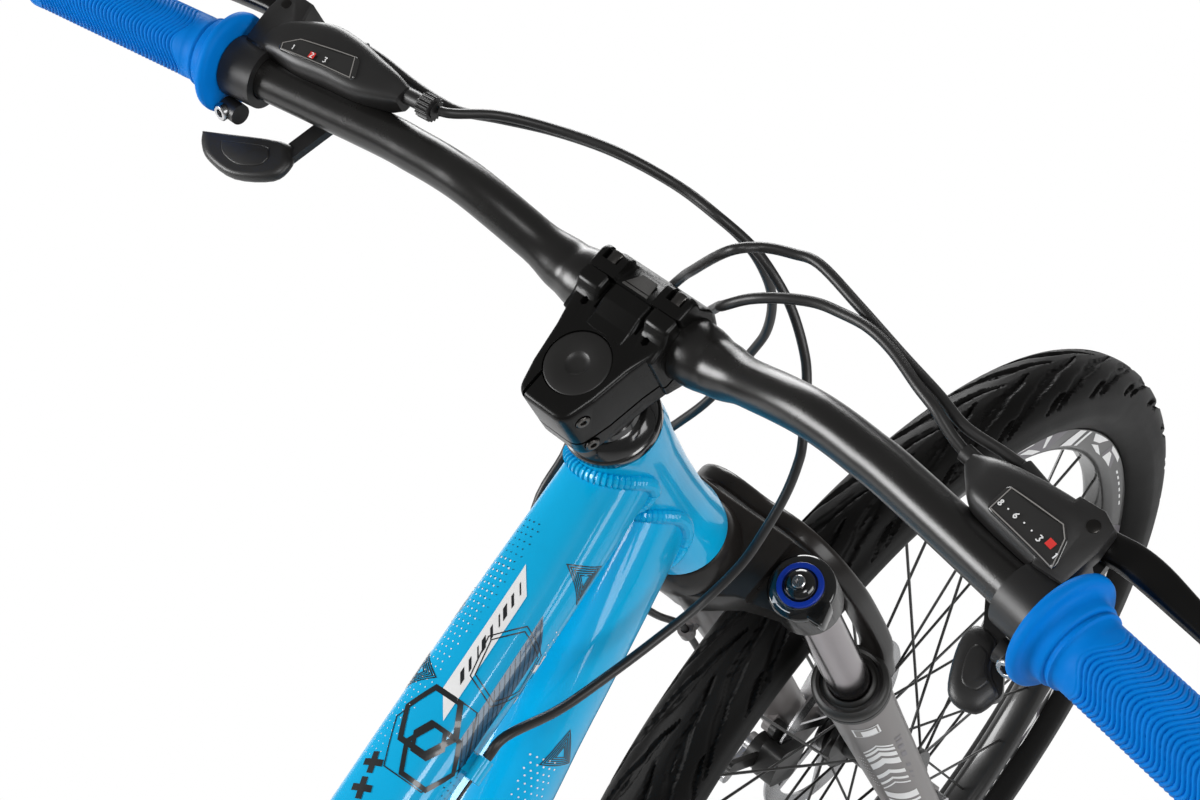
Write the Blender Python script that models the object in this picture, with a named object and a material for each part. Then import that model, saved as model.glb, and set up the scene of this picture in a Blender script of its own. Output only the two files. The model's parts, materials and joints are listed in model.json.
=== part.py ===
"""A hardtail mountain bike at real size, in metres: X forward, Y to the rider's left, Z up.

The origin is on the ground under the rear axle. The fork is turned a little to the right, as a
bike stands on its side stand or in a rack, and everything that steers is built in the steering
axis's own coordinates: forward, left and up along the axis, from the top of the stem.
"""
import math

import bmesh
import bpy
from mathutils import Matrix, Vector

# What touches lies GAP apart, and what turns or slides in a bore has RUNNING round it
GAP = 0.0003
RUNNING = 0.0004
X, Y, Z = Vector((1, 0, 0)), Vector((0, 1, 0)), Vector((0, 0, 1))

# Wheels
TYRE_RADIUS = 0.351
TYRE_HEIGHT = 0.053
TYRE_WIDTH = 0.056
TYRE_WALL = 0.0035
TREAD_FLAT = 0.009
RIM_OUTER = TYRE_RADIUS - TYRE_HEIGHT
RIM_DEPTH = 0.021
RIM_INNER = RIM_OUTER - RIM_DEPTH
RIM_WIDTH = 0.029
RIM_WALL = 0.0022
RIM_LIP = 0.0012
BEAD_DEPTH = 0.0067
BEAD_RADIUS = RIM_OUTER - BEAD_DEPTH
BEAD_WIDTH = 0.0034
WHEEL_SEGMENTS = 24
SPOKES = 32
SPOKE_RADIUS = 0.0011
SPOKE_OFFSET = 0.0022
FLANGE_RADIUS = 0.0235
FLANGE_THICKNESS = 0.0062
FLANGE_RIM = FLANGE_RADIUS + 0.0038
AXLE_RADIUS = 0.0048
AXLE_NUT = 0.0090
LEVER_HOUSING = 0.0095
CAM_RADIUS = 0.0064
CAM_REACH = 0.0118
HUB_BORE = AXLE_RADIUS + 0.0006
FREEHUB_RADIUS = 0.0165
ROTOR_RADIUS = 0.080
ROTOR_THICKNESS = 0.0018
ROTOR_TRACK = 0.015
ROTOR_ARMS = 5
ROTOR_CENTRE = 0.0235
ROTOR_SEAT = 0.0168
ROTOR_SHOULDER = 0.0205
FRONT_OLD = 0.100
REAR_OLD = 0.135
FRONT_FLANGES = (-0.031, 0.024)
REAR_FLANGES = (-0.0205, 0.031)
FRONT_ROTOR = 0.0385
REAR_ROTOR = 0.0515

# Hub shells and their half widths inside the dropouts
FRONT_HUB, FRONT_HUB_HALF = 0.0135, 0.0435
REAR_HUB, REAR_HUB_HALF = 0.0185, 0.0615

# Disc calipers: (out, clockwise) offsets at the axle, and out of the rotor's plane
FRONT_CALIPER_ANGLE = math.radians(130.6)
REAR_CALIPER_ANGLE = math.radians(82)
EARS = ((0.0793, 0.0185), (0.0385, -0.0169))
ACTUATOR = (0.0700, -0.0120)
ARM_PLANE = 0.0252
FRONT_STOP = (0.1193, -0.0058)
FRONT_ARM = (0.0192, -0.0252)
REAR_STOP = (0.1043, 0.0237)
REAR_ARM = (0.0314, -0.0063)
EAR_RADIUS = 0.0068
EAR_PLANE = 0.0105
DRUM_RADIUS = 0.0150
ARM_PIN = 0.0040
PAD_GAP = 0.0017
CABLE_HOLE = 0.0013

# Frame
WHEELBASE = 1.125
HEAD_ANGLE = math.radians(69)
SEAT_ANGLE = math.radians(73)
CHAINSTAY = 0.440
BB_DROP = 0.055
HEAD_TOP = -0.062
HEAD_BOTTOM = -0.194
HEAD_RADII = (0.0250, 0.0225, 0.0265)
BEARING_RADIUS = 0.0206
BEARING_HEIGHT = 0.0068
TOP_TUBE_HEIGHT = -0.090
TOP_TUBE_WIDTH = 0.048
TOP_TUBE_DEPTH = 0.034
DOWN_TUBE_HEIGHT = -0.144
DOWN_TUBE_WIDTH = 0.054
DOWN_TUBE_DEPTH = 0.062
TUBE_WALL = 0.0028
SEAT_TUBE_RADIUS = 0.0175
SEAT_TUBE_LENGTH = 0.465
SEAT_JOINT = SEAT_TUBE_LENGTH - 0.035
STAY_JOINT = SEAT_TUBE_LENGTH - 0.063
SEAT_SLIT = 0.025
CLAMP_WIDTH = 0.0165
CLAMP_WALL = 0.0036
SEATPOST_RADIUS = 0.0154
SEATPOST_WALL = 0.0025
SEATPOST_LENGTH = 0.350
POST_TOP = SEAT_TUBE_LENGTH + 0.169
RAIL_HEIGHT = 0.0105
RAIL_SPREAD = 0.0220
RAIL_RADIUS = 0.0035
BB_RADIUS = 0.0210
BB_BORE = 0.0170
BB_WIDTH = 0.068
BB_CUP = 0.0200
STAY_BRIDGE = 0.0070
DROPOUT = 0.0065
DROPOUT_SLOT = 0.0050
HANGER = Vector((-0.009, 0, -0.028))
HANGER_BOLT = 0.0042
CABLE_STOP_AT = 0.172
CABLE_STOP_SIDE = TOP_TUBE_WIDTH / 2 + 0.006
CABLE_STOP_RADIUS = 0.0042

# Drivetrain
PITCH = 0.0127
RING_TEETH = (42, 32, 22)
RING_PLANES = (-0.057, -0.050, -0.043)
RING_THICKNESS = 0.0020
COG_TEETH = (11, 13, 15, 18, 21, 24, 28, 32)
COG_STEP = 0.0048
FIRST_COG = -0.0625
COG_THICKNESS = 0.0018
CHAIN_RING = 1
CHAIN_COG = 6
PULLEY_TEETH = 11
TOOTH_HEIGHT = 0.0026
CHAIN_WIDTH = 0.0064
CHAIN_DEPTH = 0.0074
RING_HOLES = (0.0385, 0.0385, 0.0300)
RIVET_CIRCLE = 0.0425
RIVET_RADIUS = 0.0032
CRANK_LENGTH = 0.170
CRANK_PLANE = 0.066
CRANK_BOSS = 0.0110
SPINDLE_RADIUS = 0.0085
PEDAL_LENGTH = 0.098
PEDAL_WIDTH = 0.090
PEDAL_HEIGHT = 0.018
PEDAL_PIN = 0.0052
PEDAL_PLANE = CRANK_PLANE + 0.0080
PEDAL_COLLAR = 0.0110
GUIDE_PULLEY = Vector((0.012, 0, -0.093))
PULLEY_SPACING = 0.075
CAGE_ANGLE = math.radians(40)
CAGE_HALF = 0.0105
CAGE_BOLT = 0.0030
CHAIN_PLANE = FIRST_COG + CHAIN_COG * COG_STEP

# Fork and steering, along the steering axis from the top of the stem
FORK_TURN = math.radians(-8)
AXLE_OFFSET = 0.0366
AXLE_DEPTH = -0.7062
LEG_X = 0.0182
LEG_Y = 0.0651
STANCHION_RADIUS = 0.0130
STANCHION_WALL = 0.0022
STANCHION_BOTTOM = -0.555
BOSS_RADIUS = 0.0190
CROWN_TOP = -0.1985
CROWN_BOTTOM = -0.2400
BOSS_TOP = -0.2222
BOSS_BOTTOM = -0.2450
STEERER_RADIUS = 0.0143
STEERER_BORE = 0.0115
CROWN_RACE = 0.0190
LEG_TOP = -0.372
LEG_RADII = (0.0240, 0.0214, 0.0185)
LEG_FOOT = -0.716
LEG_BORE_END = -0.657
FORK_DROPOUT = 0.0070
GUIDE_AT = Vector((-0.0102, 0.0650, -0.4370))
DIAL_RADIUS = 0.0190

# Cockpit
STEM_BOTTOM = -0.0375
CAP_RADIUS = 0.0167
CAP_HEIGHT = 0.0048
BAR_FORWARD = 0.0397
BAR_HEIGHT = -0.0180
BAR_CLAMP_RADIUS = 0.0159
BAR_RADIUS = 0.0111
BAR_HALF = 0.380
CLAMP_HALF = 0.029
CLAMP_TALL = 0.0235
CLAMP_SPLIT = 0.0011
SLOT_HALF = 0.0136
FLANGE_POINT = Vector((0.0181, 0.257, 0.0264))
GRIP_SWEEP = 0.177
GRIP_RISE = 0.130
GRIP_RADIUS = 0.0155
GRIP_FLANGE_RADIUS = 0.0267
GRIP_FLANGE = 0.0070
HOUSING_RADIUS = 0.0025
WIRE_RADIUS = 0.0008

# Shift and brake controls: (across the bar, low and high forward, low and high up) down each pod
POD_LEFT = ((0.2450, 0.0240, 0.0450, 0.0100, 0.0380), (0.2340, 0.0300, 0.0530, 0.0060, 0.0405),
            (0.2150, 0.0320, 0.0625, 0.0045, 0.0410), (0.1970, 0.0365, 0.0635, 0.0060, 0.0400),
            (0.1780, 0.0400, 0.0610, 0.0120, 0.0370), (0.1650, 0.0440, 0.0592, 0.0170, 0.0350),
            (0.1560, 0.0470, 0.0570, 0.0210, 0.0330))
POD_RIGHT = ((0.2480, 0.0240, 0.0600, 0.0100, 0.0380), (0.2370, 0.0300, 0.0632, 0.0060, 0.0405),
             (0.2220, 0.0330, 0.0632, 0.0045, 0.0410), (0.2080, 0.0365, 0.0620, 0.0060, 0.0405),
             (0.1980, 0.0385, 0.0605, 0.0100, 0.0385), (0.1915, 0.0440, 0.0590, 0.0150, 0.0350),
             (0.1865, 0.0500, 0.0570, 0.0210, 0.0330))
BARREL_LEFT = ((0.0600, 0.2260, 0.0150), (0.0666, 0.2090, 0.0125))
BARREL_RIGHT = ((0.0600, 0.2220, 0.0250), (0.0652, 0.2040, 0.0255))
BARREL_RADIUS = 0.0038
PADDLE_LEFT = ((-0.0139, 0.2675), (0.0064, 0.2216), (0.0037, 0.2120), (-0.0020, 0.2077), (-0.0128, 0.2105),
               (-0.0241, 0.2308), (-0.0242, 0.2515), (-0.0197, 0.2617))
PADDLE_RIGHT = ((0.0172, 0.2130), (0.0074, 0.2290), (0.0063, 0.2320), (-0.0044, 0.2370), (-0.0097, 0.2450),
                (-0.0135, 0.2455), (-0.0218, 0.2426), (-0.0238, 0.2330), (-0.0185, 0.2270),
                (-0.0025, 0.2170))
PADDLE_LOW, PADDLE_HIGH = -0.0075, -0.0016
LEVER_PIVOT = Vector((0.0560, 0.2450, 0.0255))
LEVER_PIN = 0.0022
LEVER_EYE = 0.0072
PERCH_LOW, PERCH_HIGH = 0.0120, 0.0385
THUMB_PIVOT = Vector((0.0420, 0.2060, 0.0))
THUMB_POST = 0.0032
POD_BOTTOM = 0.0045


def axes(origin, x_axis, z_axis):
    """A matrix whose local x and z point along the given directions."""
    z = Vector(z_axis).normalized()
    y = z.cross(Vector(x_axis)).normalized()
    x = y.cross(z)
    return Matrix.Translation(origin) @ Matrix((x, y, z)).transposed().to_4x4()


SIDE = Matrix((X, Z, Y)).transposed().to_4x4()


def shape(bm):
    """A working object made from a closed bmesh."""
    bmesh.ops.recalc_face_normals(bm, faces=bm.faces)
    mesh = bpy.data.meshes.new("shape")
    bm.to_mesh(mesh)
    bm.free()
    item = bpy.data.objects.new("shape", mesh)
    bpy.context.scene.collection.objects.link(item)
    return item


def skin(rings, closed=False):
    """A closed solid through rings of points, all with as many points."""
    bm = bmesh.new()
    loops = [[bm.verts.new(point) for point in ring] for ring in rings]
    pairs = list(zip(loops, loops[1:]))
    if closed:
        pairs.append((loops[-1], loops[0]))
    for near, far in pairs:
        for i in range(len(near)):
            j = (i + 1) % len(near)
            bm.faces.new((near[i], near[j], far[j], far[i]))
    if not closed:
        bm.faces.new(loops[0])
        bm.faces.new(loops[-1])
    return shape(bm)


def ellipse(a, b, count, power=2.0):
    """An outline with half-axes a and b; a power above 2 squares its corners."""
    points = []
    for k in range(count):
        angle = 2 * math.pi * (k + 0.5) / count
        c, s = math.cos(angle), math.sin(angle)
        across = math.copysign(abs(c) ** (2 / power), c)
        along = math.copysign(abs(s) ** (2 / power), s)
        points.append((across * a, along * b))
    return points


def sweep(points, sections, side=None, closed=False):
    """Sections swept along a centre line; side keeps their first axis in one direction."""
    points = [Vector(p) for p in points]
    count = len(points)
    if not isinstance(sections[0][0], (tuple, list)):
        sections = [sections] * count
    rings, across = [], side
    for i, point in enumerate(points):
        before = points[i - 1] if i or closed else point
        after = points[(i + 1) % count] if i < count - 1 or closed else point
        tangent = (after - before).normalized()
        if across is None:
            across = tangent.orthogonal().normalized()
        normal = tangent.cross(across).normalized()
        across = side if side else normal.cross(tangent).normalized()
        flat = normal.cross(tangent).normalized()
        rings.append([point + flat * a + normal * b for a, b in sections[i]])
    return skin(rings, closed)


def lathe(profile, segments, place=Matrix.Identity(4), hole=0.0):
    """A turned solid about the place's local z, from (radius, height) points.

    A profile that starts and ends on the axis is closed there; any other closes on itself.
    Radii up to the hole's are measured to the middle of a facet, so that a round piece fits.
    """
    bm = bmesh.new()
    closed = profile[0][0] > 0
    caps = []
    if not closed and profile[0][1] == profile[1][1]:
        profile = profile[1:]
        caps.append(0)
    if not closed and profile[-1][1] == profile[-2][1]:
        profile = profile[:-1]
        caps.append(-1)
    rows = []
    for radius, height in profile:
        if radius == 0:
            rows.append([bm.verts.new(place @ Vector((0, 0, height)))])
            continue
        row = []
        for k in range(segments):
            angle = 2 * math.pi * (k + 0.5) / segments
            r = radius / math.cos(math.pi / segments) if radius <= hole else radius
            row.append(bm.verts.new(place @ Vector((r * math.cos(angle), r * math.sin(angle), height))))
        rows.append(row)
    pairs = list(zip(rows, rows[1:]))
    if closed:
        pairs.append((rows[-1], rows[0]))
    for near, far in pairs:
        for k in range(segments):
            m = (k + 1) % segments
            ring = [near[k % len(near)], near[m % len(near)], far[m % len(far)], far[k % len(far)]]
            ring = [v for i, v in enumerate(ring) if v not in ring[:i]]
            bm.faces.new(ring)
    for end in caps:
        bm.faces.new(rows[end])
    return shape(bm)


def rod(start, end, radius, sides=8):
    """A round bar between two points."""
    start, end = Vector(start), Vector(end)
    place = axes(start, (end - start).orthogonal(), end - start)
    length = (end - start).length
    return lathe([(0, 0), (radius, 0), (radius, length), (0, length)], sides, place)


def bore(start, end, radius, sides=14):
    """A round cutter whose flats lie at the radius."""
    return rod(start, end, radius / math.cos(math.pi / sides), sides)


def prism(outline, low, high, place):
    """An outline in the place's local xy, extruded from low to high."""
    rings = [[place @ Vector((a, b, h)) for a, b in outline] for h in (low, high)]
    return skin(rings)


def block(low, high):
    """A box between two corners."""
    outline = [(low[0], low[1]), (high[0], low[1]), (high[0], high[1]), (low[0], high[1])]
    return prism(outline, low[2], high[2], Matrix.Identity(4))


def annulus(outer, inner, low, high, place):
    """A flat ring between two outlines with as many points."""
    rings = []
    for outline, height in ((outer, low), (outer, high), (inner, high), (inner, low)):
        rings.append([place @ Vector((a, b, height)) for a, b in outline])
    return skin(rings, closed=True)


def circle(radius, count):
    """A regular outline with its corners at the radius."""
    return [(radius * math.cos(2 * math.pi * (k + 0.5) / count),
             radius * math.sin(2 * math.pi * (k + 0.5) / count)) for k in range(count)]


def opening(radius, count):
    """A regular outline with its sides at the radius."""
    return circle(radius / math.cos(math.pi / count), count)


def rounded(corners, steps=3):
    """An outline from (x, y, radius) corners with round fillets."""
    outline = []
    for i, (x, y, radius) in enumerate(corners):
        here = Vector((x, y))
        before = (Vector(corners[i - 1][:2]) - here)
        after = (Vector(corners[(i + 1) % len(corners)][:2]) - here)
        if radius == 0:
            outline.append((x, y))
            continue
        half = before.angle(after) / 2
        reach = min(radius / math.tan(half), before.length * 0.49, after.length * 0.49)
        a, b = here + before.normalized() * reach, here + after.normalized() * reach
        for k in range(steps + 1):
            t = k / steps
            point = a * (1 - t) ** 2 + here * 2 * t * (1 - t) + b * t * t
            outline.append((point.x, point.y))
    return outline


def combine(base, tools, operation):
    """The base joined with, or cut by, the tools."""
    for tool in tools:
        modifier = base.modifiers.new(operation.lower(), "BOOLEAN")
        modifier.operation = operation
        modifier.solver = "EXACT"
        modifier.object = tool
    bpy.context.view_layer.update()
    depsgraph = bpy.context.evaluated_depsgraph_get()
    mesh = bpy.data.meshes.new_from_object(base.evaluated_get(depsgraph))
    base.modifiers.clear()
    base.data = mesh
    for tool in tools:
        bpy.data.objects.remove(tool)
    return base


def join(base, *tools):
    return combine(base, tools, "UNION")


def cut(base, *tools):
    return combine(base, tools, "DIFFERENCE")


def clean(item):
    """Merge points that a cut has left almost on top of each other."""
    bm = bmesh.new()
    bm.from_mesh(item.data)
    bmesh.ops.remove_doubles(bm, verts=bm.verts, dist=0.00002)
    bmesh.ops.dissolve_degenerate(bm, edges=bm.edges, dist=0.00001)
    bm.to_mesh(item.data)
    bm.free()


MATERIALS = {
    "frame_paint": ((0.0, 0.42, 0.72), 0.25, 0.0),
    "black_paint": ((0.02, 0.02, 0.02), 0.35, 0.0),
    "grey_paint": ((0.16, 0.15, 0.15), 0.5, 0.0),
    "bare_metal": ((0.55, 0.55, 0.56), 0.3, 1.0),
    "chain_steel": ((0.30, 0.29, 0.28), 0.4, 1.0),
    "rubber": ((0.03, 0.03, 0.03), 0.8, 0.0),
    "grip_blue": ((0.01, 0.18, 0.80), 0.6, 0.0),
    "black_plastic": ((0.03, 0.03, 0.03), 0.45, 0.0),
    "saddle_cover": ((0.03, 0.03, 0.035), 0.6, 0.0),
}


def material(name):
    """The named finish, made once."""
    found = bpy.data.materials.get(name)
    if found:
        return found
    colour, roughness, metallic = MATERIALS[name]
    made = bpy.data.materials.new(name)
    made.use_nodes = True
    shader = made.node_tree.nodes["Principled BSDF"]
    shader.inputs["Base Color"].default_value = (*colour, 1)
    shader.inputs["Roughness"].default_value = roughness
    shader.inputs["Metallic"].default_value = metallic
    return made


def place(item, name, finish, parent, origin=(0, 0, 0)):
    """Name a finished solid and hang it, with its origin, on a moving group."""
    clean(item)
    item.name = name
    item.data.name = name
    item.data.transform(Matrix.Translation(-Vector(origin)))
    item.location = origin
    item.parent = parent
    item.data.materials.clear()
    item.data.materials.append(material(finish))
    item.data.shade_smooth()
    item.data.set_sharp_from_angle(angle=math.radians(32))
    return item


def group(name, parent=None, matrix=Matrix.Identity(4)):
    """An empty that carries the pieces of one moving body."""
    empty = bpy.data.objects.new(name, None)
    bpy.context.scene.collection.objects.link(empty)
    empty.parent = parent
    empty.matrix_local = matrix
    return empty


FORWARD = Vector((math.sin(HEAD_ANGLE), 0, math.cos(HEAD_ANGLE)))
UP = Vector((-math.cos(HEAD_ANGLE), 0, math.sin(HEAD_ANGLE)))
REAR_AXLE = Vector((0, 0, TYRE_RADIUS))
BB = REAR_AXLE + Vector((math.sqrt(CHAINSTAY ** 2 - BB_DROP ** 2), 0, -BB_DROP))
SEAT_DIRECTION = Vector((-math.cos(SEAT_ANGLE), 0, math.sin(SEAT_ANGLE)))
TURN = Matrix.Rotation(FORK_TURN, 3, UP)
TURNED_FORWARD = TURN @ FORWARD
TURNED_LEFT = TURN @ Y
LEAN = math.asin(TURNED_LEFT.z)


def stem_top():
    """The top of the stem on the steering axis, which sets the front tyre on the ground."""
    axle_height = TYRE_RADIUS * math.cos(LEAN) + TREAD_FLAT * abs(math.sin(LEAN)) + GAP
    height = axle_height - TURNED_FORWARD.z * AXLE_OFFSET - UP.z * AXLE_DEPTH
    forward = WHEELBASE - FORWARD.x * AXLE_OFFSET - UP.x * AXLE_DEPTH
    return Vector((forward, 0, height))


STEM_TOP = stem_top()


def frame_point(forward, up, left=0.0):
    """A point on the frame, measured along and across its steering axis."""
    return STEM_TOP + FORWARD * forward + Y * left + UP * up


def seat_point(along, left=0.0):
    """A point along the seat tube from the bottom bracket."""
    return BB + SEAT_DIRECTION * along + Y * left


def mirrored(points):
    """The same (radius, offset) points on the other side, in reverse."""
    return [(a, -b) for a, b in reversed(points)]


def tyre(name, parent):
    """An open carcass whose beads stand between the rim's flanges."""
    half, top = TYRE_WIDTH / 2, TYRE_RADIUS
    middle = RIM_OUTER + TYRE_HEIGHT * 0.46
    bead_out = RIM_WIDTH / 2 - RIM_LIP - GAP
    bead_in = bead_out - BEAD_WIDTH
    outer = [(top, TREAD_FLAT), (top - TYRE_HEIGHT * 0.21, half * 0.84), (middle, half),
             (RIM_OUTER + TYRE_HEIGHT * 0.14, half * 0.80), (RIM_OUTER + 2 * GAP, bead_out)]
    bead = [(BEAD_RADIUS, bead_out), (BEAD_RADIUS, bead_in)]
    inner = [(RIM_OUTER + TYRE_HEIGHT * 0.04, bead_in + 3 * GAP), (middle, half - TYRE_WALL),
             (top - TYRE_WALL - 0.0010, TREAD_FLAT)]
    half_loop = outer + bead + inner
    item = lathe(half_loop + mirrored(half_loop), WHEEL_SEGMENTS, SIDE, hole=TYRE_RADIUS)
    return place(item, name, "rubber", parent)


def rim(name, parent):
    """A single-wall rim: two flanges, a ledge for each bead and a shallow well."""
    half = RIM_WIDTH / 2
    ledge = BEAD_RADIUS - GAP
    outside = [(RIM_OUTER, half), (RIM_INNER + 0.0065, half), (RIM_INNER, half - 0.0060)]
    inside = [(RIM_INNER + RIM_WALL, half - 0.0078), (ledge, half - 0.0055), (ledge, half - RIM_LIP),
              (RIM_OUTER, half - RIM_LIP)]
    loop = outside + mirrored(outside) + [(r, -y) for r, y in reversed(inside)] + inside
    return place(lathe(loop, WHEEL_SEGMENTS, SIDE, hole=TYRE_RADIUS), name, "black_paint", parent)


def wheel_point(radius, angle, left):
    return Vector((radius * math.cos(angle), left, radius * math.sin(angle)))


def spokes(flanges):
    """Eight spokes to a set, so that none of a set meets another."""
    sets = []
    pitch = 2 * math.pi / (SPOKES / 2)
    for side, flange in enumerate(flanges):
        for lean in (-1, 1):
            rods = []
            for k in range(SPOKES // 4):
                angle = (2 * k + (lean + 1) / 2) * pitch + side * pitch / 2
                near = wheel_point(FLANGE_RADIUS, angle, flange + lean * SPOKE_OFFSET)
                far_left = 0.0015 * (1 if side else -1)
                far = wheel_point(RIM_INNER - GAP, angle + lean * 3 * pitch, far_left)
                rods.append(rod(near, far, SPOKE_RADIUS, 3))
            sets.append(merged(rods))
    return sets


def merged(items):
    """Solids that don't meet, in one working object."""
    bm = bmesh.new()
    for item in items:
        bm.from_mesh(item.data)
        bpy.data.objects.remove(item)
    return shape(bm)


def hub(name, parent, flanges, half, body, mount, freehub):
    """A hub shell with two flanges, a disc mount on the left, and its laced spokes."""
    low, high = flanges
    thick = FLANGE_THICKNESS / 2
    profile = [(HUB_BORE, -half), (FREEHUB_RADIUS if freehub else 0.0110, -half)]
    if freehub:
        profile += [(FREEHUB_RADIUS, low - thick)]
    seat = mount - ROTOR_THICKNESS / 2 - GAP
    profile += [(FLANGE_RIM, low - thick), (FLANGE_RIM, low + thick), (body, low + thick + 0.0020),
                (body, high - thick - 0.0020), (FLANGE_RIM, high - thick), (FLANGE_RIM, high + thick),
                (ROTOR_SHOULDER, seat), (ROTOR_SEAT, seat), (ROTOR_SEAT, mount + 0.0030),
                (0.0100, half), (HUB_BORE, half)]
    item = join(lathe(profile, 12, SIDE, hole=HUB_BORE), *spokes(flanges))
    return place(item, name, "black_paint", parent)


def rotor(name, parent, plane):
    """A brake disc: braking track, slanted arms and a bolted centre."""
    low, high = plane - ROTOR_THICKNESS / 2, plane + ROTOR_THICKNESS / 2
    track = annulus(circle(ROTOR_RADIUS, 24), circle(ROTOR_RADIUS - ROTOR_TRACK, 24), low, high, SIDE)
    centre = annulus(circle(ROTOR_CENTRE, 12), opening(ROTOR_SEAT + RUNNING, 12), low, high, SIDE)
    arms = []
    root, tip = ROTOR_CENTRE - 0.0020, ROTOR_RADIUS - ROTOR_TRACK + 0.0014
    for k in range(ROTOR_ARMS):
        turn = Matrix.Rotation(2 * math.pi * k / ROTOR_ARMS, 4, "Y") @ SIDE
        outline = [(root, -0.0040), (tip, 0.0150), (tip, 0.0215), (root, 0.0040)]
        arms.append(prism(outline, low, high, turn))
    item = join(track, centre, merged(arms))
    return place(item, name, "bare_metal", parent)


def axle(name, parent, old, dropout):
    """A quick-release axle: its tube, locknuts, end nut and the lever's housing."""
    half = old / 2
    outer = half + dropout
    item = rod((0, -outer - 0.010, 0), (0, outer + 0.0040, 0), AXLE_RADIUS, 8)
    nut = rod((0, -outer - 0.0095, 0), (0, -outer - GAP, 0), AXLE_NUT, 6)
    locknuts = merged([rod((0, side * (half - 0.0058), 0), (0, side * (half - GAP), 0), 0.0085, 8)
                       for side in (-1, 1)])
    housing = rod((0, outer + GAP, 0), (0, outer + 0.0050, 0), LEVER_HOUSING, 8)
    return place(join(item, nut, locknuts, housing), name, "bare_metal", parent)


def axle_lever(name, parent):
    """A cam lever; its pin lies along the local Z."""
    heel = CAM_RADIUS * 0.7
    arm = [(-heel, -heel), (0.0040, -CAM_RADIUS), (0.0300, -0.0035), (0.0560, -0.0020), (0.0585, 0.0030),
           (0.0540, 0.0060), (0.0300, 0.0045), (0.0060, 0.0055), (-heel, heel)]
    blade = prism(arm, -0.0042, 0.0042, Matrix.Identity(4))
    cam = rod((0, 0, -0.0070), (0, 0, 0.0070), CAM_RADIUS, 8)
    return place(join(cam, blade), name, "bare_metal", parent)


def radial(centre, angle):
    """Local axes at an axle: out along the angle, clockwise round it, and to the left."""
    out = Vector((math.cos(angle), 0, math.sin(angle)))
    clockwise = Vector((math.sin(angle), 0, -math.cos(angle)))
    return Matrix.Translation(centre) @ Matrix((out, clockwise, Y)).transposed().to_4x4()


def caliper(name, parent, at, stop, towards):
    """A cable disc caliper, from the rotor's plane outward to its arm's pivot."""
    body = prism(rounded([(0.058, -0.022, 0.006), (0.090, -0.022, 0.008), (0.090, 0.010, 0.008),
                          (0.058, 0.010, 0.006)], 1), -0.0105, 0.0078, at)
    bracket = prism(stadium(EARS[0], EARS[1], 0.0072), 0.0047, 0.0102, at)
    centre = Vector((*ACTUATOR, 0))
    drum = rod(at @ (centre + Z * 0.0060), at @ (centre + Z * 0.0205), DRUM_RADIUS, 12)
    pin = rod(at @ (centre + Z * 0.0190), at @ (centre + Z * (ARM_PLANE + 0.0050)), ARM_PIN, 8)
    strut_end = Vector((stop[0], stop[1], 0))
    strut = prism(stadium(ACTUATOR, stop, 0.0045), 0.0080, 0.0125, at)
    tab = rod(at @ (strut_end + Z * 0.0090), at @ (strut_end + Z * (ARM_PLANE + 0.0052)), 0.0044, 8)
    item = join(body, bracket, drum, pin, strut, tab)
    edge = ROTOR_RADIUS + 0.0012
    slot = prism([(0.040, -0.040), (edge, -0.040), (edge, 0.030), (0.040, 0.030)], -PAD_GAP, PAD_GAP, at)
    begin, _, away = cable_heading(at, stop, towards)
    item = cut(cut(item, slot), bore(begin - away * 0.008, begin + away * 0.008, CABLE_HOLE, 6))
    return place(item, name, "black_paint", parent)


def stadium(a, b, radius, count=4):
    """The outline round two equal circles."""
    a, b = Vector(a), Vector(b)
    heading = math.atan2(b.y - a.y, b.x - a.x)
    points = []
    for centre, start in ((a, heading + math.pi / 2), (b, heading - math.pi / 2)):
        for k in range(count):
            angle = start + math.pi * k / (count - 1)
            points.append((centre.x + radius * math.cos(angle), centre.y + radius * math.sin(angle)))
    return points


def caliper_arm(name, parent, at, towards):
    """The arm that the brake cable pulls; its pivot is the actuator's pin."""
    centre = Vector(ACTUATOR)
    tip = centre + Vector(towards)
    arm = prism(stadium(centre, tip, 0.0056), ARM_PLANE - 0.0020, ARM_PLANE + 0.0020, at)
    low, middle, high = (at @ Vector((*centre, ARM_PLANE + rise)) for rise in (-0.0045, 0.0, 0.0030))
    item = join(rod(low, high, 0.0085, 8), arm)
    out = (high - low).normalized() * 0.010
    item = cut(item, bore(middle - out, middle + out, ARM_PIN + RUNNING, 8))
    return place(item, name, "bare_metal", parent, middle)


def wheel_body(prefix, parent, flanges, half, body, mount, freehub):
    """A wheel about its own axle, square to Y."""
    tyre(prefix + "_tyre", parent)
    rim(prefix + "_rim", parent)
    hub(prefix + "_hub_and_spokes", parent, flanges, half, body, mount, freehub)
    rotor(prefix + "_rotor", parent, mount)


def cassette(parent):
    """Eight cogs on one carrier that slides over the freehub."""
    first = FIRST_COG - COG_THICKNESS / 2
    profile = [(FREEHUB_RADIUS + RUNNING, first)]
    for k, teeth in enumerate(COG_TEETH):
        tip, start = tooth_tip(teeth, k == CHAIN_COG), first + k * COG_STEP
        end = start + (COG_THICKNESS if teeth == COG_TEETH[-1] else COG_STEP)
        profile += [(tip, start), (tip, end)]
    profile.append((FREEHUB_RADIUS + RUNNING, end))
    item = lathe(profile, 16, SIDE, hole=FREEHUB_RADIUS + RUNNING)
    return place(item, "cassette", "chain_steel", parent)


def tooth_tip(teeth, engaged):
    """The outline a toothed wheel fills; an engaged one stays inside the chain."""
    pitch = pitch_radius(teeth)
    return pitch - CHAIN_DEPTH / 2 - 0.0011 if engaged else pitch + TOOTH_HEIGHT


def pitch_radius(teeth):
    return PITCH / (2 * math.sin(math.pi / teeth))


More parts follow.
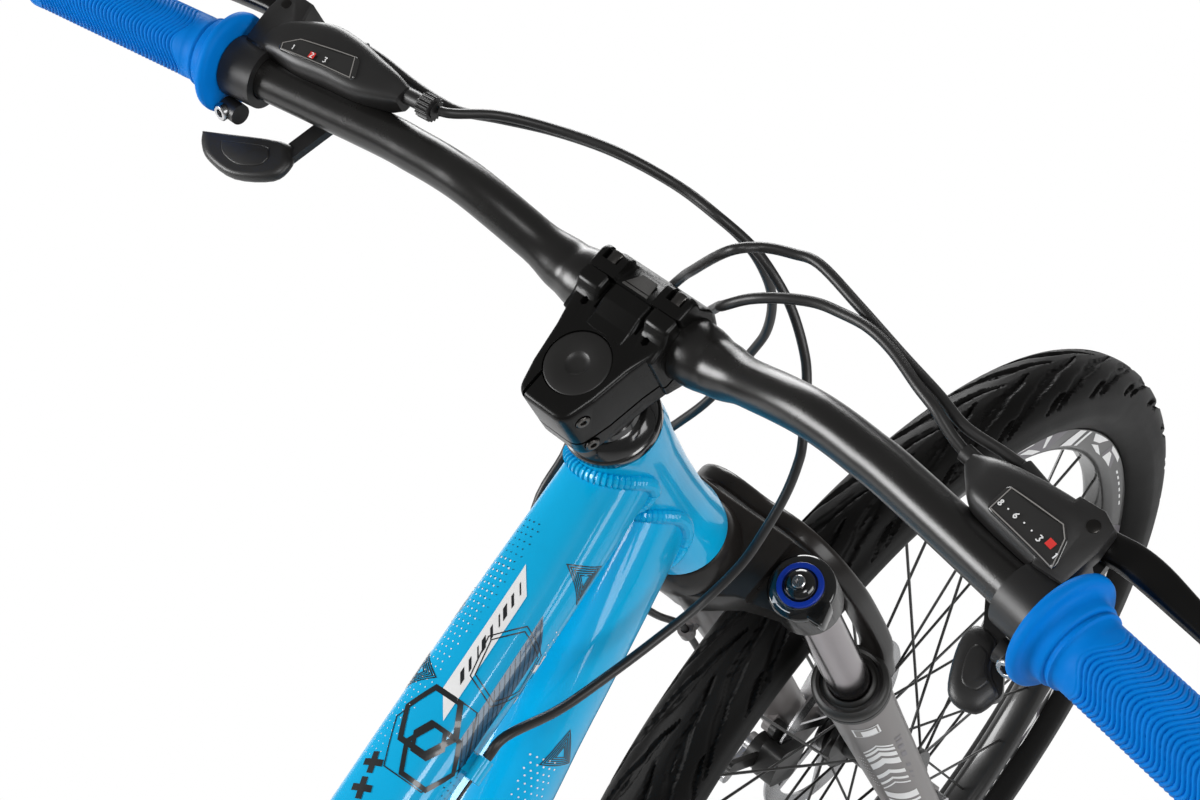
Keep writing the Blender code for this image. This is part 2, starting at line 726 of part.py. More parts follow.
def chainrings(parent):
    """Three rings riveted together between the spider's arms."""
    rings = []
    for teeth, plane, hole in zip(RING_TEETH, RING_PLANES, RING_HOLES):
        tip = tooth_tip(teeth, plane == RING_PLANES[CHAIN_RING])
        outline = circle(tip, max(16, teeth * 3 // 5))
        inner = [(a * hole / tip, b * hole / tip) for a, b in outline]
        rings.append(annulus(outline, inner, plane - RING_THICKNESS / 2, plane + RING_THICKNESS / 2, SIDE))
    rivets = []
    for k in range(4):
        at = wheel_point(RIVET_CIRCLE, math.pi / 4 + k * math.pi / 2, 0)
        low, high = at + Y * (RING_PLANES[0] - 0.0020), at + Y * (RING_PLANES[2] + 0.0015)
        rivets.append(rod(low, high, RIVET_RADIUS, 6))
    item = join(merged(rings), merged(rivets))
    return place(item, "chainrings", "black_paint", parent)


def crank_right(parent):
    """The right arm with its spindle, four-armed spider and pedal axle."""
    spindle = rod((0, -CRANK_PLANE - 0.0060, 0), (0, CRANK_PLANE - 0.0010, 0), SPINDLE_RADIUS, 12)
    boss = rod((0, -CRANK_PLANE - CRANK_BOSS, 0), (0, RING_PLANES[2] + 0.0035, 0), 0.0190, 12)
    low = RING_PLANES[0] + RING_THICKNESS / 2 + 2 * GAP
    high = RING_PLANES[1] - RING_THICKNESS / 2 - 2 * GAP
    spider = []
    for k in range(4):
        turn = Matrix.Rotation(math.pi / 2 * k, 4, "Y") @ SIDE
        spider.append(prism([(0.012, -0.0090), (0.0560, -0.0065), (0.0560, 0.0065), (0.012, 0.0090)],
                            low, high, turn))
    item = join(boss, spindle, *spider)
    item = join(item, crank_arm(-1), pedal_pin(-1))
    return place(item, "crank_right", "black_paint", parent)


def crank_arm(side):
    """A tapered arm; the right one points forward and the left one back."""
    reach = CRANK_LENGTH * -side
    rings = []
    for t, tall, thick, shift in ((-0.08, 0.0130, 0.0055, 0.0), (0.05, 0.0165, 0.0066, 0.0),
                                  (0.80, 0.0105, 0.0055, 0.003), (1.0, 0.0130, 0.0062, 0.004),
                                  (1.08, 0.0085, 0.0050, 0.004)):
        centre = Vector((reach * t, side * (CRANK_PLANE + 0.0060 + shift), 0))
        rings.append([centre + Y * a + Z * b for a, b in ellipse(thick, tall, 8, 3.2)])
    return skin(rings)


def pedal_pin(side):
    """The pedal's axle with the collar that keeps the pedal off the arm."""
    start = Vector((CRANK_LENGTH * -side, side * PEDAL_PLANE, 0))
    pin = rod(start, start + Y * side * (PEDAL_WIDTH + 0.0090), PEDAL_PIN, 8)
    collar = rod(start, start + Y * side * PEDAL_COLLAR, 0.0085, 8)
    return join(pin, collar)


def crank_left(parent):
    """The left arm, bored for the spindle."""
    boss = rod((0, CRANK_PLANE - 0.0260, 0), (0, CRANK_PLANE + CRANK_BOSS, 0), 0.0180, 12)
    item = join(boss, crank_arm(1), pedal_pin(1))
    item = cut(item, bore((0, CRANK_PLANE - 0.0300, 0),
                          (0, CRANK_PLANE - GAP, 0), SPINDLE_RADIUS + GAP, 12))
    return place(item, "crank_left", "black_paint", parent)


def pedal(name, parent, side):
    """A platform pedal on a through bore; its axle ends inside the outer wall."""
    inner = side * (PEDAL_COLLAR + 0.0005)
    half, tall = PEDAL_LENGTH / 2, PEDAL_HEIGHT / 2
    low, high = sorted((inner, inner + side * PEDAL_WIDTH))
    item = block((-half, low, -tall), (half, high, tall))
    windows = []
    for end in (-1, 1):
        c, d = sorted((end * 0.0125, end * (half - 0.0075)))
        windows.append(block((c, low + 0.012, -0.020), (d, high - 0.012, 0.020)))
    item = cut(item, merged(windows))
    far = inner + side * (PEDAL_WIDTH - 0.0010)
    item = cut(item, bore((0, inner - side * 0.0010, 0), (0, far, 0), PEDAL_PIN + RUNNING, 10))
    return place(item, name, "black_plastic", parent)


def bottom_bracket(parent):
    """A sealed cartridge: its shell, its two cup flanges and a bore for the spindle."""
    end, cup = BB_WIDTH / 2 + 0.0032, BB_WIDTH / 2 + GAP
    hole, body = SPINDLE_RADIUS + RUNNING, BB_BORE - RUNNING
    profile = [(hole, -end), (BB_CUP, -end), (BB_CUP, -cup), (body, -cup),
               (body, cup), (BB_CUP, cup), (BB_CUP, end), (hole, end)]
    item = lathe(profile, 14, Matrix.Translation(BB) @ SIDE, hole=hole)
    return place(item, "bottom_bracket", "black_plastic", parent)


def belt():
    """The chain's centre line round the cassette, ring, tension pulley and guide pulley."""
    guide, tension = pulley_centres()
    jockey = pitch_radius(PULLEY_TEETH)
    wheels = [(REAR_AXLE, pitch_radius(COG_TEETH[CHAIN_COG]), -1, CHAIN_PLANE),
              (BB, pitch_radius(RING_TEETH[CHAIN_RING]), -1, RING_PLANES[CHAIN_RING]),
              (tension, jockey, -1, CHAIN_PLANE), (guide, jockey, 1, CHAIN_PLANE)]
    headings = []
    for k, (c1, r1, s1, _) in enumerate(wheels):
        c2, r2, s2, _ = wheels[(k + 1) % len(wheels)]
        across = c2 - c1
        turn = math.asin((s2 * r2 - s1 * r1) / math.hypot(across.x, across.z))
        headings.append(math.atan2(across.z, across.x) - turn)
    line = []
    for k, (c, r, s, y) in enumerate(wheels):
        start, end = headings[k - 1], headings[k]
        sweep_angle = (end - start) * s % (2 * math.pi)
        steps = max(2, math.ceil(sweep_angle / math.radians(18.5)))
        for i in range(steps + 1):
            heading = start + s * sweep_angle * i / steps
            normal = Vector((-math.sin(heading), 0, math.cos(heading)))
            line.append(Vector((c.x, y, c.z)) - normal * s * r)
    return line


def pulley_centres():
    """The guide and tension pulleys' axles."""
    guide = REAR_AXLE + GUIDE_PULLEY
    tension = guide + Vector((math.sin(CAGE_ANGLE), 0, -math.cos(CAGE_ANGLE))) * PULLEY_SPACING
    return guide, tension


def chain(parent):
    """The chain as a flat band along the pitch line of the ring and cog that it runs on."""
    a, b = CHAIN_WIDTH / 2, CHAIN_DEPTH / 2
    section = [(-a, -b), (a, -b), (a, b), (-a, b)]
    return place(sweep(belt(), section, side=Y, closed=True), "chain", "chain_steel", parent)


def pulley(name, parent):
    """A jockey wheel, bored for its bolt."""
    tip = tooth_tip(PULLEY_TEETH, True)
    item = annulus(circle(tip, 12), opening(CAGE_BOLT + RUNNING, 12), -0.0022, 0.0022, SIDE)
    return place(item, name, "black_plastic", parent)


def derailleur_cage(parent):
    """Two plates joined by the pulleys' bolts."""
    guide, tension = pulley_centres()
    a, b = (guide.x, guide.z), (tension.x, tension.z)
    plates = []
    for low in (CHAIN_PLANE - 0.0062, CHAIN_PLANE + 0.0042):
        plates.append(prism(stadium(a, b, CAGE_HALF), low, low + 0.0020, SIDE))
    bolts = []
    for p in (guide, tension):
        near, far = Vector((p.x, CHAIN_PLANE - 0.0068, p.z)), Vector((p.x, CHAIN_PLANE + 0.0068, p.z))
        bolts.append(rod(near, far, CAGE_BOLT, 8))
    item = join(merged(plates), merged(bolts))
    return place(item, "rear_derailleur_cage", "bare_metal", parent)


def rear_derailleur(parent):
    """Hanger bolt and knuckle, slanted links, and the lower knuckle that carries the cage."""
    guide, _ = pulley_centres()
    hanger = REAR_AXLE + HANGER
    outer = -(REAR_OLD / 2 + DROPOUT)
    upper = rod((hanger.x, outer - 0.0185, hanger.z), (hanger.x, outer - GAP, hanger.z), 0.0105, 10)
    bolt = rod((hanger.x, outer - 0.0210, hanger.z), (hanger.x, outer + 0.0050, hanger.z), HANGER_BOLT, 8)
    low = CHAIN_PLANE - 0.0066
    lower = rod((guide.x, low - 0.0200, guide.z), (guide.x, low, guide.z), 0.0125, 10)
    start = Vector((hanger.x - 0.0040, outer - 0.0118, hanger.z - 0.0060))
    end = Vector((guide.x, low - 0.0120, guide.z + 0.0020))
    link = sweep([start, (start + end) / 2 + Vector((-0.004, -0.006, 0)), end],
                 ellipse(0.0085, 0.0120, 8, 4), side=Y)
    barrel = rod(hanger + Vector((-0.006, outer - 0.0100, -0.004)),
                 hanger + Vector((-0.028, outer - 0.0100, -0.008)), 0.0045, 6)
    item = join(upper, bolt, lower, link, barrel)
    near, far = Vector((guide.x, low - 0.0020, guide.z)), Vector((guide.x, low + 0.0010, guide.z))
    item = cut(item, bore(near, far, CAGE_BOLT + GAP, 8))
    return place(item, "rear_derailleur", "black_paint", parent)


def front_derailleur(parent):
    """A seat-tube band, its linkage and the cage over the chainrings."""
    centre = seat_point(0.150)
    across = SEAT_DIRECTION.cross(Y).normalized()
    band = annulus(circle(SEAT_TUBE_RADIUS + 0.0040, 12), opening(SEAT_TUBE_RADIUS + RUNNING, 12),
                   -0.0090, 0.0090, axes(centre, across, SEAT_DIRECTION))
    link = block((centre.x - 0.015, -0.046, BB.z + 0.0985),
                 (centre.x + 0.020, -SEAT_TUBE_RADIUS - 0.0012, centre.z + 0.004))
    inner, outer = RING_PLANES[2] - 0.0004 - 0.0008, RING_PLANES[0] - 0.0035
    low, high = math.radians(74), math.radians(112)
    plates = []
    for near, far, y in ((0.0640, 0.1050, inner), (0.0915, 0.1050, outer)):
        arc = [wheel_point(near, low + (high - low) * k / 3, 0) for k in range(4)]
        arc += [wheel_point(far, high - (high - low) * k / 3, 0) for k in range(4)]
        plates.append(prism([(BB.x + p.x, BB.z + p.z) for p in arc], y - 0.0008, y + 0.0008, SIDE))
    arc = [wheel_point(0.1030, low + (high - low) * k / 3, 0) for k in range(4)]
    arc += [wheel_point(0.1062, high - (high - low) * k / 3, 0) for k in range(4)]
    bridge = prism([(BB.x + p.x, BB.z + p.z) for p in arc], outer - 0.0008, inner + 0.0008, SIDE)
    item = join(band, link, bridge, *plates)
    return place(item, "front_derailleur", "black_paint", parent)


def tube(points, halves, grow=0.0, side=Y, count=10, power=2.5):
    """A frame tube: (width, depth) half-sizes along a centre line; grow moves its wall."""
    sections = [ellipse(a + grow, b + grow, count, power) for a, b in halves]
    return sweep(points, sections, side=side)


def top_tube_line():
    """The top tube's start on the steering axis, its end on the seat tube and its direction."""
    start, end = frame_point(0, TOP_TUBE_HEIGHT), seat_point(SEAT_JOINT)
    return start, end, (end - start).normalized()


def cable_stop():
    """The middle of the cable stop on the top tube's right side."""
    start, _, along = top_tube_line()
    return start + along * CABLE_STOP_AT - Y * CABLE_STOP_SIDE


def top_tube(grow, reach):
    """The top tube as a solid bar, short of the tubes it meets by the reach."""
    _, seat, _ = top_tube_line()
    start = frame_point(-reach, TOP_TUBE_HEIGHT)
    end = seat - (seat - start).normalized() * reach
    points = [start.lerp(end, t) for t in (0, 0.18, 0.55, 1)]
    wide, deep = TOP_TUBE_WIDTH / 2, TOP_TUBE_DEPTH / 2
    halves = [(wide * 0.88, deep * 1.25), (wide, deep), (wide * 0.88, deep), (wide * 0.66, deep * 1.02)]
    return tube(points, halves, grow)


def down_tube_line():
    """The down tube's curve from the head tube, and a point short of the bottom bracket."""
    bend = ((-0.004, 0.0), (-0.040, 0.006), (-0.095, 0.0175), (-0.155, 0.0360), (-0.225, 0.0680))
    line = [frame_point(x, DOWN_TUBE_HEIGHT - fall) for x, fall in bend]
    return line + [line[-1].lerp(BB, 0.82)]


def down_tube(grow, whole):
    """The down tube as a solid bar; the whole one stops short inside the bracket shell."""
    line = down_tube_line()
    end = line[-1].lerp(BB, 0.50 if whole else 1.0)
    wide, deep = DOWN_TUBE_WIDTH / 2, DOWN_TUBE_DEPTH / 2
    halves = [(wide * 0.80, deep), (wide * 0.92, deep * 0.97), (wide, deep * 0.90), (wide, deep * 0.82),
              (wide * 0.98, deep * 0.78), (wide, deep * 0.74), (wide * 1.08, deep * 0.62)]
    return tube(line + [end], halves, grow)


def head_place(up):
    """A place on the steering axis, its z along the axis."""
    return axes(frame_point(0, up), FORWARD, UP)


def front_triangle(parent):
    """Head, top, down and seat tubes and the bottom-bracket shell, welded into one hollow piece."""
    top, middle, bottom = HEAD_RADII
    height = HEAD_TOP - HEAD_BOTTOM
    head = lathe([(0, 0), (bottom, 0), (bottom, 0.012), (middle, 0.036), (middle, height - 0.034),
                  (top, height - 0.012), (top, height), (0, height)], 16, head_place(HEAD_BOTTOM))
    seat = rod(BB, seat_point(SEAT_TUBE_LENGTH), SEAT_TUBE_RADIUS, 14)
    shell = rod(BB - Y * BB_WIDTH / 2, BB + Y * BB_WIDTH / 2, BB_RADIUS, 14)
    item = join(head, top_tube(0, 0.010), down_tube(0, True), seat, shell)
    below, above = frame_point(0, HEAD_BOTTOM - 0.01), frame_point(0, HEAD_TOP + 0.01)
    inner = [top_tube(-TUBE_WALL, 0.0), down_tube(-TUBE_WALL, False), bore(below, above, 0.0175),
             bore(BB - Y * BB_WIDTH, BB + Y * BB_WIDTH, BB_BORE),
             bore(BB, seat_point(SEAT_TUBE_LENGTH + 0.035), SEATPOST_RADIUS + RUNNING)]
    depth, seat_radius = BEARING_HEIGHT + 0.0005, BEARING_RADIUS + GAP
    seats = [bore(frame_point(0, HEAD_TOP - depth), above, seat_radius, 16),
             bore(below, frame_point(0, HEAD_BOTTOM + depth), seat_radius, 16)]
    slit = block((-0.0012, -0.0012, SEAT_TUBE_LENGTH - SEAT_SLIT),
                 (0.040, 0.0012, SEAT_TUBE_LENGTH + SEAT_SLIT))
    slit.data.transform(axes(BB, -FORWARD, SEAT_DIRECTION))
    item = cut(item, *inner)
    stop, along = cable_stop(), top_tube_line()[2]
    item = join(item, rod(stop - along * 0.0060, stop + along * 0.0060, CABLE_STOP_RADIUS, 10),
                block(stop + Vector((-0.0050, 0.0, -0.0022)), stop + Vector((0.0050, 0.0100, 0.0022))))
    item = cut(item, *seats, slit, bore(stop - along * 0.02, stop + along * 0.02, CABLE_HOLE, 10))
    return place(item, "front_triangle", "frame_paint", parent)


def bearing(name, parent, low):
    """A cartridge bearing in the head tube."""
    profile = [(STEERER_RADIUS + GAP, 0), (BEARING_RADIUS, 0), (BEARING_RADIUS, BEARING_HEIGHT),
               (STEERER_RADIUS + GAP, BEARING_HEIGHT)]
    item = lathe(profile, 16, head_place(low), hole=STEERER_RADIUS + GAP)
    return place(item, name, "bare_metal", parent)


def stay(points, halves, mirror=1):
    """A stay, flattened to its half-sizes along its line; mirror puts it on the other side."""
    points = [Vector((x, y * mirror, z)) for x, y, z in points]
    return sweep(points, [ellipse(a, b, 8, 2.4) for a, b in halves], side=Y)


def rear_triangle(parent):
    """Chainstays, seat stays, bridges and dropouts, welded to the front triangle."""
    axle_z = TYRE_RADIUS
    drop = (BB.z - axle_z) / BB.x
    chain_line = [(0.036, 0.0708), (0.080, 0.0680), (0.150, 0.0605), (0.300, 0.0450), (0.360, 0.0370),
                  (0.430, 0.0290)]
    chain_halves = [(0.0045, 0.0090), (0.0060, 0.0100), (0.0068, 0.0105), (0.0068, 0.0115),
                    (0.0066, 0.0120), (0.0070, 0.0130)]
    top = seat_point(STAY_JOINT)
    out = (top - REAR_AXLE).normalized()
    reach = (top - REAR_AXLE).length
    seat_line = [(0.036, 0.0708), (0.075, 0.0668), (0.130, 0.0610), (reach - 0.159, 0.0475),
                 (reach - 0.099, 0.0390), (reach - 0.044, 0.0260), (reach, 0.0170)]
    seat_halves = [(0.0045, 0.0080), (0.0060, 0.0085), (0.0066, 0.0090), (0.0066, 0.0090), (0.0070, 0.0092),
                   (0.0075, 0.0095), (0.0078, 0.0098)]
    parts = []
    for side in (-1, 1):
        parts.append(stay([(x, y, axle_z + drop * x) for x, y in chain_line], chain_halves, side))
        parts.append(stay([(out.x * r, y, axle_z + out.z * r) for r, y in seat_line], seat_halves, side))
    upper = REAR_AXLE + out * (reach - 0.082)
    lower = REAR_AXLE.lerp(BB, 0.88)
    for at, half in ((upper, 0.036), (lower, 0.034)):
        parts.append(rod(at - Y * half, at + Y * half, STAY_BRIDGE, 8))
    inner = REAR_OLD / 2
    left = [(-0.0130, -0.0120, 0.005), (0.0140, -0.0140, 0.006), (0.0500, -0.0170, 0.004),
            (0.0600, -0.0020, 0.004), (0.0400, 0.0130, 0.008), (0.0420, 0.0300, 0.008),
            (0.0660, 0.0560, 0.004),
            (0.0560, 0.0680, 0.004), (0.0380, 0.0880, 0.008), (0.0200, 0.0860, 0.008),
            (0.0220, 0.0620, 0.008),
            (0.0100, 0.0480, 0.008), (-0.0120, 0.0530, 0.006), (-0.0220, 0.0420, 0.006),
            (-0.0150, 0.0220, 0.008)]
    right = [(-0.0140, -0.0120, 0.004), (-0.0190, -0.0340, 0.008), (-0.0010, -0.0390, 0.008),
             (0.0090, -0.0160, 0.006), (0.0500, -0.0170, 0.004), (0.0600, -0.0020, 0.004),
             (0.0400, 0.0130, 0.008),
             (0.0560, 0.0440, 0.004), (0.0440, 0.0560, 0.004), (0.0060, 0.0200, 0.010),
             (-0.0140, 0.0130, 0.006)]
    for outline, low in ((left, inner), (right, -inner - DROPOUT)):
        flat = [(x, z + axle_z) for x, z in rounded(outline, 1)]
        parts.append(prism(flat, low, low + DROPOUT, SIDE))
    item = join(parts[0], *parts[1:])
    at = radial(REAR_AXLE, REAR_CALIPER_ANGLE)
    ears = []
    for ear in EARS:
        near, far = (at @ Vector((*ear, y)) for y in (REAR_ROTOR + EAR_PLANE, inner + 0.0030))
        ears.append(rod(near, far, EAR_RADIUS, 8))
    item = join(item, *ears)
    holes = [bore(REAR_AXLE - Y * 0.09, REAR_AXLE + Y * 0.09, AXLE_RADIUS + GAP, 8),
             bore(REAR_AXLE + HANGER - Y * 0.09, REAR_AXLE + HANGER - Y * 0.05, HANGER_BOLT + RUNNING, 8)]
    slots = [block((-DROPOUT_SLOT, low, axle_z - 0.030), (DROPOUT_SLOT, high, axle_z))
             for low, high in ((-0.09, -0.05), (0.05, 0.09))]
    tubes = [bore(BB - Y * 0.06, BB + Y * 0.06, BB_RADIUS + GAP, 14),
             bore(BB, seat_point(SEAT_TUBE_LENGTH + 0.05), SEAT_TUBE_RADIUS + GAP, 14)]
    item = cut(item, *holes, *slots, *tubes)
    return place(item, "rear_triangle", "frame_paint", parent)


def seat_clamp(parent):
    """A clamp band at the seat tube's top with its bolt behind."""
    high = SEAT_TUBE_LENGTH + 0.0015
    low = high - CLAMP_WIDTH
    at = axes(BB, -FORWARD, SEAT_DIRECTION)
    bore_radius = SEAT_TUBE_RADIUS + RUNNING
    band = annulus(circle(bore_radius + CLAMP_WALL, 14), opening(bore_radius, 14), low, high, at)
    lug = block((SEAT_TUBE_RADIUS + 0.0010, -0.0080, low + 0.0010),
                (SEAT_TUBE_RADIUS + 0.0120, 0.0080, high - 0.0010))
    lug.data.transform(at)
    gap = block((SEAT_TUBE_RADIUS - 0.0050, -0.0010, low - 0.01),
                (SEAT_TUBE_RADIUS + 0.0200, 0.0010, high + 0.01))
    gap.data.transform(at)
    ends = [at @ Vector((SEAT_TUBE_RADIUS + 0.0068, y, (low + high) / 2)) for y in (-0.0110, 0.0110)]
    bolt = rod(*ends, 0.0026, 6)
    item = join(cut(join(band, lug), gap), bolt)
    return place(item, "seat_clamp", "black_paint", parent)


def seatpost(parent):
    """A hollow post with a two-part head; the group's Z runs along the seat tube."""
    top = POST_TOP
    low = top - SEATPOST_LENGTH
    post = lathe([(0, top), (0.0135, top), (SEATPOST_RADIUS, top - 0.0160),
                  (SEATPOST_RADIUS, low), (SEATPOST_RADIUS - SEATPOST_WALL, low),
                  (SEATPOST_RADIUS - SEATPOST_WALL, top - 0.030), (0, top - 0.030)], 12)
    level = Matrix.Translation((0, 0, top)) @ Matrix.Rotation(math.pi / 2 - SEAT_ANGLE, 4, "Y")
    head = sweep([(-0.020, 0, 0.0020), (0.020, 0, 0.0020)], ellipse(0.0265, 0.0078, 8, 4), side=Y)
    head.data.transform(level)
    grooves = []
    for y in (-RAIL_SPREAD, RAIL_SPREAD):
        ends = [level @ Vector((x, y, RAIL_HEIGHT)) for x in (-0.05, 0.05)]
        grooves.append(bore(*ends, RAIL_RADIUS + RUNNING, 8))
    item = cut(join(post, head), *grooves)
    return place(item, "seatpost", "black_paint", parent)


def rail_line(side):
    """One rail from its rear end to its front end."""
    return [Vector((x, side * y, z)) for x, y, z in (
        (-0.092, 0.0340, 0.0215), (-0.072, 0.0300, 0.0090), (-0.045, RAIL_SPREAD, 0.0),
        (0.045, RAIL_SPREAD, 0.0), (0.075, 0.0160, 0.0090), (0.108, 0.0085, 0.0260))]


def saddle_rails(parent):
    """Two steel rails with an upper clamp plate; Z is up, X forward, origin at the clamp."""
    rails = []
    for side in (-1, 1):
        rails.append(sweep(rail_line(side), circle(RAIL_RADIUS, 6)))
    plate = sweep([(-0.020, 0, 0.0060), (0.020, 0, 0.0060)], ellipse(0.0270, 0.0050, 8, 4), side=Y)
    item = join(plate, merged(rails))
    return place(item, "saddle_rails", "bare_metal", parent)


def saddle(parent):
    """A padded shell with a nose, a dished top and its underside over the rails."""
    rings = []
    stations = ((-0.128, 0.040, 0.024, 0.018), (-0.118, 0.060, 0.030, 0.0195),
                (-0.095, 0.0725, 0.034, 0.0215),
                (-0.060, 0.0700, 0.035, 0.0225), (-0.020, 0.0520, 0.033, 0.0205),
                (0.020, 0.0340, 0.031, 0.0190),
                (0.060, 0.0245, 0.030, 0.0200), (0.100, 0.0205, 0.030, 0.0245),
                (0.128, 0.0160, 0.028, 0.0270), (0.140, 0.0090, 0.022, 0.0270))
    section = ((-1.0, 0.10), (-0.98, 0.42), (-0.80, 0.80), (-0.42, 0.98), (0, 1.0), (0.42, 0.98),
               (0.80, 0.80), (0.98, 0.42), (1.0, 0.10), (0.86, 0.0), (0, 0.10), (-0.86, 0.0))
    for x, half, tall, low in stations:
        rings.append([Vector((x, half * y, low + tall * z)) for y, z in section])
    item = skin(rings)
    cuts = []
    for side in (-1, 1):
        line = rail_line(side)
        line[0] += (line[0] - line[1]) * 0.3
        line[-1] += (line[-1] - line[-2]) * 0.3
        cuts.append(sweep(line, circle(RAIL_RADIUS + 0.0007, 6)))
    item = cut(item, *cuts)
    return place(item, "saddle", "saddle_cover", parent)


def leg(side):
    """One lower leg, its wiper ring and the foot."""
    wiper, top, foot = LEG_RADII
    place_at = Matrix.Translation((LEG_X, side * LEG_Y, 0))
    profile = [(0, LEG_FOOT), (foot - 0.0040, LEG_FOOT), (foot, LEG_FOOT + 0.0120),
               (foot, LEG_FOOT + 0.076),
               (top, LEG_TOP - 0.0128), (wiper, LEG_TOP - 0.0125), (wiper, LEG_TOP),
               (STANCHION_RADIUS + GAP, LEG_TOP), (STANCHION_RADIUS + GAP, LEG_BORE_END), (0, LEG_BORE_END)]
    return lathe(profile, 16, place_at, hole=STANCHION_RADIUS + GAP)


def arch():
    """The brace that joins the legs in front of the crown."""
    half = [(0.0405, 0.0655, -0.3980), (0.0420, 0.0660, -0.3850), (0.0480, 0.0655, -0.3660),
            (0.0495, 0.0620, -0.3200), (0.0495, 0.0580, -0.2950), (0.0495, 0.0460, -0.2690),
            (0.0495, 0.0260, -0.2560), (0.0495, 0.0, -0.2600)]
    points = half + [(x, -y, z) for x, y, z in reversed(half[:-1])]
    return sweep(points, ellipse(0.0068, 0.0070, 8, 5), side=X)


def fork_lowers(parent):
    """Both lower legs, the brace, dropouts, brake ears and the housing guide, cast as one."""
    legs = [leg(-1), leg(1)]
    plates = []
    for side in (-1, 1):
        outline = rounded([(0.0060, -0.7140, 0.003), (0.0420, -0.7140, 0.006), (0.0480, -0.7020, 0.006),
                           (0.0440, -0.6940, 0.006), (0.0240, -0.6600, 0.010), (0.0080, -0.6600, 0.003)], 1)
        low = FRONT_OLD / 2 if side > 0 else -FRONT_OLD / 2 - FORK_DROPOUT
        plates.append(prism(outline, low, low + FORK_DROPOUT, SIDE))
    item = join(merged(legs), arch(), *plates)
    at = radial(Vector((AXLE_OFFSET, 0, AXLE_DEPTH)), FRONT_CALIPER_ANGLE)
    ears = []
    face = FRONT_ROTOR + EAR_PLANE
    for ear in EARS:
        centre = at @ Vector((*ear, 0))
        ears.append(block((centre.x, face + 0.0004, centre.z - 0.0060),
                          (0.0072, face + 0.0061, centre.z + 0.0060)))
        ears.append(rod((centre.x, face, centre.z), (centre.x, face + 0.0065, centre.z), EAR_RADIUS, 8))
    item = join(item, *ears)
    guide = rod(GUIDE_AT - Z * 0.0040, GUIDE_AT + Z * 0.0040, 0.0058, 8)
    web = block(GUIDE_AT + Vector((0.0012, -0.0034, -0.0034)), GUIDE_AT + Vector((0.0117, 0.0034, 0.0034)))
    item = join(item, web, guide)
    cuts = [bore(GUIDE_AT - Z * 0.0080, GUIDE_AT + Z * 0.0070, HOUSING_RADIUS + RUNNING, 8)]
    edge = FRONT_OLD / 2 + FORK_DROPOUT
    middle = (FRONT_OLD + FORK_DROPOUT) / 2
    for side in (-1, 1):
        outside = [Vector((AXLE_OFFSET, side * y, AXLE_DEPTH)) for y in (edge + 0.0001, edge + 0.043)]
        across = [Vector((AXLE_OFFSET, side * y, AXLE_DEPTH)) for y in (middle - 0.0085, middle + 0.0165)]
        cuts.append(bore(*outside, 0.0125, 12))
        cuts.append(bore(*across, AXLE_RADIUS + GAP, 8))
        cuts.append(block((AXLE_OFFSET - DROPOUT_SLOT, side * middle - 0.0060, AXLE_DEPTH - 0.020),
                          (AXLE_OFFSET + DROPOUT_SLOT, side * middle + 0.0060, AXLE_DEPTH)))
    item = cut(item, *cuts)
    return place(item, "fork_lowers", "grey_paint", parent)


def fork_crown(parent):
    """The steerer tube and the forging that holds both stanchions."""
    outline = [(0.0352, 0.0), (0.0356, 0.0250), (0.0362, 0.0500), (0.0362, LEG_Y)]
    for k in range(1, 4):
        angle = math.pi * k / 4.5
        outline.append((LEG_X + BOSS_RADIUS * math.cos(angle), LEG_Y + BOSS_RADIUS * math.sin(angle)))
    outline += [(-0.0010, 0.0600), (-0.0080, 0.0400), (-0.0200, 0.0240), (-0.0265, 0.0120), (-0.0270, 0.0)]
    outline += [(x, -y) for x, y in reversed(outline[1:-1])]
    body = prism(outline, CROWN_BOTTOM, BOSS_TOP + 0.0060, Matrix.Identity(4))
    race = HEAD_BOTTOM - GAP
    steerer_top = -CAP_HEIGHT - 0.0005
    cone = lathe([(0, CROWN_BOTTOM + 0.0020), (0.0265, CROWN_BOTTOM + 0.0020), (0.0300, CROWN_TOP - 0.0165),
                  (0.0255, CROWN_TOP), (CROWN_RACE, CROWN_TOP), (CROWN_RACE, race), (STEERER_RADIUS, race),
                  (STEERER_RADIUS, steerer_top), (0, steerer_top)], 16)
    hole = STANCHION_RADIUS + GAP
    ring = [(hole, BOSS_BOTTOM), (BOSS_RADIUS, BOSS_BOTTOM), (BOSS_RADIUS, BOSS_TOP), (hole, BOSS_TOP)]
    sockets, bosses, relief = [], [], []
    for side in (-1, 1):
        foot, head = (Vector((LEG_X, side * LEG_Y, u)) for u in (BOSS_BOTTOM - 0.01, BOSS_TOP + 0.02))
        sockets.append(bore(foot, head, BOSS_RADIUS - 0.0030, 16))
        bosses.append(lathe(ring, 16, Matrix.Translation((LEG_X, side * LEG_Y, 0)), hole=hole))
        edge = side * (LEG_Y - DIAL_RADIUS - 2 * GAP)
        relief.append(block((-0.040, edge, BOSS_TOP), (0.050, side * 0.110, BOSS_TOP + 0.020)))
    item = cut(cut(join(cone, body), *relief), *sockets)
    item = join(item, merged(bosses))
    item = cut(item, bore((0, 0, CROWN_BOTTOM - 0.01), (0, 0, 0), STEERER_BORE, 12))
    return place(item, "fork_crown", "black_paint", parent)


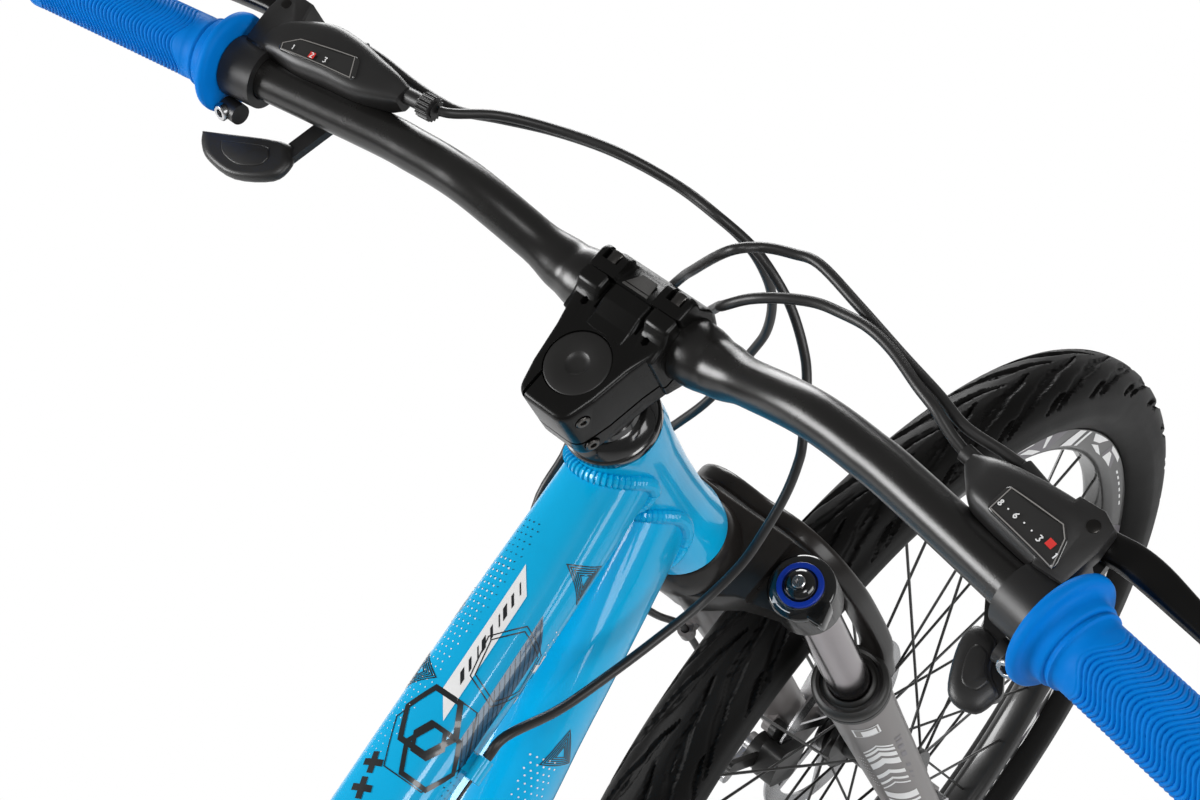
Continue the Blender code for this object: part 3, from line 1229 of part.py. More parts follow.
def stanchion(name, parent, side):
    """A tube open at the foot; the left one carries its own top cap."""
    inner = STANCHION_RADIUS - STANCHION_WALL
    top = BOSS_TOP + (GAP if side > 0 else -GAP)
    profile = [(inner, STANCHION_BOTTOM), (STANCHION_RADIUS, STANCHION_BOTTOM), (STANCHION_RADIUS, top)]
    if side > 0:
        profile = [(0, top - 0.0060), (inner, top - 0.0060)] + profile
        profile += [(0.0165, top), (0.0160, top + 0.0045), (0.0070, top + 0.0045), (0.0070, top + 0.0020),
                    (0, top + 0.0020)]
    else:
        profile += [(inner, top)]
    place_at = Matrix.Translation((LEG_X, side * LEG_Y, 0))
    return place(lathe(profile, 16, place_at), name, "bare_metal", parent)


def lockout_dial(parent):
    """The damper's dial on the right leg: a base disc, a raised ring, a tab and a screw."""
    base = BOSS_TOP + GAP
    item = lathe([(0, base), (DIAL_RADIUS, base), (0.0182, base + 0.0036), (0.0127, base + 0.0040),
                  (0.0127, base + 0.0072), (0.0050, base + 0.0084), (0.0050, base + 0.0126),
                  (0, base + 0.0126)], 14)
    tab = prism([(-0.0095, -0.0040), (-0.0250, -0.0022), (-0.0265, 0.0), (-0.0250, 0.0022),
                 (-0.0095, 0.0040)],
                base + 0.0012, base + 0.0070, Matrix.Rotation(math.radians(35), 4, "Z"))
    return place(join(item, tab), "lockout_dial", "black_plastic", parent)


def headset_cover(parent):
    """The upper headset cover, stepped like a short cone."""
    top, low = STEM_BOTTOM - GAP, HEAD_TOP + GAP
    profile = [(STEERER_RADIUS + GAP, top), (0.0182, top), (0.0186, top - 0.0095), (0.0245, low + 0.0055),
               (0.0252, low), (STEERER_RADIUS + GAP, low)]
    return place(lathe(profile, 16, hole=STEERER_RADIUS + GAP), "headset_top_cover", "black_paint", parent)


def stem(parent):
    """The stem's body: steerer clamp behind, half of the bar clamp in front."""
    split = BAR_FORWARD + CLAMP_SPLIT - 0.0002
    half = [(-0.0270, 0.0150, 0.010), (-0.0100, 0.0195, 0.010), (0.0100, 0.0215, 0.010),
            (0.0300, 0.0285, 0.006), (split, CLAMP_HALF - 0.0002, 0)]
    outline = rounded(half + [(x, -y, radius) for x, y, radius in reversed(half)], 2)
    body = prism(outline, STEM_BOTTOM, 0.0, Matrix.Identity(4))
    above, below = BAR_HEIGHT + CLAMP_TALL, BAR_HEIGHT - CLAMP_TALL
    cheek = rounded([(split, above, 0), (0.0330, above, 0.004), (0.0200, above - 0.0085, 0.006),
                     (0.0200, below + 0.0085, 0.006), (0.0330, below, 0.004), (split, below, 0)], 1)
    ears = [prism(cheek, SLOT_HALF + 0.0002, CLAMP_HALF, SIDE),
            prism(cheek, -CLAMP_HALF, -SLOT_HALF - 0.0002, SIDE)]
    item = join(body, *ears)
    cuts = [bar_bore(), bore((0, 0, -0.06), (0, 0, 0.01), STEERER_RADIUS + GAP, 16),
            bore((0, 0, -CAP_HEIGHT - RUNNING), (0, 0, 0.01), CAP_RADIUS + GAP, 16),
            block((0.0260, -SLOT_HALF, -0.0110), (0.060, SLOT_HALF, 0.020)),
            block((-0.0400, 0.0102, -0.060), (-0.0080, 0.0120, 0.010)),
            block((0.0262, -SLOT_HALF, -0.060), (0.060, SLOT_HALF, BAR_HEIGHT - 0.0070))]
    item = cut(item, *cuts)
    return place(item, "stem", "black_paint", parent)


def bar_bore():
    """The clamp's bore for the bar."""
    ends = [(BAR_FORWARD, y, BAR_HEIGHT) for y in (-0.05, 0.05)]
    return bore(*ends, BAR_CLAMP_RADIUS + GAP, 16)


def stem_faceplate(parent):
    """The clamp's front half with four ears and their bolts."""
    split = BAR_FORWARD + CLAMP_SPLIT + 0.0002
    curved = BAR_CLAMP_RADIUS + 0.0046
    upper = [(split, CLAMP_TALL), (0.0500, CLAMP_TALL), (0.0525, CLAMP_TALL - 0.0085),
             (BAR_FORWARD + curved * math.cos(math.pi / 6), curved * math.sin(math.pi / 6))]
    half = upper + [(BAR_FORWARD + curved, 0.0)]
    outline = [(x, BAR_HEIGHT + u) for x, u in half + [(x, -u) for x, u in reversed(upper)]]
    item = prism(outline, -CLAMP_HALF, CLAMP_HALF, SIDE)
    bolts = []
    for side in (-1, 1):
        for rise in (-0.0195, 0.0195):
            near, far = (Vector((x, side * 0.0200, BAR_HEIGHT + rise)) for x in (0.0480, 0.0540))
            bolts.append(rod(near, far, 0.0042, 8))
    item = join(item, *bolts)
    cuts = [bar_bore(),
            block((0.030, -SLOT_HALF, BAR_HEIGHT + 0.0100), (0.070, SLOT_HALF, BAR_HEIGHT + 0.040)),
            block((0.030, -SLOT_HALF, BAR_HEIGHT - 0.040), (0.070, SLOT_HALF, BAR_HEIGHT - 0.0100))]
    return place(cut(item, *cuts), "stem_faceplate", "black_paint", parent)


def stem_top_cap(parent):
    """The flush cap over the steerer, dished round its bolt."""
    top, low = -0.0002, -CAP_HEIGHT
    dish = top - 0.0020
    profile = [(0, low), (CAP_RADIUS, low), (CAP_RADIUS, top), (0.0085, top), (0.0070, dish), (0, dish)]
    return place(lathe(profile, 16), "stem_top_cap", "black_paint", parent)


def bar_line():
    """The right half of the bar's centre line, from the middle out, with its radii."""
    forward, height = BAR_FORWARD, BAR_HEIGHT
    flange = FLANGE_POINT
    out = Vector((-GRIP_SWEEP, 1, GRIP_RISE))
    start = [((forward, 0, height), BAR_CLAMP_RADIUS), ((forward, 0.034, height), BAR_CLAMP_RADIUS),
             ((forward, 0.050, height + 0.0015), 0.0137), ((forward, 0.068, height + 0.0085), BAR_RADIUS),
             ((forward, 0.098, height + 0.0215), BAR_RADIUS),
             ((forward - 0.0006, 0.124, height + 0.0270), BAR_RADIUS)]
    line = [(Vector(p), r) for p, r in start]
    line.append((flange + out * -0.100, BAR_RADIUS))
    line.append((flange + out * (BAR_HALF - 0.0030 - flange.y), BAR_RADIUS))
    return line


def handlebar(parent):
    """A riser bar, hollow from end to end."""
    half = bar_line()
    whole = [(Vector((p.x, -p.y, p.z)), r) for p, r in reversed(half)] + half[1:]
    outer = sweep([p for p, _ in whole], [circle(r, 8) for _, r in whole], side=X)
    ends = [whole[0][0] + (whole[0][0] - whole[1][0]).normalized() * 0.002] + [p for p, _ in whole[1:-1]]
    ends.append(whole[-1][0] + (whole[-1][0] - whole[-2][0]).normalized() * 0.002)
    inner = sweep(ends, [circle(r - 0.0030, 8) for _, r in whole], side=X)
    return place(cut(outer, inner), "handlebar", "black_paint", parent)


def grip_place(side):
    """The middle of a grip's flange, its z outward along the bar."""
    out = Vector((-GRIP_SWEEP, side, GRIP_RISE))
    return axes((FLANGE_POINT.x, side * FLANGE_POINT.y, FLANGE_POINT.z), X, out)


def grip(name, parent, side):
    """A closed-end rubber grip with its inboard flange; Z runs outward along the bar."""
    length = (BAR_HALF - FLANGE_POINT.y) * Vector((GRIP_SWEEP, 1, GRIP_RISE)).length
    half = GRIP_FLANGE / 2
    hole = BAR_RADIUS + GAP
    profile = [(hole, -half), (GRIP_FLANGE_RADIUS - 0.0020, -half), (GRIP_FLANGE_RADIUS, 0.0),
               (GRIP_FLANGE_RADIUS - 0.0020, half), (0.0180, half + 0.0015),
               (GRIP_RADIUS + 0.0007, half + 0.0160),
               (GRIP_RADIUS + 0.0007, length - 0.0040), (GRIP_RADIUS - 0.0020, length), (0, length),
               (0, length - 0.0022), (hole, length - 0.0022)]
    profile = [profile[-2], profile[-1]] + profile[:-2]
    return place(lathe(profile, 14, grip_place(side), hole=BAR_RADIUS + GAP), name, "grip_blue", parent)


def control(name, parent, side, stations):
    """A shifter pod with its clamp ring, brake perch, cable nose and thumb-lever post."""
    rings = []
    for y, x_low, x_high, low, high in stations:
        centre = Vector(((x_low + x_high) / 2, side * y, (low + high) / 2))
        rings.append([centre + X * a + Z * b for a, b in
                      ellipse((x_high - x_low) / 2, (high - low) / 2, 8, 5)])
    pod = skin(rings)
    at = grip_place(side)
    ring = rod(at @ Vector((0, 0, -0.0235)), at @ Vector((0, 0, -0.0042)), 0.0165, 12)
    near, far = sorted((side * 0.2400, side * 0.2490))
    ear = block((-0.0045, near, 0.0085), (0.0090, far, 0.0225))
    pivot = Vector((LEVER_PIVOT.x, side * LEVER_PIVOT.y, 0))
    perch = rod(pivot + Z * PERCH_LOW, pivot + Z * PERCH_HIGH, 0.0080, 10)
    near, far = sorted((side * (LEVER_PIVOT.y - 0.0100), side * (LEVER_PIVOT.y + 0.0050)))
    arm = block((0.0300, near, PERCH_LOW), (LEVER_PIVOT.x, far, PERCH_HIGH))
    thumb = Vector((THUMB_PIVOT.x, side * THUMB_PIVOT.y, 0))
    post = rod(thumb - Z * 0.0085, thumb + Z * (POD_BOTTOM + 0.004), THUMB_POST, 8)
    start, end = (Vector((x, side * y, z)) for x, y, z in (BARREL_LEFT if side > 0 else BARREL_RIGHT))
    barrel = rod(start, end, BARREL_RADIUS, 8)
    y_end, x_low, x_high, low, high = stations[-1]
    nose_x, nose_z = (x_low + x_high) / 2 + 0.0015, (low + high) / 2 + 0.0010
    if side > 0:
        nose = [rod((nose_x, y_end + 0.004, nose_z), (nose_x + 0.0018, y_end - 0.0195, nose_z), 0.0042, 8),
                rod((nose_x + 0.0010, y_end - 0.0110, nose_z),
                    (nose_x + 0.0016, y_end - 0.0180, nose_z), 0.0064, 8)]
    else:
        nose = [rod((nose_x, -y_end - 0.004, nose_z),
                    (nose_x + 0.0012, -y_end + 0.0050, nose_z + 0.0002), 0.0040, 8)]
    item = join(pod, ring, ear, perch, arm, post, barrel, *nose)
    near, far = sorted((side * (LEVER_PIVOT.y - 0.0105), side * (LEVER_PIVOT.y + 0.0250)))
    slot = block((LEVER_PIVOT.x - 0.0115, near, LEVER_PIVOT.z - 0.0060),
                 (0.0700, far, LEVER_PIVOT.z + 0.0060))
    bar_hole = bore(at @ Vector((0, 0, -0.150)), at @ Vector((0, 0, 0.030)), BAR_RADIUS + GAP, 12)
    item = cut(item, slot, bar_hole)
    item = join(item, rod(pivot + Z * (PERCH_LOW + 0.0030), pivot + Z * (PERCH_HIGH - 0.0025), LEVER_PIN, 8))
    return place(item, name, "black_plastic", parent)


def brake_lever(name, parent, side):
    """A blade on a vertical pin; its origin is the pin."""
    line = [(LEVER_PIVOT.x, LEVER_PIVOT.y), (0.0555, 0.2600), (0.0535, 0.2770), (0.0500, 0.2960),
            (0.0462, 0.3250), (0.0470, 0.3500), (0.0500, 0.3570)]
    widths = (0.0068, 0.0058, 0.0055, 0.0052, 0.0047, 0.0044, 0.0030)
    points = [Vector((x, side * y, LEVER_PIVOT.z + 0.0002)) for x, y in line]
    rings = []
    for k, (point, w) in enumerate(zip(points, widths)):
        before, after = points[max(k - 1, 0)], points[min(k + 1, len(points) - 1)]
        across = Z.cross(after - before).normalized()
        rings.append([point + across * a + Z * b for a, b in ellipse(w, 0.0053, 8, 3)])
    blade = skin(rings)
    eye = rod(points[0] - Z * 0.0055, points[0] + Z * 0.0051, LEVER_EYE, 10)
    item = join(eye, blade)
    item = cut(item, bore(points[0] - Z * 0.02, points[0] + Z * 0.02, LEVER_PIN + RUNNING, 8))
    return place(item, name, "black_paint", parent, (LEVER_PIVOT.x, side * LEVER_PIVOT.y, LEVER_PIVOT.z))


def thumb_lever(name, parent, side, outline):
    """A paddle under the bar on a post below the pod; its origin is the post."""
    centre = Vector((THUMB_PIVOT.x, side * THUMB_PIVOT.y, 0))
    low, high = PADDLE_LOW, PADDLE_HIGH
    paddle = prism([(x, side * y) for x, y in outline], low, high, Matrix.Identity(4))
    arm_end = Vector((outline[2][0] - 0.006, side * (outline[2][1] + 0.004)))
    outline = stadium((centre.x, centre.y), arm_end, 0.0052)
    arm = prism(outline, low + 0.0006, high - 0.0006, Matrix.Identity(4))
    eye = rod(centre + Z * low, centre + Z * (POD_BOTTOM - GAP - 0.0002), 0.0085, 10)
    item = join(eye, arm, paddle)
    item = cut(item, bore(centre - Z * 0.02, centre + Z * 0.02, THUMB_POST + RUNNING, 8))
    return place(item, name, "black_plastic", parent, centre)


def steer_point(x, y, u):
    """A point in steering coordinates, in the frame's own."""
    return STEM_TOP + TURNED_FORWARD * x + TURNED_LEFT * y + UP * u


def steer_line(points):
    """Points in millimetres in steering coordinates, in the frame's own."""
    return [steer_point(x / 1000, y / 1000, u / 1000) for x, y, u in points]


def frame_line(points):
    """Points in millimetres along and across the head tube, in the frame's own."""
    return [frame_point(x / 1000, u / 1000, y / 1000) for x, y, u in points]


def housing(name, points, parent, wire=()):
    """A housing along its line; a thinner bare wire may go on from its end."""
    line = [Vector(p) for p in points]
    sections = [circle(HOUSING_RADIUS, 4)] * len(line)
    if wire:
        tail = [line[-1]] + [Vector(p) for p in wire]
        line += [line[-1] + (tail[1] - line[-1]).normalized() * 0.0002] + tail[1:]
        sections += [circle(WIRE_RADIUS, 4)] * len(tail)
    return place(sweep(line, sections), name, "black_plastic", parent)


def beside_down_tube(left, below):
    """The down tube's line behind its bend, moved to its left side."""
    return [p + Y * left - UP * below for p in down_tube_line()[2:]]


def rear_brake_cable(parent):
    """From the right lever round the stem's front, along the down tube and left chainstay."""
    points = steer_line([(65.2, -203.3, 25.6), (65.5, -193, 26.2), (65, -175, 29), (70, -158, 30),
                         (77, -133, 27),
                         (87, -100, 22), (94, -72, 21), (92, -58, 20), (86, -45, 22), (76, -35, 24),
                         (71, -8, -10), (65, 12, -38), (20, 40, -75)])
    points += frame_line([(-11.6, 32.2, -97), (-45, 36.7, -114)])
    points += beside_down_tube(0.0325, 0.0)[:3]
    points += beside_down_tube(0.0335, 0.0)[3:]
    around = ((0.036, 0.0345, 0.056), (0.014, 0.0335, 0.0350), (-0.020, 0.0330, 0.0270))
    points += [BB + Vector(p) for p in around]
    points += [(0.385, 0.0380, 0.3205), (0.350, 0.0400, 0.3240), (0.300, 0.0455, 0.3295),
               (0.235, 0.0520, 0.3365), (0.180, 0.0580, 0.3435), (0.150, 0.0630, 0.3490),
               (0.128, 0.0700, 0.3580), (0.112, 0.0750, 0.3800)]
    plane = REAR_ROTOR + ARM_PLANE
    points += [(0.098, plane, 0.4120), (0.080, plane, 0.4360)]
    at = radial(REAR_AXLE + Y * REAR_ROTOR, REAR_CALIPER_ANGLE)
    points += stop_line(at, REAR_STOP, REAR_ARM)
    return housing("rear_brake_cable", points, parent, wire_line(at, REAR_STOP, REAR_ARM))


def cable_heading(at, stop, towards):
    """The stop, the arm's end and the direction between them, at the arm's plane."""
    begin = at @ Vector((*stop, ARM_PLANE))
    tip = at @ Vector((ACTUATOR[0] + towards[0], ACTUATOR[1] + towards[1], ARM_PLANE))
    return begin, tip, (begin - tip).normalized()


def stop_line(at, stop, towards):
    """The housing's straight end before a caliper's stop."""
    begin, _, away = cable_heading(at, stop, towards)
    return [begin + away * 0.018, begin + away * 0.0048]


def wire_line(at, stop, towards):
    """The bare wire from a caliper's stop to its arm."""
    begin, tip, away = cable_heading(at, stop, towards)
    return [begin, tip + away * 0.0061]


def rear_shift_cable(parent):
    """From the right shifter across the head tube, along the down tube and right chainstay."""
    points = steer_line([(56.8, -179.8, 28.5), (58.6, -173, 30.5), (63, -162, 34), (67, -150, 34),
                         (75, -130, 31),
                         (79, -113, 28), (79, -97, 25), (77, -84, 24), (71, -70, 23), (64, -56, 19),
                         (58, -42, 8), (66, -22, -25), (62, -5, -48), (38, 28, -85), (-5, 36, -115)])
    points += beside_down_tube(0.0325, 0.0090)[:3]
    points += beside_down_tube(0.0335, 0.0150)[3:]
    under = ((0.066, 0.0310, 0.0200), (0.044, 0.0200, -0.0120), (0.022, 0.0080, -0.0255),
             (-0.004, -0.0060, -0.0262), (-0.036, -0.0240, -0.0190))
    points += [BB + Vector(p) for p in under]
    points += [(0.350, -0.0400, 0.2900), (0.300, -0.0455, 0.2970), (0.235, -0.0520, 0.3060),
               (0.150, -0.0610, 0.3170), (0.110, -0.0700, 0.3200), (0.070, -0.0840, 0.3240),
               (0.020, -0.0990, 0.3280), (-0.030, -0.1010, 0.3280), (-0.066, -0.0960, 0.3200),
               (-0.068, -0.0880, 0.3110)]
    ferrule = REAR_AXLE + HANGER + Vector((-0.0284, -(REAR_OLD / 2 + DROPOUT) - 0.0100, -0.0082))
    points += [ferrule + Vector((-0.014, 0, -0.0025)), ferrule]
    return housing("rear_shift_cable", points, parent)


def front_shift_cable(parent):
    """From the left shifter to the top tube's stop, then a bare wire to the front derailleur."""
    points = steer_line([(56.3, 134.4, 27.8), (59.5, 128, 26), (74, 115, 17), (87, 90, 7),
                         (96, 60, 0), (102, 30, -13),
                         (101, 5, -17), (101, -12, -27), (98, -25, -34), (93, -38, -48),
                         (84, -50, -62), (74, -58, -74),
                         (52, -70, -89), (43, -72, -98), (30, -72, -110), (13, -70, -123), (-6, -66, -137),
                         (-33, -60, -144), (-63, -57, -137), (-92, -55, -126), (-120, -53.5, -112)])
    stop, along = cable_stop(), top_tube_line()[2]
    points += [stop - along * 0.0200 - Y * 0.0020, stop - along * 0.0066]
    ahead = Vector((math.sin(SEAT_ANGLE), 0, math.cos(SEAT_ANGLE)))
    wire = [stop, stop.lerp(seat_point(SEAT_JOINT + 0.006, -0.0230) + ahead * 0.0300, 0.5)]
    for height, left, forward in ((SEAT_JOINT + 0.004, -0.0220, 0.0300),
                                  (SEAT_JOINT - 0.004, -0.0215, 0.0190),
                                  (SEAT_JOINT - 0.020, -0.0215, 0.0140), (0.300, -0.0220, 0.0120),
                                  (0.164, -0.0260, 0.0020)):
        wire.append(seat_point(height, left) + ahead * forward)
    return housing("front_shift_cable", points, parent, wire)


def front_brake_cable(parent):
    """From the left lever past the head tube and down behind the left leg; steering coordinates."""
    line = [(67.2, 208.3, 12.4), (67.8, 198, 9.5), (67.5, 180, 5), (67.5, 160, 4), (69.5, 145, 3),
            (77, 123, 4),
            (89, 98, -3), (98, 68, -9), (104, 38, -20), (104, 12, -27), (103, -4, -33), (101, -14, -46),
            (98, -17, -68), (90, -15, -90), (80, -8, -107), (54, 5, -131), (37, 20, -150), (24, 36, -170),
            (7, 48, -187), (-12, 55, -202), (-26, 58, -250), (-29, 60, -320), (-22, 62.5, -375),
            (-13, 64.5, -412),
            (-10.2, 65, -428), (-10.2, 65, -437), (-10.2, 65, -446), (-11.5, 64.8, -480), (-18, 64.3, -520),
            (-31, 63.8, -558)]
    points = [Vector(p) / 1000 for p in line]
    at = radial(Vector((AXLE_OFFSET, FRONT_ROTOR, AXLE_DEPTH)), FRONT_CALIPER_ANGLE)
    points += stop_line(at, FRONT_STOP, FRONT_ARM)
    return housing("front_brake_cable", points, parent, wire_line(at, FRONT_STOP, FRONT_ARM))


def build():
    """Every solid, hung on the axis or slide that moves it."""
    for item in list(bpy.data.objects):
        bpy.data.objects.remove(item)
    frame = group("frame")
    front_triangle(frame)
    bearing("headset_upper_bearing", frame, HEAD_TOP - BEARING_HEIGHT)
    bearing("headset_lower_bearing", frame, HEAD_BOTTOM)
    rear_triangle(frame)
    bottom_bracket(frame)
    seat_clamp(frame)
    front_derailleur(frame)
    rear_derailleur(frame)
    derailleur_cage(frame)
    chain(frame)
    at = radial(REAR_AXLE + Y * REAR_ROTOR, REAR_CALIPER_ANGLE)
    caliper("rear_caliper", frame, at, REAR_STOP, REAR_ARM)
    caliper_arm("rear_caliper_arm", frame, at, REAR_ARM)
    rear_brake_cable(frame)
    rear_shift_cable(frame)
    front_shift_cable(frame)

    seat = group("seatpost_slide", frame, axes(BB, X, SEAT_DIRECTION))
    seatpost(seat)
    level = Matrix.Translation((0, 0, POST_TOP)) @ Matrix.Rotation(math.pi / 2 - SEAT_ANGLE, 4, "Y")
    rails = group("saddle_clamp", seat, level @ Matrix.Translation((0, 0, RAIL_HEIGHT)))
    saddle_rails(rails)
    saddle(rails)

    rear = group("rear_wheel_axis", frame, Matrix.Translation(REAR_AXLE))
    wheel_body("rear", rear, REAR_FLANGES, REAR_HUB_HALF, REAR_HUB, REAR_ROTOR, True)
    cassette(group("cassette_axis", frame, Matrix.Translation(REAR_AXLE)))
    fixed = group("rear_axle_seat", frame, Matrix.Translation(REAR_AXLE))
    axle("rear_axle", fixed, REAR_OLD, DROPOUT)
    lever_group("rear_axle_lever", fixed, REAR_OLD / 2 + DROPOUT, math.radians(38))

    crank = group("crank_axis", frame, Matrix.Translation(BB))
    crank_right(crank)
    crank_left(crank)
    chainrings(crank)
    for side, name in ((-1, "pedal_right"), (1, "pedal_left")):
        at = Matrix.Translation((CRANK_LENGTH * -side, side * PEDAL_PLANE, 0))
        pedal(name, group(name + "_axis", crank, at), side)
    for name, point in zip(("guide_pulley", "tension_pulley"), pulley_centres()):
        pulley(name, group(name + "_axis", frame, Matrix.Translation((point.x, CHAIN_PLANE, point.z))))

    turned = Matrix((TURNED_FORWARD, TURNED_LEFT, UP)).transposed().to_4x4()
    steering = group("steering_axis", frame, Matrix.Translation(STEM_TOP) @ turned)
    fork_crown(steering)
    stanchion("stanchion_left", steering, 1)
    stanchion("stanchion_right", steering, -1)
    lockout_dial(group("dial_axis", steering, Matrix.Translation((LEG_X, -LEG_Y, 0))))
    headset_cover(steering)
    stem(steering)
    stem_faceplate(steering)
    stem_top_cap(steering)
    handlebar(steering)
    front_brake_cable(steering)
    sides = ((1, "left", POD_LEFT, PADDLE_LEFT), (-1, "right", POD_RIGHT, PADDLE_RIGHT))
    for side, name, stations, paddle in sides:
        grip("grip_" + name, steering, side)
        control("control_" + name, steering, side, stations)
        brake_lever("brake_lever_" + name, steering, side)
        thumb_lever("thumb_lever_" + name, steering, side, paddle)

    slide = group("fork_slide", steering)
    fork_lowers(slide)
    axle_at = Vector((AXLE_OFFSET, 0, AXLE_DEPTH))
    at = radial(axle_at + Y * FRONT_ROTOR, FRONT_CALIPER_ANGLE)
    caliper("front_caliper", slide, at, FRONT_STOP, FRONT_ARM)
    caliper_arm("front_caliper_arm", slide, at, FRONT_ARM)
    fixed = group("front_axle_seat", slide, Matrix.Translation(axle_at))
    axle("front_axle", fixed, FRONT_OLD, FORK_DROPOUT)
    lever_group("front_axle_lever", fixed, FRONT_OLD / 2 + FORK_DROPOUT, math.radians(35))
    upright = Matrix.Rotation(math.atan2(TURNED_FORWARD.z, UP.z), 4, "Y")
    front = group("front_wheel_axis", slide, Matrix.Translation(axle_at) @ upright)
    wheel_body("front", front, FRONT_FLANGES, FRONT_HUB_HALF, FRONT_HUB, FRONT_ROTOR, False)


def lever_group(name, parent, seat_plane, angle):
    """Hang a cam lever on its pin, outside the dropout and square to the axle."""
    arm = Vector((math.cos(angle), 0, math.sin(angle)))
    pin = Vector((-math.sin(angle), 0, math.cos(angle)))
    at = Matrix((arm, Y, pin)).transposed().to_4x4()
    pivot = Matrix.Translation((0, seat_plane + CAM_REACH, 0)) @ at
    return axle_lever(name, group(name + "_axis", parent, pivot))


build()
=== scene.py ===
"""A hardtail mountain bike at real size, in metres: X forward, Y to the rider's left, Z up.

The origin is on the ground under the rear axle. The fork is turned a little to the right, as a
bike stands on its side stand or in a rack, and everything that steers is built in the steering
axis's own coordinates: forward, left and up along the axis, from the top of the stem.
"""
import json
import math

import bmesh
import bpy
import numpy as np
from mathutils import Matrix, Vector

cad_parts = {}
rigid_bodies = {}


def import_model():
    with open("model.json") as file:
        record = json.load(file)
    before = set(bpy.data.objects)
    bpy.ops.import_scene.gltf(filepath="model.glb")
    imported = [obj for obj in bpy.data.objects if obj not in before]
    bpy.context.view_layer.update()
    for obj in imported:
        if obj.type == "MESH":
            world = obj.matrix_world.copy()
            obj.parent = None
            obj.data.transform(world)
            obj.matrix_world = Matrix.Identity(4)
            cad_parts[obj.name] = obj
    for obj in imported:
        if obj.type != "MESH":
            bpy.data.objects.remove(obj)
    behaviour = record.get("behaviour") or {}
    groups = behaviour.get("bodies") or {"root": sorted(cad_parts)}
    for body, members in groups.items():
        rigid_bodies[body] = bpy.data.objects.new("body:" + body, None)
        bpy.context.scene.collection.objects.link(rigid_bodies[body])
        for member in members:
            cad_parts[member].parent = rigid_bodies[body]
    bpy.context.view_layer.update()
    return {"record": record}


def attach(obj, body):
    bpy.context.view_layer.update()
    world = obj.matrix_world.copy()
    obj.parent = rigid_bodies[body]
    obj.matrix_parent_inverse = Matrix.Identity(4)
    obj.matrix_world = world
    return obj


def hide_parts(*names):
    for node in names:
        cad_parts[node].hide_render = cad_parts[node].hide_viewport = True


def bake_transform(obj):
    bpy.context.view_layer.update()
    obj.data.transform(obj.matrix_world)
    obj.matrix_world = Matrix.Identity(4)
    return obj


for item in list(bpy.data.objects):
    bpy.data.objects.remove(item)
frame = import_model()
BODY_OF = {node: body for body, nodes in frame["record"]["behaviour"]["bodies"].items() for node in nodes}

GAP = 0.0003

# Outlines and curves have this many times the points that are asked for
FINE = 2
X, Y, Z = Vector((1, 0, 0)), Vector((0, 1, 0)), Vector((0, 0, 1))
UPRIGHT = Matrix.Identity(4)

# Wheels
TYRE_RADIUS = 0.351
TYRE_WIDTH = 0.056
TYRE_WALL = 0.0035
TREAD_FLAT = 0.009
TYRE_STEPS = 760
GROOVE_DEPTH = 0.0026
RIM_OUTER = 0.298
BEAD_RADIUS = 0.2913
RIM_INNER = 0.277
RIM_WIDTH = 0.029
RIM_WALL = 0.0022

# Each hub's half-length and its body's radius; the axle levers' angles, and how far out their cams sit
REAR_HUB = (0.0615, 0.0185)
FRONT_HUB = (0.0435, 0.0135)
REAR_LEVER_ANGLE = math.radians(38)
FRONT_LEVER_ANGLE = math.radians(35)
CAM_OUT = 0.0118

# Tread grooves, for each repeat round the tyre: lateral start and end, length, shift, half-width, side, bend
TREAD_REPEATS = 34
TREAD = ((0.0000, 0.0220, 0.090, 0.00, 0.0019, 1, 0.0026), (0.0070, 0.0330, 0.085, 0.50, 0.0023, 1, 0.0024),
         (0.0180, 0.0345, 0.050, 0.15, 0.0018, 1, 0.0012), (0.0240, 0.0345, 0.030, 0.70, 0.0015, 1, 0.0),
         (0.0000, 0.0220, 0.090, 0.50, 0.0019, -1, 0.0026), (0.0070, 0.0330, 0.085, 0.00, 0.0023, -1, 0.0024),
         (0.0180, 0.0345, 0.050, 0.65, 0.0018, -1, 0.0012), (0.0240, 0.0345, 0.030, 0.20, 0.0015, -1, 0.0))

SPOKES = 32
SPOKE_RADIUS = 0.0011
SPOKE_OFFSET = 0.0022
FLANGE_RADIUS = 0.0235
FLANGE_THICKNESS = 0.0062
AXLE_RADIUS = 0.0048
HUB_BORE = AXLE_RADIUS + 0.0006
FREEHUB_RADIUS = 0.0165
ROTOR_RADIUS = 0.080
ROTOR_THICKNESS = 0.0018
ROTOR_TRACK = 0.015
FRONT_OLD = 0.100
REAR_OLD = 0.135
FRONT_FLANGES = (-0.031, 0.024)
REAR_FLANGES = (-0.0205, 0.031)
FRONT_ROTOR = 0.0385
REAR_ROTOR = 0.0515

# Disc calipers: (out, clockwise) offsets at the axle, and out of the rotor's plane
FRONT_CALIPER_ANGLE = math.radians(130.6)
REAR_CALIPER_ANGLE = math.radians(82)
EARS = ((0.0793, 0.0185), (0.0385, -0.0169))
ACTUATOR = (0.0700, -0.0120)
ARM_PLANE = 0.0252
FRONT_STOP = (0.1193, -0.0058)
FRONT_ARM = (0.0192, -0.0252)
REAR_STOP = (0.1043, 0.0237)
REAR_ARM = (0.0314, -0.0063)

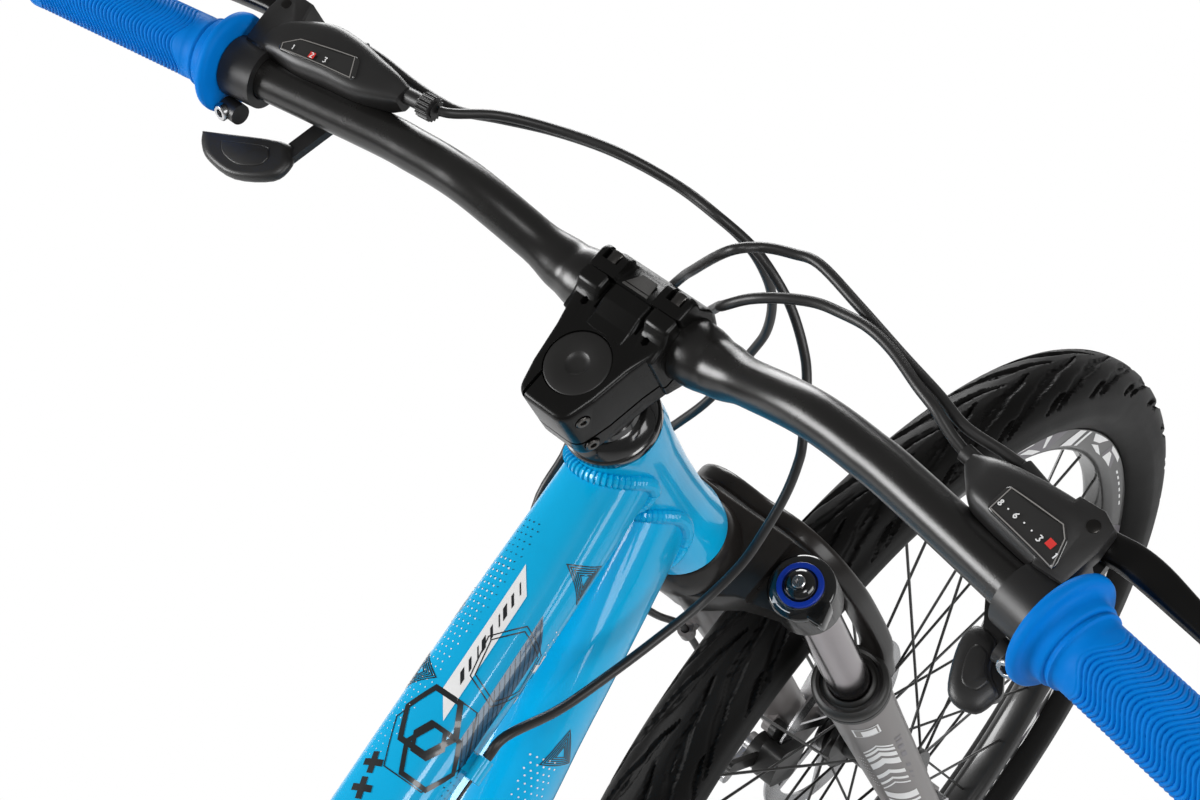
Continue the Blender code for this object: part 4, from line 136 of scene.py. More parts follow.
# Frame
WHEELBASE = 1.125
HEAD_ANGLE = math.radians(69)
SEAT_ANGLE = math.radians(73)
CHAINSTAY = 0.440
BB_DROP = 0.055
HEAD_TOP = -0.062
HEAD_BOTTOM = -0.194
HEAD_RADII = (0.0250, 0.0225, 0.0265)
BEARING_RADIUS = 0.0206
BEARING_HEIGHT = 0.0068
TOP_TUBE_HEIGHT = -0.090
TOP_TUBE_WIDTH = 0.048
TOP_TUBE_DEPTH = 0.034
DOWN_TUBE_HEIGHT = -0.144
DOWN_TUBE_WIDTH = 0.054
DOWN_TUBE_DEPTH = 0.062
TUBE_WALL = 0.0028
TUBE_INSET = 0.010
TUBE_POWER = 2.3
SEAT_TUBE_RADIUS = 0.0175
SEAT_TUBE_LENGTH = 0.465
SEAT_JOINT = 0.430
SEATPOST_RADIUS = 0.0154
SEATPOST_LENGTH = 0.350
POST_TOP = 0.634
RAIL_HEIGHT = 0.0105
RAIL_SPREAD = 0.0220
STITCH = 0.0042
BB_RADIUS = 0.0210
BB_BORE = 0.0170
BB_WIDTH = 0.068
DROPOUT = 0.0065
HANGER = Vector((-0.009, 0, -0.028))
STOP_POINT = (-0.172, -0.0880, -0.0300)

# Drivetrain
PITCH = 0.0127
RING_TEETH = (42, 32, 22)
RING_PLANES = (-0.057, -0.050, -0.043)
RING_THICKNESS = 0.0020
COG_TEETH = (11, 13, 15, 18, 21, 24, 28, 32)
COG_STEP = 0.0048
FIRST_COG = -0.0625
COG_THICKNESS = 0.0018
CHAIN_RING = 1
CHAIN_COG = 6
CHAIN_PLANE = FIRST_COG + CHAIN_COG * COG_STEP
PULLEY_TEETH = 11
TOOTH_HEIGHT = 0.0026
CHAIN_WIDTH = 0.0064
CHAIN_DEPTH = 0.0074
CRANK_LENGTH = 0.170
CRANK_PLANE = 0.066
SPINDLE_RADIUS = 0.0085
PEDAL_LENGTH = 0.098
PEDAL_WIDTH = 0.090
PEDAL_HEIGHT = 0.018
PEDAL_PIN = 0.0052
GUIDE_PULLEY = Vector((0.012, 0, -0.093))
PULLEY_SPACING = 0.075
CAGE_ANGLE = math.radians(40)

# Fork and steering, along the steering axis from the top of the stem
FORK_TURN = math.radians(-8)
AXLE_OFFSET = 0.0366
AXLE_DEPTH = -0.7062
LEG_X = 0.0182
LEG_Y = 0.0651
STANCHION_RADIUS = 0.0130
STANCHION_BOTTOM = -0.555
BOSS_RADIUS = 0.0190
CROWN_TOP = -0.1985
CROWN_BOTTOM = -0.2400
BOSS_TOP = -0.2222
BOSS_BOTTOM = -0.2450
STEERER_RADIUS = 0.0143
STEERER_BORE = 0.0115
LEG_TOP = -0.372
LEG_RADII = (0.0240, 0.0214, 0.0185)
LEG_FOOT = -0.716
LEG_BORE_END = -0.657
LEG_SHOULDER = -0.430
LEG_TAPER = 0.076
GUIDE_EYE = (-0.0102, 0.0650)
FORK_DROPOUT = 0.0070
DIAL_RADIUS = 0.0190

# Cockpit
STEM_BOTTOM = -0.0375
CAP_RADIUS = 0.0167
CAP_HEIGHT = 0.0048
BAR_FORWARD = 0.0397
BAR_HEIGHT = -0.0180
BAR_CLAMP_RADIUS = 0.0159
BAR_RADIUS = 0.0111
BAR_HALF = 0.380
CLAMP_HALF = 0.029
CLAMP_RISE = 0.0238
STEM_SPLIT = BAR_FORWARD + 0.0009
FLANGE_POINT = Vector((0.0181, 0.257, 0.0264))
GRIP_SWEEP = 0.177
GRIP_RISE = 0.130
GRIP_FLANGE_RADIUS = 0.0267
GRIP_FLANGE = 0.0070
GRIP_STEPS = 180
RIB_STEPS = 330
RIB_PITCH = 0.0025
RIB_DEPTH = 0.0016
HOUSING_RADIUS = 0.0025
WIRE_RADIUS = 0.0008
REAR_FLEX = ((-0.005, -0.115), (0.062, -0.020))

# The frame's welds and artwork
PUDDLE = 0.0026
PUDDLE_STEPS = 6
PUDDLE_RADIUS = 0.0029
PUDDLE_SWELL = 0.0013
MARK_CELL = 0.004

# The photograph's camera, in steering coordinates, and the studio; each lamp's place, size and power
FOCAL_PIXELS = 1978.485
PHOTO_WIDTH = 1200
CAMERA_RIGHT = (0.6508, -0.7078, -0.2748)
CAMERA_AHEAD = (0.1760, 0.4927, -0.8522)
CAMERA_AT = (-0.16421, -0.45965, 0.75700)
WHITE = (1, 1, 1, 1)
FLOOR_HALF = 12.0
FLOOR_LEVEL = -0.0005
LAMPS = (("rear_left", (-1.2, 2.4, 1.75), (1.3, 1.3), 95), ("front_left", (3.4, 1.75, 1.40), (1.6, 1.6), 66),
         ("right", (0.9, -3.0, 2.1), (2.4, 1.4), 58), ("overhead", (-0.4, -1.2, 3.4), (0.8, 0.8), 25))
LAMP_AIM = Vector((0.8, 0, 0.8))


def axes(origin, x_axis, z_axis):
    """A matrix whose local x and z point along the given directions."""
    z = Vector(z_axis).normalized()
    y = z.cross(Vector(x_axis)).normalized()
    x = y.cross(z)
    return Matrix.Translation(origin) @ Matrix((x, y, z)).transposed().to_4x4()


SIDE = Matrix((X, Z, Y)).transposed().to_4x4()


def to_object(bm):
    """A bmesh as a working object in the scene."""
    mesh = bpy.data.meshes.new("shape")
    bm.to_mesh(mesh)
    bm.free()
    item = bpy.data.objects.new("shape", mesh)
    bpy.context.scene.collection.objects.link(item)
    return item


def shape(bm):
    """A working object made from a closed bmesh, its faces turned outward."""
    bmesh.ops.recalc_face_normals(bm, faces=bm.faces)
    return to_object(bm)


def skin(rings, closed=False):
    """A closed solid through rings of points, all with as many points."""
    bm = bmesh.new()
    loops = [[bm.verts.new(point) for point in ring] for ring in rings]
    pairs = list(zip(loops, loops[1:]))
    if closed:
        pairs.append((loops[-1], loops[0]))
    for near, far in pairs:
        for i in range(len(near)):
            j = (i + 1) % len(near)
            bm.faces.new((near[i], near[j], far[j], far[i]))
    if not closed:
        bm.faces.new(loops[0])
        bm.faces.new(loops[-1])
    return shape(bm)


def ellipse(a, b, count, power=2.0):
    """An outline with half-axes a and b; a power above 2 squares its corners."""
    points = []
    count *= FINE
    for k in range(count):
        angle = 2 * math.pi * (k + 0.5) / count
        c, s = math.cos(angle), math.sin(angle)
        points.append((math.copysign(abs(c) ** (2 / power), c) * a, math.copysign(abs(s) ** (2 / power), s) * b))
    return points


def sweep(points, sections, side=None, closed=False):
    """Sections swept along a centre line; side keeps their first axis in one direction."""
    points = [Vector(p) for p in points]
    count = len(points)
    if not isinstance(sections[0][0], (tuple, list)):
        sections = [sections] * count
    rings, across = [], side
    for i, point in enumerate(points):
        before = points[i - 1] if i or closed else point
        after = points[(i + 1) % count] if i < count - 1 or closed else point
        tangent = (after - before).normalized()
        if across is None:
            across = tangent.orthogonal().normalized()
        normal = tangent.cross(across).normalized()
        across = side if side else normal.cross(tangent).normalized()
        flat = normal.cross(tangent).normalized()
        rings.append([point + flat * a + normal * b for a, b in sections[i]])
    return skin(rings, closed)


def between(a, b, c, d, t):
    """A point on the smooth span from b to c, with a before it and d after."""
    return 0.5 * (2 * b + (c - a) * t + (2 * a - 5 * b + 4 * c - d) * t * t + (3 * b - a - 3 * c + d) * t ** 3)


def curve(points, steps):
    """A smooth line through the given points."""
    steps *= FINE
    points = [Vector(p) for p in points]
    ends = [2 * points[0] - points[1]] + points + [2 * points[-1] - points[-2]]
    line = []
    for a, b, c, d in zip(ends, ends[1:], ends[2:], ends[3:]):
        line += [between(a, b, c, d, k / steps) for k in range(steps)]
    return line + [points[-1]]


def lathe(profile, segments, at=UPRIGHT):
    """A turned solid about a place's local z, from (radius, height) points.

    A profile that starts and ends on the axis is closed there; any other closes on itself.
    """
    bm = bmesh.new()
    closed = profile[0][0] > 0
    caps = []
    if not closed and profile[0][1] == profile[1][1]:
        profile = profile[1:]
        caps.append(0)
    if not closed and profile[-1][1] == profile[-2][1]:
        profile = profile[:-1]
        caps.append(-1)
    rows = []
    for radius, height in profile:
        ring = circle(radius, segments) if radius else [(0, 0)]
        rows.append([bm.verts.new(at @ Vector((a, b, height))) for a, b in ring])
    count = segments * FINE
    pairs = list(zip(rows, rows[1:]))
    if closed:
        pairs.append((rows[-1], rows[0]))
    for near, far in pairs:
        for k in range(count):
            m = (k + 1) % count
            ring = [near[k % len(near)], near[m % len(near)], far[m % len(far)], far[k % len(far)]]
            bm.faces.new([v for i, v in enumerate(ring) if v not in ring[:i]])
    for end in caps:
        bm.faces.new(rows[end])
    return shape(bm)


def rod(start, end, radius, sides=12):
    """A round bar between two points."""
    start, end = Vector(start), Vector(end)
    length = (end - start).length
    return lathe([(0, 0), (radius, 0), (radius, length), (0, length)], sides,
                 axes(start, (end - start).orthogonal(), end - start))


def bore(start, end, radius, sides=24):
    """A round cutter between two points."""
    return rod(start, end, radius, sides)


def cross_rod(x, z, low, high, radius, sides=12):
    """A round bar along Y."""
    return rod((x, low, z), (x, high, z), radius, sides)


def prism(outline, low, high, at=UPRIGHT):
    """An outline in a place's local xy, extruded from low to high."""
    return skin([[at @ Vector((a, b, h)) for a, b in outline] for h in (low, high)])


def block(low, high):
    """A box between two corners."""
    outline = [(low[0], low[1]), (high[0], low[1]), (high[0], high[1]), (low[0], high[1])]
    return prism(outline, low[2], high[2])


def annulus(outer, inner, low, high, at=UPRIGHT):
    """A flat ring between two outlines with as many points."""
    corners = ((outer, low), (outer, high), (inner, high), (inner, low))
    return skin([[at @ Vector((a, b, height)) for a, b in outline] for outline, height in corners], closed=True)


def circle(radius, count, start=0.5):
    """A regular outline."""
    count *= FINE
    angles = [2 * math.pi * (k + start) / count for k in range(count)]
    return [(radius * math.cos(a), radius * math.sin(a)) for a in angles]


def rounded(corners, steps=3):
    """An outline from (x, y, radius) corners with round fillets."""
    outline = []
    steps *= FINE
    for i, (x, y, radius) in enumerate(corners):
        if radius == 0:
            outline.append((x, y))
            continue
        here = Vector((x, y))
        before = Vector(corners[i - 1][:2]) - here
        after = Vector(corners[(i + 1) % len(corners)][:2]) - here
        reach = min(radius / math.tan(before.angle(after) / 2), before.length * 0.49, after.length * 0.49)
        a, b = here + before.normalized() * reach, here + after.normalized() * reach
        for k in range(steps + 1):
            t = k / steps
            point = a * (1 - t) ** 2 + here * 2 * t * (1 - t) + b * t * t
            outline.append((point.x, point.y))
    return outline


def smooth_profile(points, steps):
    """A smooth curve through flat points."""
    return [(p.x, p.y) for p in curve([Vector((a, b, 0)) for a, b in points], steps)]


def smooth_loop(outline, steps):
    """A smooth closed outline through flat points."""
    return smooth_profile(outline + outline[:1], steps)[:-1]


def smooth_line(line, steps):
    """A smooth curve through (point, radius) stations."""
    ends = [(2 * line[0][0] - line[1][0], line[0][1])] + line + [(2 * line[-1][0] - line[-2][0], line[-1][1])]
    made = []
    for a, b, c, d in zip(ends, ends[1:], ends[2:], ends[3:]):
        for k in range(steps):
            t = k / steps
            ease = t * t * (3 - 2 * t)
            made.append((between(a[0], b[0], c[0], d[0], t), b[1] + (c[1] - b[1]) * ease))
    return made + [line[-1]]


def rounding(low, high, radius, steps):
    """(inset, height) rows of an edge rounded over at both ends; an inset of 1 is the whole radius."""
    rows = []
    for k in range(steps + 1):
        angle = math.pi / 2 * k / steps
        rows.append((1 - math.sin(angle), low + radius * (1 - math.cos(angle))))
    return rows + [(inset, low + high - height) for inset, height in reversed(rows)]


def pillow(outline, low, high, radius, at=UPRIGHT, steps=3):
    """A prism whose two ends are rounded over."""
    points = [Vector(p) for p in outline]
    count = len(points)
    area = sum(points[k - 1].x * points[k].y - points[k].x * points[k - 1].y for k in range(count))
    turn = 1 if area > 0 else -1
    inward = []
    for k, here in enumerate(points):
        before = (here - points[k - 1]).normalized()
        after = (points[(k + 1) % count] - here).normalized()
        middle = (before + after).normalized()
        across = Vector((-middle.y, middle.x)) * turn
        inward.append(across / max(0.5, abs(across.dot(Vector((-after.y, after.x))))))
    return skin([[at @ Vector((*(p + n * (radius * inset)), height)) for p, n in zip(points, inward)]
                 for inset, height in rounding(low, high, radius, steps)])


def middle_of(points):
    """The mean of flat points."""
    return Vector((sum(p[0] for p in points), sum(p[1] for p in points))) / len(points)


def shrunk(outline, low, high, radius, steps=5):
    """A rounded pad: the outline drawn in toward its middle near both faces."""
    middle = middle_of(outline)
    reach = min((Vector(p) - middle).length for p in outline)
    rows = [(1 - radius / max(reach, radius * 1.3) * inset * 0.8, height)
            for inset, height in rounding(low, high, radius, steps)]
    return skin([[Vector((*(middle + (Vector(p) - middle) * share), height)) for p in outline]
                 for share, height in rows])


def combine(base, tools, operation):
    """The base joined with, or cut by, the tools."""
    for tool in tools:
        modifier = base.modifiers.new(operation.lower(), "BOOLEAN")
        modifier.operation = operation
        modifier.solver = "EXACT"
        modifier.object = tool
    bpy.context.view_layer.update()
    depsgraph = bpy.context.evaluated_depsgraph_get()
    mesh = bpy.data.meshes.new_from_object(base.evaluated_get(depsgraph))
    base.modifiers.clear()
    base.data = mesh
    for tool in tools:
        bpy.data.objects.remove(tool)
    return base


def join(base, *tools):
    """The first piece with the others added to it."""
    return combine(base, tools, "UNION")


def cut(base, *tools):
    """The first piece with the others taken out of it."""
    return combine(base, tools, "DIFFERENCE")


def clean(item):
    """Merge points that a cut has left almost on top of each other."""
    bm = bmesh.new()
    bm.from_mesh(item.data)
    bmesh.ops.remove_doubles(bm, verts=bm.verts, dist=0.00002)
    bmesh.ops.dissolve_degenerate(bm, edges=bm.edges, dist=0.00001)
    bm.to_mesh(item.data)
    bm.free()


def soften(item, width):
    """Round the hard edges of a piece."""
    edges = item.modifiers.new("edges", "BEVEL")
    edges.width = width
    edges.segments = 2
    edges.limit_method = "ANGLE"
    edges.angle_limit = math.radians(40)
    edges.harden_normals = True


def node(tree, kind, **values):
    """A shader node with some of its inputs and settings filled in."""
    made = tree.nodes.new(kind)
    for key, value in values.items():
        if key in made.inputs:
            made.inputs[key].default_value = value
        else:
            setattr(made, key, value)
    return made


def dust_and_sheen_on_top(tree, patches, colour, tint, amount):
    """A colour lightened in patches on whatever faces up: settled dust, and on the crown's finish also a painted
    sheen.
    """
    link = tree.links.new
    normal = node(tree, "ShaderNodeNewGeometry")
    split = node(tree, "ShaderNodeSeparateXYZ")
    link(normal.outputs["Normal"], split.inputs["Vector"])
    upward = node(tree, "ShaderNodeMapRange",
                  **{"From Min": 0.1, "From Max": 1.0, "To Min": 0.0, "To Max": amount})
    link(split.outputs["Z"], upward.inputs["Value"])
    patch = node(tree, "ShaderNodeMath", operation="MULTIPLY")
    link(upward.outputs["Result"], patch.inputs[0])
    link(patches, patch.inputs[1])
    dust_and_sheen_mix = node(tree, "ShaderNodeMix", data_type="RGBA")
    dust_and_sheen_mix.inputs["B"].default_value = (*tint, 1)
    link(colour, dust_and_sheen_mix.inputs["A"])
    link(patch.outputs["Value"], dust_and_sheen_mix.inputs["Factor"])
    return dust_and_sheen_mix.outputs["Result"]


def finish(name, colour, rough, metal=0.0, coat=0.0, grain=(900.0, 0.02), mottle=(40.0, 0.06), dust_and_sheen=None, ior=1.5):
    """A painted, moulded or metal surface: uneven sheen, fine grain and, where asked, a lighter tint on top faces
    for dust and painted sheen.
    """
    made = bpy.data.materials.new("look_" + name)
    made.use_nodes = True
    tree = made.node_tree
    link = tree.links.new
    shader = tree.nodes["Principled BSDF"]
    for key, value in {"Metallic": metal, "IOR": ior, "Coat Weight": coat, "Coat Roughness": 0.06}.items():
        shader.inputs[key].default_value = value
    place_at = node(tree, "ShaderNodeTexCoord")
    broad = node(tree, "ShaderNodeTexNoise", Scale=mottle[0], Detail=4.0, Roughness=0.6)
    fine = node(tree, "ShaderNodeTexNoise", Scale=grain[0], Detail=2.0)
    for noise in (broad, fine):
        link(place_at.outputs["Object"], noise.inputs["Vector"])
    sheen = node(tree, "ShaderNodeMapRange",
                 **{"To Min": max(0.02, rough - mottle[1]), "To Max": rough + mottle[1]})
    link(broad.outputs["Fac"], sheen.inputs["Value"])
    link(sheen.outputs["Result"], shader.inputs["Roughness"])
    shade = node(tree, "ShaderNodeMix", data_type="RGBA")
    shade.inputs["A"].default_value = (*[c * 0.88 for c in colour], 1)
    shade.inputs["B"].default_value = (*[min(1, c * 1.10) for c in colour], 1)
    link(broad.outputs["Fac"], shade.inputs["Factor"])
    result = shade.outputs["Result"]
    # Lighter tint on upward faces: settled dust, and for the crown's finish a painted sheen on its tops.
    if dust_and_sheen:
        result = dust_and_sheen_on_top(tree, broad.outputs["Fac"], result, *dust_and_sheen)
    link(result, shader.inputs["Base Color"])
    if grain[1]:
        bump = node(tree, "ShaderNodeBump", Strength=grain[1], Distance=0.0004)
        link(fine.outputs["Fac"], bump.inputs["Height"])
        link(bump.outputs["Normal"], shader.inputs["Normal"])
    return made


FINISHES = {
    "frame_paint": dict(colour=(0.0, 0.395, 0.715), rough=0.34, coat=0.65, grain=(1800.0, 0.01),
                        mottle=(25.0, 0.03), ior=1.20),
    "black_paint": dict(colour=(0.0090, 0.0088, 0.0083), rough=0.34, coat=0.10, grain=(2600.0, 0.05)),
    "bar_paint": dict(colour=(0.0105, 0.0100, 0.0094), rough=0.26, grain=(1900.0, 0.16), mottle=(60.0, 0.05)),
    "cap_paint": dict(colour=(0.0085, 0.0080, 0.0075), rough=0.42, grain=(2400.0, 0.04)),
    "gloss_black": dict(colour=(0.0060, 0.0060, 0.0060), rough=0.16, coat=0.4, grain=(1500.0, 0.01),
                        mottle=(40.0, 0.04)),
    "dark_metal": dict(colour=(0.045, 0.043, 0.041), rough=0.28, metal=1.0, grain=(1500.0, 0.03)),
    "cast_grey": dict(colour=(0.060, 0.058, 0.055), rough=0.62, grain=(1500.0, 0.40)),
    "grey_paint": dict(colour=(0.155, 0.143, 0.140), rough=0.42, coat=0.15, grain=(2200.0, 0.06)),
    "bare_metal": dict(colour=(0.52, 0.52, 0.53), rough=0.24, metal=1.0, grain=(1500.0, 0.03)),
    "stanchion": dict(colour=(0.31, 0.285, 0.295), rough=0.17, metal=1.0, grain=(1500.0, 0.02)),
    "stem_paint": dict(colour=(0.0050, 0.0048, 0.0045), rough=0.26, coat=0.06, grain=(2600.0, 0.06), ior=1.28),
    # The crown's and brace's upward faces get a lighter brown tint: settled dust and a painted sheen where their
    # tops catch light.
    "crown_gloss": dict(colour=(0.0090, 0.0080, 0.0074), rough=0.30, coat=0.12, grain=(2200.0, 0.03),
                        dust_and_sheen=((0.060, 0.048, 0.040), 0.35), ior=1.34),
    "wiper_black": dict(colour=(0.0120, 0.0115, 0.0105), rough=0.44, grain=(2400.0, 0.10)),
    "bolt_black": dict(colour=(0.110, 0.105, 0.100), rough=0.24, metal=1.0, grain=(1800.0, 0.03)),
    "rim_black": dict(colour=(0.0090, 0.0088, 0.0086), rough=0.30, coat=0.3, grain=(2000.0, 0.02)),
    "rim_grey": dict(colour=(0.105, 0.096, 0.112), rough=0.40, coat=0.2, grain=(2000.0, 0.03),
                     mottle=(160.0, 0.06)),
    "mark_deep": dict(colour=(0.010, 0.075, 0.150), rough=0.34, coat=0.6, grain=(1800.0, 0.02)),
    "chain_steel": dict(colour=(0.22, 0.20, 0.18), rough=0.38, metal=1.0, grain=(900.0, 0.10)),
    "rubber": dict(colour=(0.0034, 0.0033, 0.0032), rough=0.46, grain=(1400.0, 0.20), mottle=(30.0, 0.08),
                   dust_and_sheen=((0.014, 0.012, 0.011), 0.16), ior=1.19),
    "grip_blue": dict(colour=(0.0, 0.175, 0.600), rough=0.50, grain=(1600.0, 0.10), mottle=(60.0, 0.08),
                      ior=1.15),
    "ring_blue": dict(colour=(0.002, 0.035, 0.38), rough=0.30, coat=0.3, grain=(1800.0, 0.02)),
    "black_plastic": dict(colour=(0.0125, 0.0120, 0.0118), rough=0.40, grain=(3000.0, 0.10)),
    "glass_black": dict(colour=(0.0200, 0.0195, 0.0190), rough=0.10, coat=0.5, grain=(900.0, 0.0),
                        mottle=(30.0, 0.03)),
    "mark_white": dict(colour=(0.80, 0.80, 0.80), rough=0.45, grain=(1800.0, 0.02), mottle=(60.0, 0.04)),
    "mark_grey": dict(colour=(0.22, 0.21, 0.20), rough=0.45, grain=(1800.0, 0.02), mottle=(60.0, 0.04)),
    "mark_black": dict(colour=(0.006, 0.008, 0.010), rough=0.35, coat=0.4, grain=(1800.0, 0.02)),
    "mark_red": dict(colour=(0.62, 0.025, 0.020), rough=0.45, grain=(1800.0, 0.02)),
    "saddle_cover": dict(colour=(0.016, 0.016, 0.018), rough=0.55, grain=(1200.0, 0.35)),
}


def material(name):
    """A finish, made when it is first asked for."""
    return bpy.data.materials.get("look_" + name) or finish(name, **FINISHES[name])


def dress(item, name, paint, parent, sharp, bevel):
    """Name a finished piece, move it to its place in the frame, paint it and smooth it."""
    clean(item)
    item.name = name
    item.data.name = item.name
    item.data.transform(parent)
    item.data.materials.clear()
    item.data.materials.append(material(paint))
    item.data.shade_smooth()
    item.data.set_sharp_from_angle(angle=math.radians(sharp))
    if bevel:
        soften(item, bevel)


def place(item, name, paint, parent, sharp=32, bevel=0.0, flex=None):
    """Set a finished piece in the shared frame and, unless it has a flex, on its body, in place of the solid of
    that name.
    """
    dress(item, name + "_look", paint, parent, sharp, bevel)
    if flex:
        first, second, start, end = flex
        tuple(start)
        tuple(end)
        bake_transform(item)
    else:
        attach(item, BODY_OF[name])
    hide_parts(name)
    return item


def extra(item, name, tag, paint, parent, sharp=32, bevel=0.0):
    """A further piece of a part's look, on the same body."""
    dress(item, name + "_" + tag, paint, parent, sharp, bevel)
    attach(item, BODY_OF[name])


FORWARD = Vector((math.sin(HEAD_ANGLE), 0, math.cos(HEAD_ANGLE)))
UP = Vector((-math.cos(HEAD_ANGLE), 0, math.sin(HEAD_ANGLE)))
REAR_AXLE = Vector((0, 0, TYRE_RADIUS))
BB = REAR_AXLE + Vector((math.sqrt(CHAINSTAY ** 2 - BB_DROP ** 2), 0, -BB_DROP))
SEAT_DIRECTION = Vector((-math.cos(SEAT_ANGLE), 0, math.sin(SEAT_ANGLE)))
TURN = Matrix.Rotation(FORK_TURN, 3, UP)
TURNED_FORWARD = TURN @ FORWARD
TURNED_LEFT = TURN @ Y
LEAN = math.asin(TURNED_LEFT.z)


def stem_top():
    """The top of the stem on the steering axis, which sets the front tyre on the ground."""
    axle_height = TYRE_RADIUS * math.cos(LEAN) + TREAD_FLAT * abs(math.sin(LEAN)) + GAP
    height = axle_height - TURNED_FORWARD.z * AXLE_OFFSET - UP.z * AXLE_DEPTH
    forward = WHEELBASE - FORWARD.x * AXLE_OFFSET - UP.x * AXLE_DEPTH
    return Vector((forward, 0, height))


STEM_TOP = stem_top()


def frame_point(forward, up, left=0.0):
    """A point on the frame, measured along and across its steering axis."""
    return STEM_TOP + FORWARD * forward + Y * left + UP * up


def seat_point(along, left=0.0):
    """A point along the seat tube from the bottom bracket."""
    return BB + SEAT_DIRECTION * along + Y * left


def mirrored(points):
    """The same (radius, offset) points on the other side, in reverse."""
    return [(a, -b) for a, b in reversed(points)]


def tyre(name, parent):
    """An open carcass whose beads stand between the rim's flanges, its crown cut with flame-shaped grooves."""
    half, top = TYRE_WIDTH / 2, TYRE_RADIUS
    middle = (top + RIM_OUTER) / 2 - 0.002
    crown = smooth_profile([(top, 0.0), (top - 0.0006, 0.0060), (top - 0.0022, 0.0120), (top - 0.0058, 0.0182),
                            (top - 0.0110, 0.0232), (top - 0.0180, 0.0268), (middle, half)], 3)
    wall = smooth_profile([(middle, half), (middle - 0.0060, half - 0.0002), (RIM_OUTER + 0.0110, half * 0.89),
                           (RIM_OUTER + 0.0035, half * 0.66), (RIM_OUTER + 0.0006, 0.0130)], 2)[1:]
    bead = [(BEAD_RADIUS, 0.0130), (BEAD_RADIUS, 0.0096)]
    inner = [(RIM_OUTER + 0.0020, 0.0096), (RIM_OUTER + 0.0090, half * 0.70), (middle, half - TYRE_WALL),
             (top - 0.0150, half * 0.74), (top - TYRE_WALL - 0.0015, TREAD_FLAT * 0.8)]
    lengths = [0.0]
    for (r0, y0), (r1, y1) in zip(crown, crown[1:]):
        lengths.append(lengths[-1] + math.hypot(r1 - r0, y1 - y0))
    flank = [(r, y, 0.0, False) for r, y in wall + bead + inner]
    rows = [(r, y, across, True) for (r, y), across in zip(crown, lengths)] + flank
    rows += [(r, -y, -across, grooved) for r, y, across, grooved in reversed(rows[1:])]
    angles = np.arange(TYRE_STEPS) * 2 * np.pi / TYRE_STEPS
    rings = []
    for radius, offset, across, grooved in rows:
        depth = np.zeros(TYRE_STEPS)
        if grooved:
            edge = min(1.0, max(0.0, (lengths[-1] - abs(across)) / 0.004))
            depth = groove(angles * TYRE_RADIUS, np.full(TYRE_STEPS, across)) * GROOVE_DEPTH * edge
        lean = abs(across) / lengths[-1] * 1.2
        r = radius - depth * math.cos(lean)
        y = offset - depth * math.sin(lean) * (1 if offset > 0 else -1)
        rings.append(np.stack([r * np.cos(angles), y, r * np.sin(angles)], 1))
    place(skin(rings, closed=True), name, "rubber", parent, sharp=50)


def rim(name, parent):
    """A single-wall rim: two flanges, a ledge for each bead and a shallow well, with printed faces."""
    half = RIM_WIDTH / 2
    ledge = BEAD_RADIUS - GAP
    outside = [(RIM_OUTER, half - 0.0003), (RIM_OUTER - 0.0003, half), (RIM_INNER + 0.0065, half),
               (RIM_INNER + 0.0040, half - 0.0012), (RIM_INNER + 0.0010, half - 0.0045),
               (RIM_INNER, half - 0.0075)]
    inside = [(RIM_INNER + RIM_WALL, half - 0.0078), (ledge, half - 0.0055), (ledge, half - 0.0012),
              (RIM_OUTER, half - 0.0012)]
    loop = outside + mirrored(outside) + [(r, -y) for r, y in reversed(inside)] + inside
    place(lathe(loop, 90, SIDE), name, "rim_black", parent)
    rim_marks(name, parent)


def wheel_point(radius, angle, left=0):
    """A point at an angle about a wheel's axle."""
    return Vector((radius * math.cos(angle), left, radius * math.sin(angle)))


def spokes(flanges):
    """Eight spokes to a set, so that none of a set meets another."""
    sets = []
    pitch = 2 * math.pi / (SPOKES / 2)
    for side, flange in enumerate(flanges):
        for lean in (-1, 1):
            rods = []
            for k in range(SPOKES // 4):
                angle = (2 * k + (lean + 1) / 2) * pitch + side * pitch / 2
                near = wheel_point(FLANGE_RADIUS, angle, flange + lean * SPOKE_OFFSET)
                far_left = 0.0015 * (1 if side else -1)
                far = wheel_point(RIM_INNER - GAP, angle + lean * 3 * pitch, far_left)
                rods.append(rod(near, far, SPOKE_RADIUS, 4))
            sets.append(merged(rods))
    return sets


def merged(items):
    """Solids that don't meet, in one working object."""
    bm = bmesh.new()
    for item in items:
        bm.from_mesh(item.data)
        bpy.data.objects.remove(item)
    return shape(bm)


def hub(name, parent, flanges, half, body, mount, freehub):
    """A hub shell with two flanges, a disc mount on the left, and its laced spokes."""
    low, high = flanges
    thick, rim_radius = FLANGE_THICKNESS / 2, FLANGE_RADIUS + 0.0038
    profile = [(HUB_BORE, -half), (0.0100, -half)]
    if freehub:
        profile += [(0.0100, -half + 0.0010), (FREEHUB_RADIUS, -half + 0.0010), (FREEHUB_RADIUS, low - 0.0050)]
    profile += [(body, low - thick), (rim_radius, low - thick), (rim_radius, low + thick),
                (body, low + thick + 0.0020), (body, high - thick - 0.0020), (rim_radius, high - thick),
                (rim_radius, high + thick), (body, high + thick + 0.0010), (0.0205, mount - 0.0055),
                (0.0205, mount - 0.0012), (0.0168, mount - 0.0012), (0.0168, mount + 0.0030),
                (0.0100, mount + 0.0030), (0.0100, half), (HUB_BORE, half)]
    item = join(lathe(profile, 20, SIDE), *spokes(flanges))
    place(item, name, "black_paint", parent)


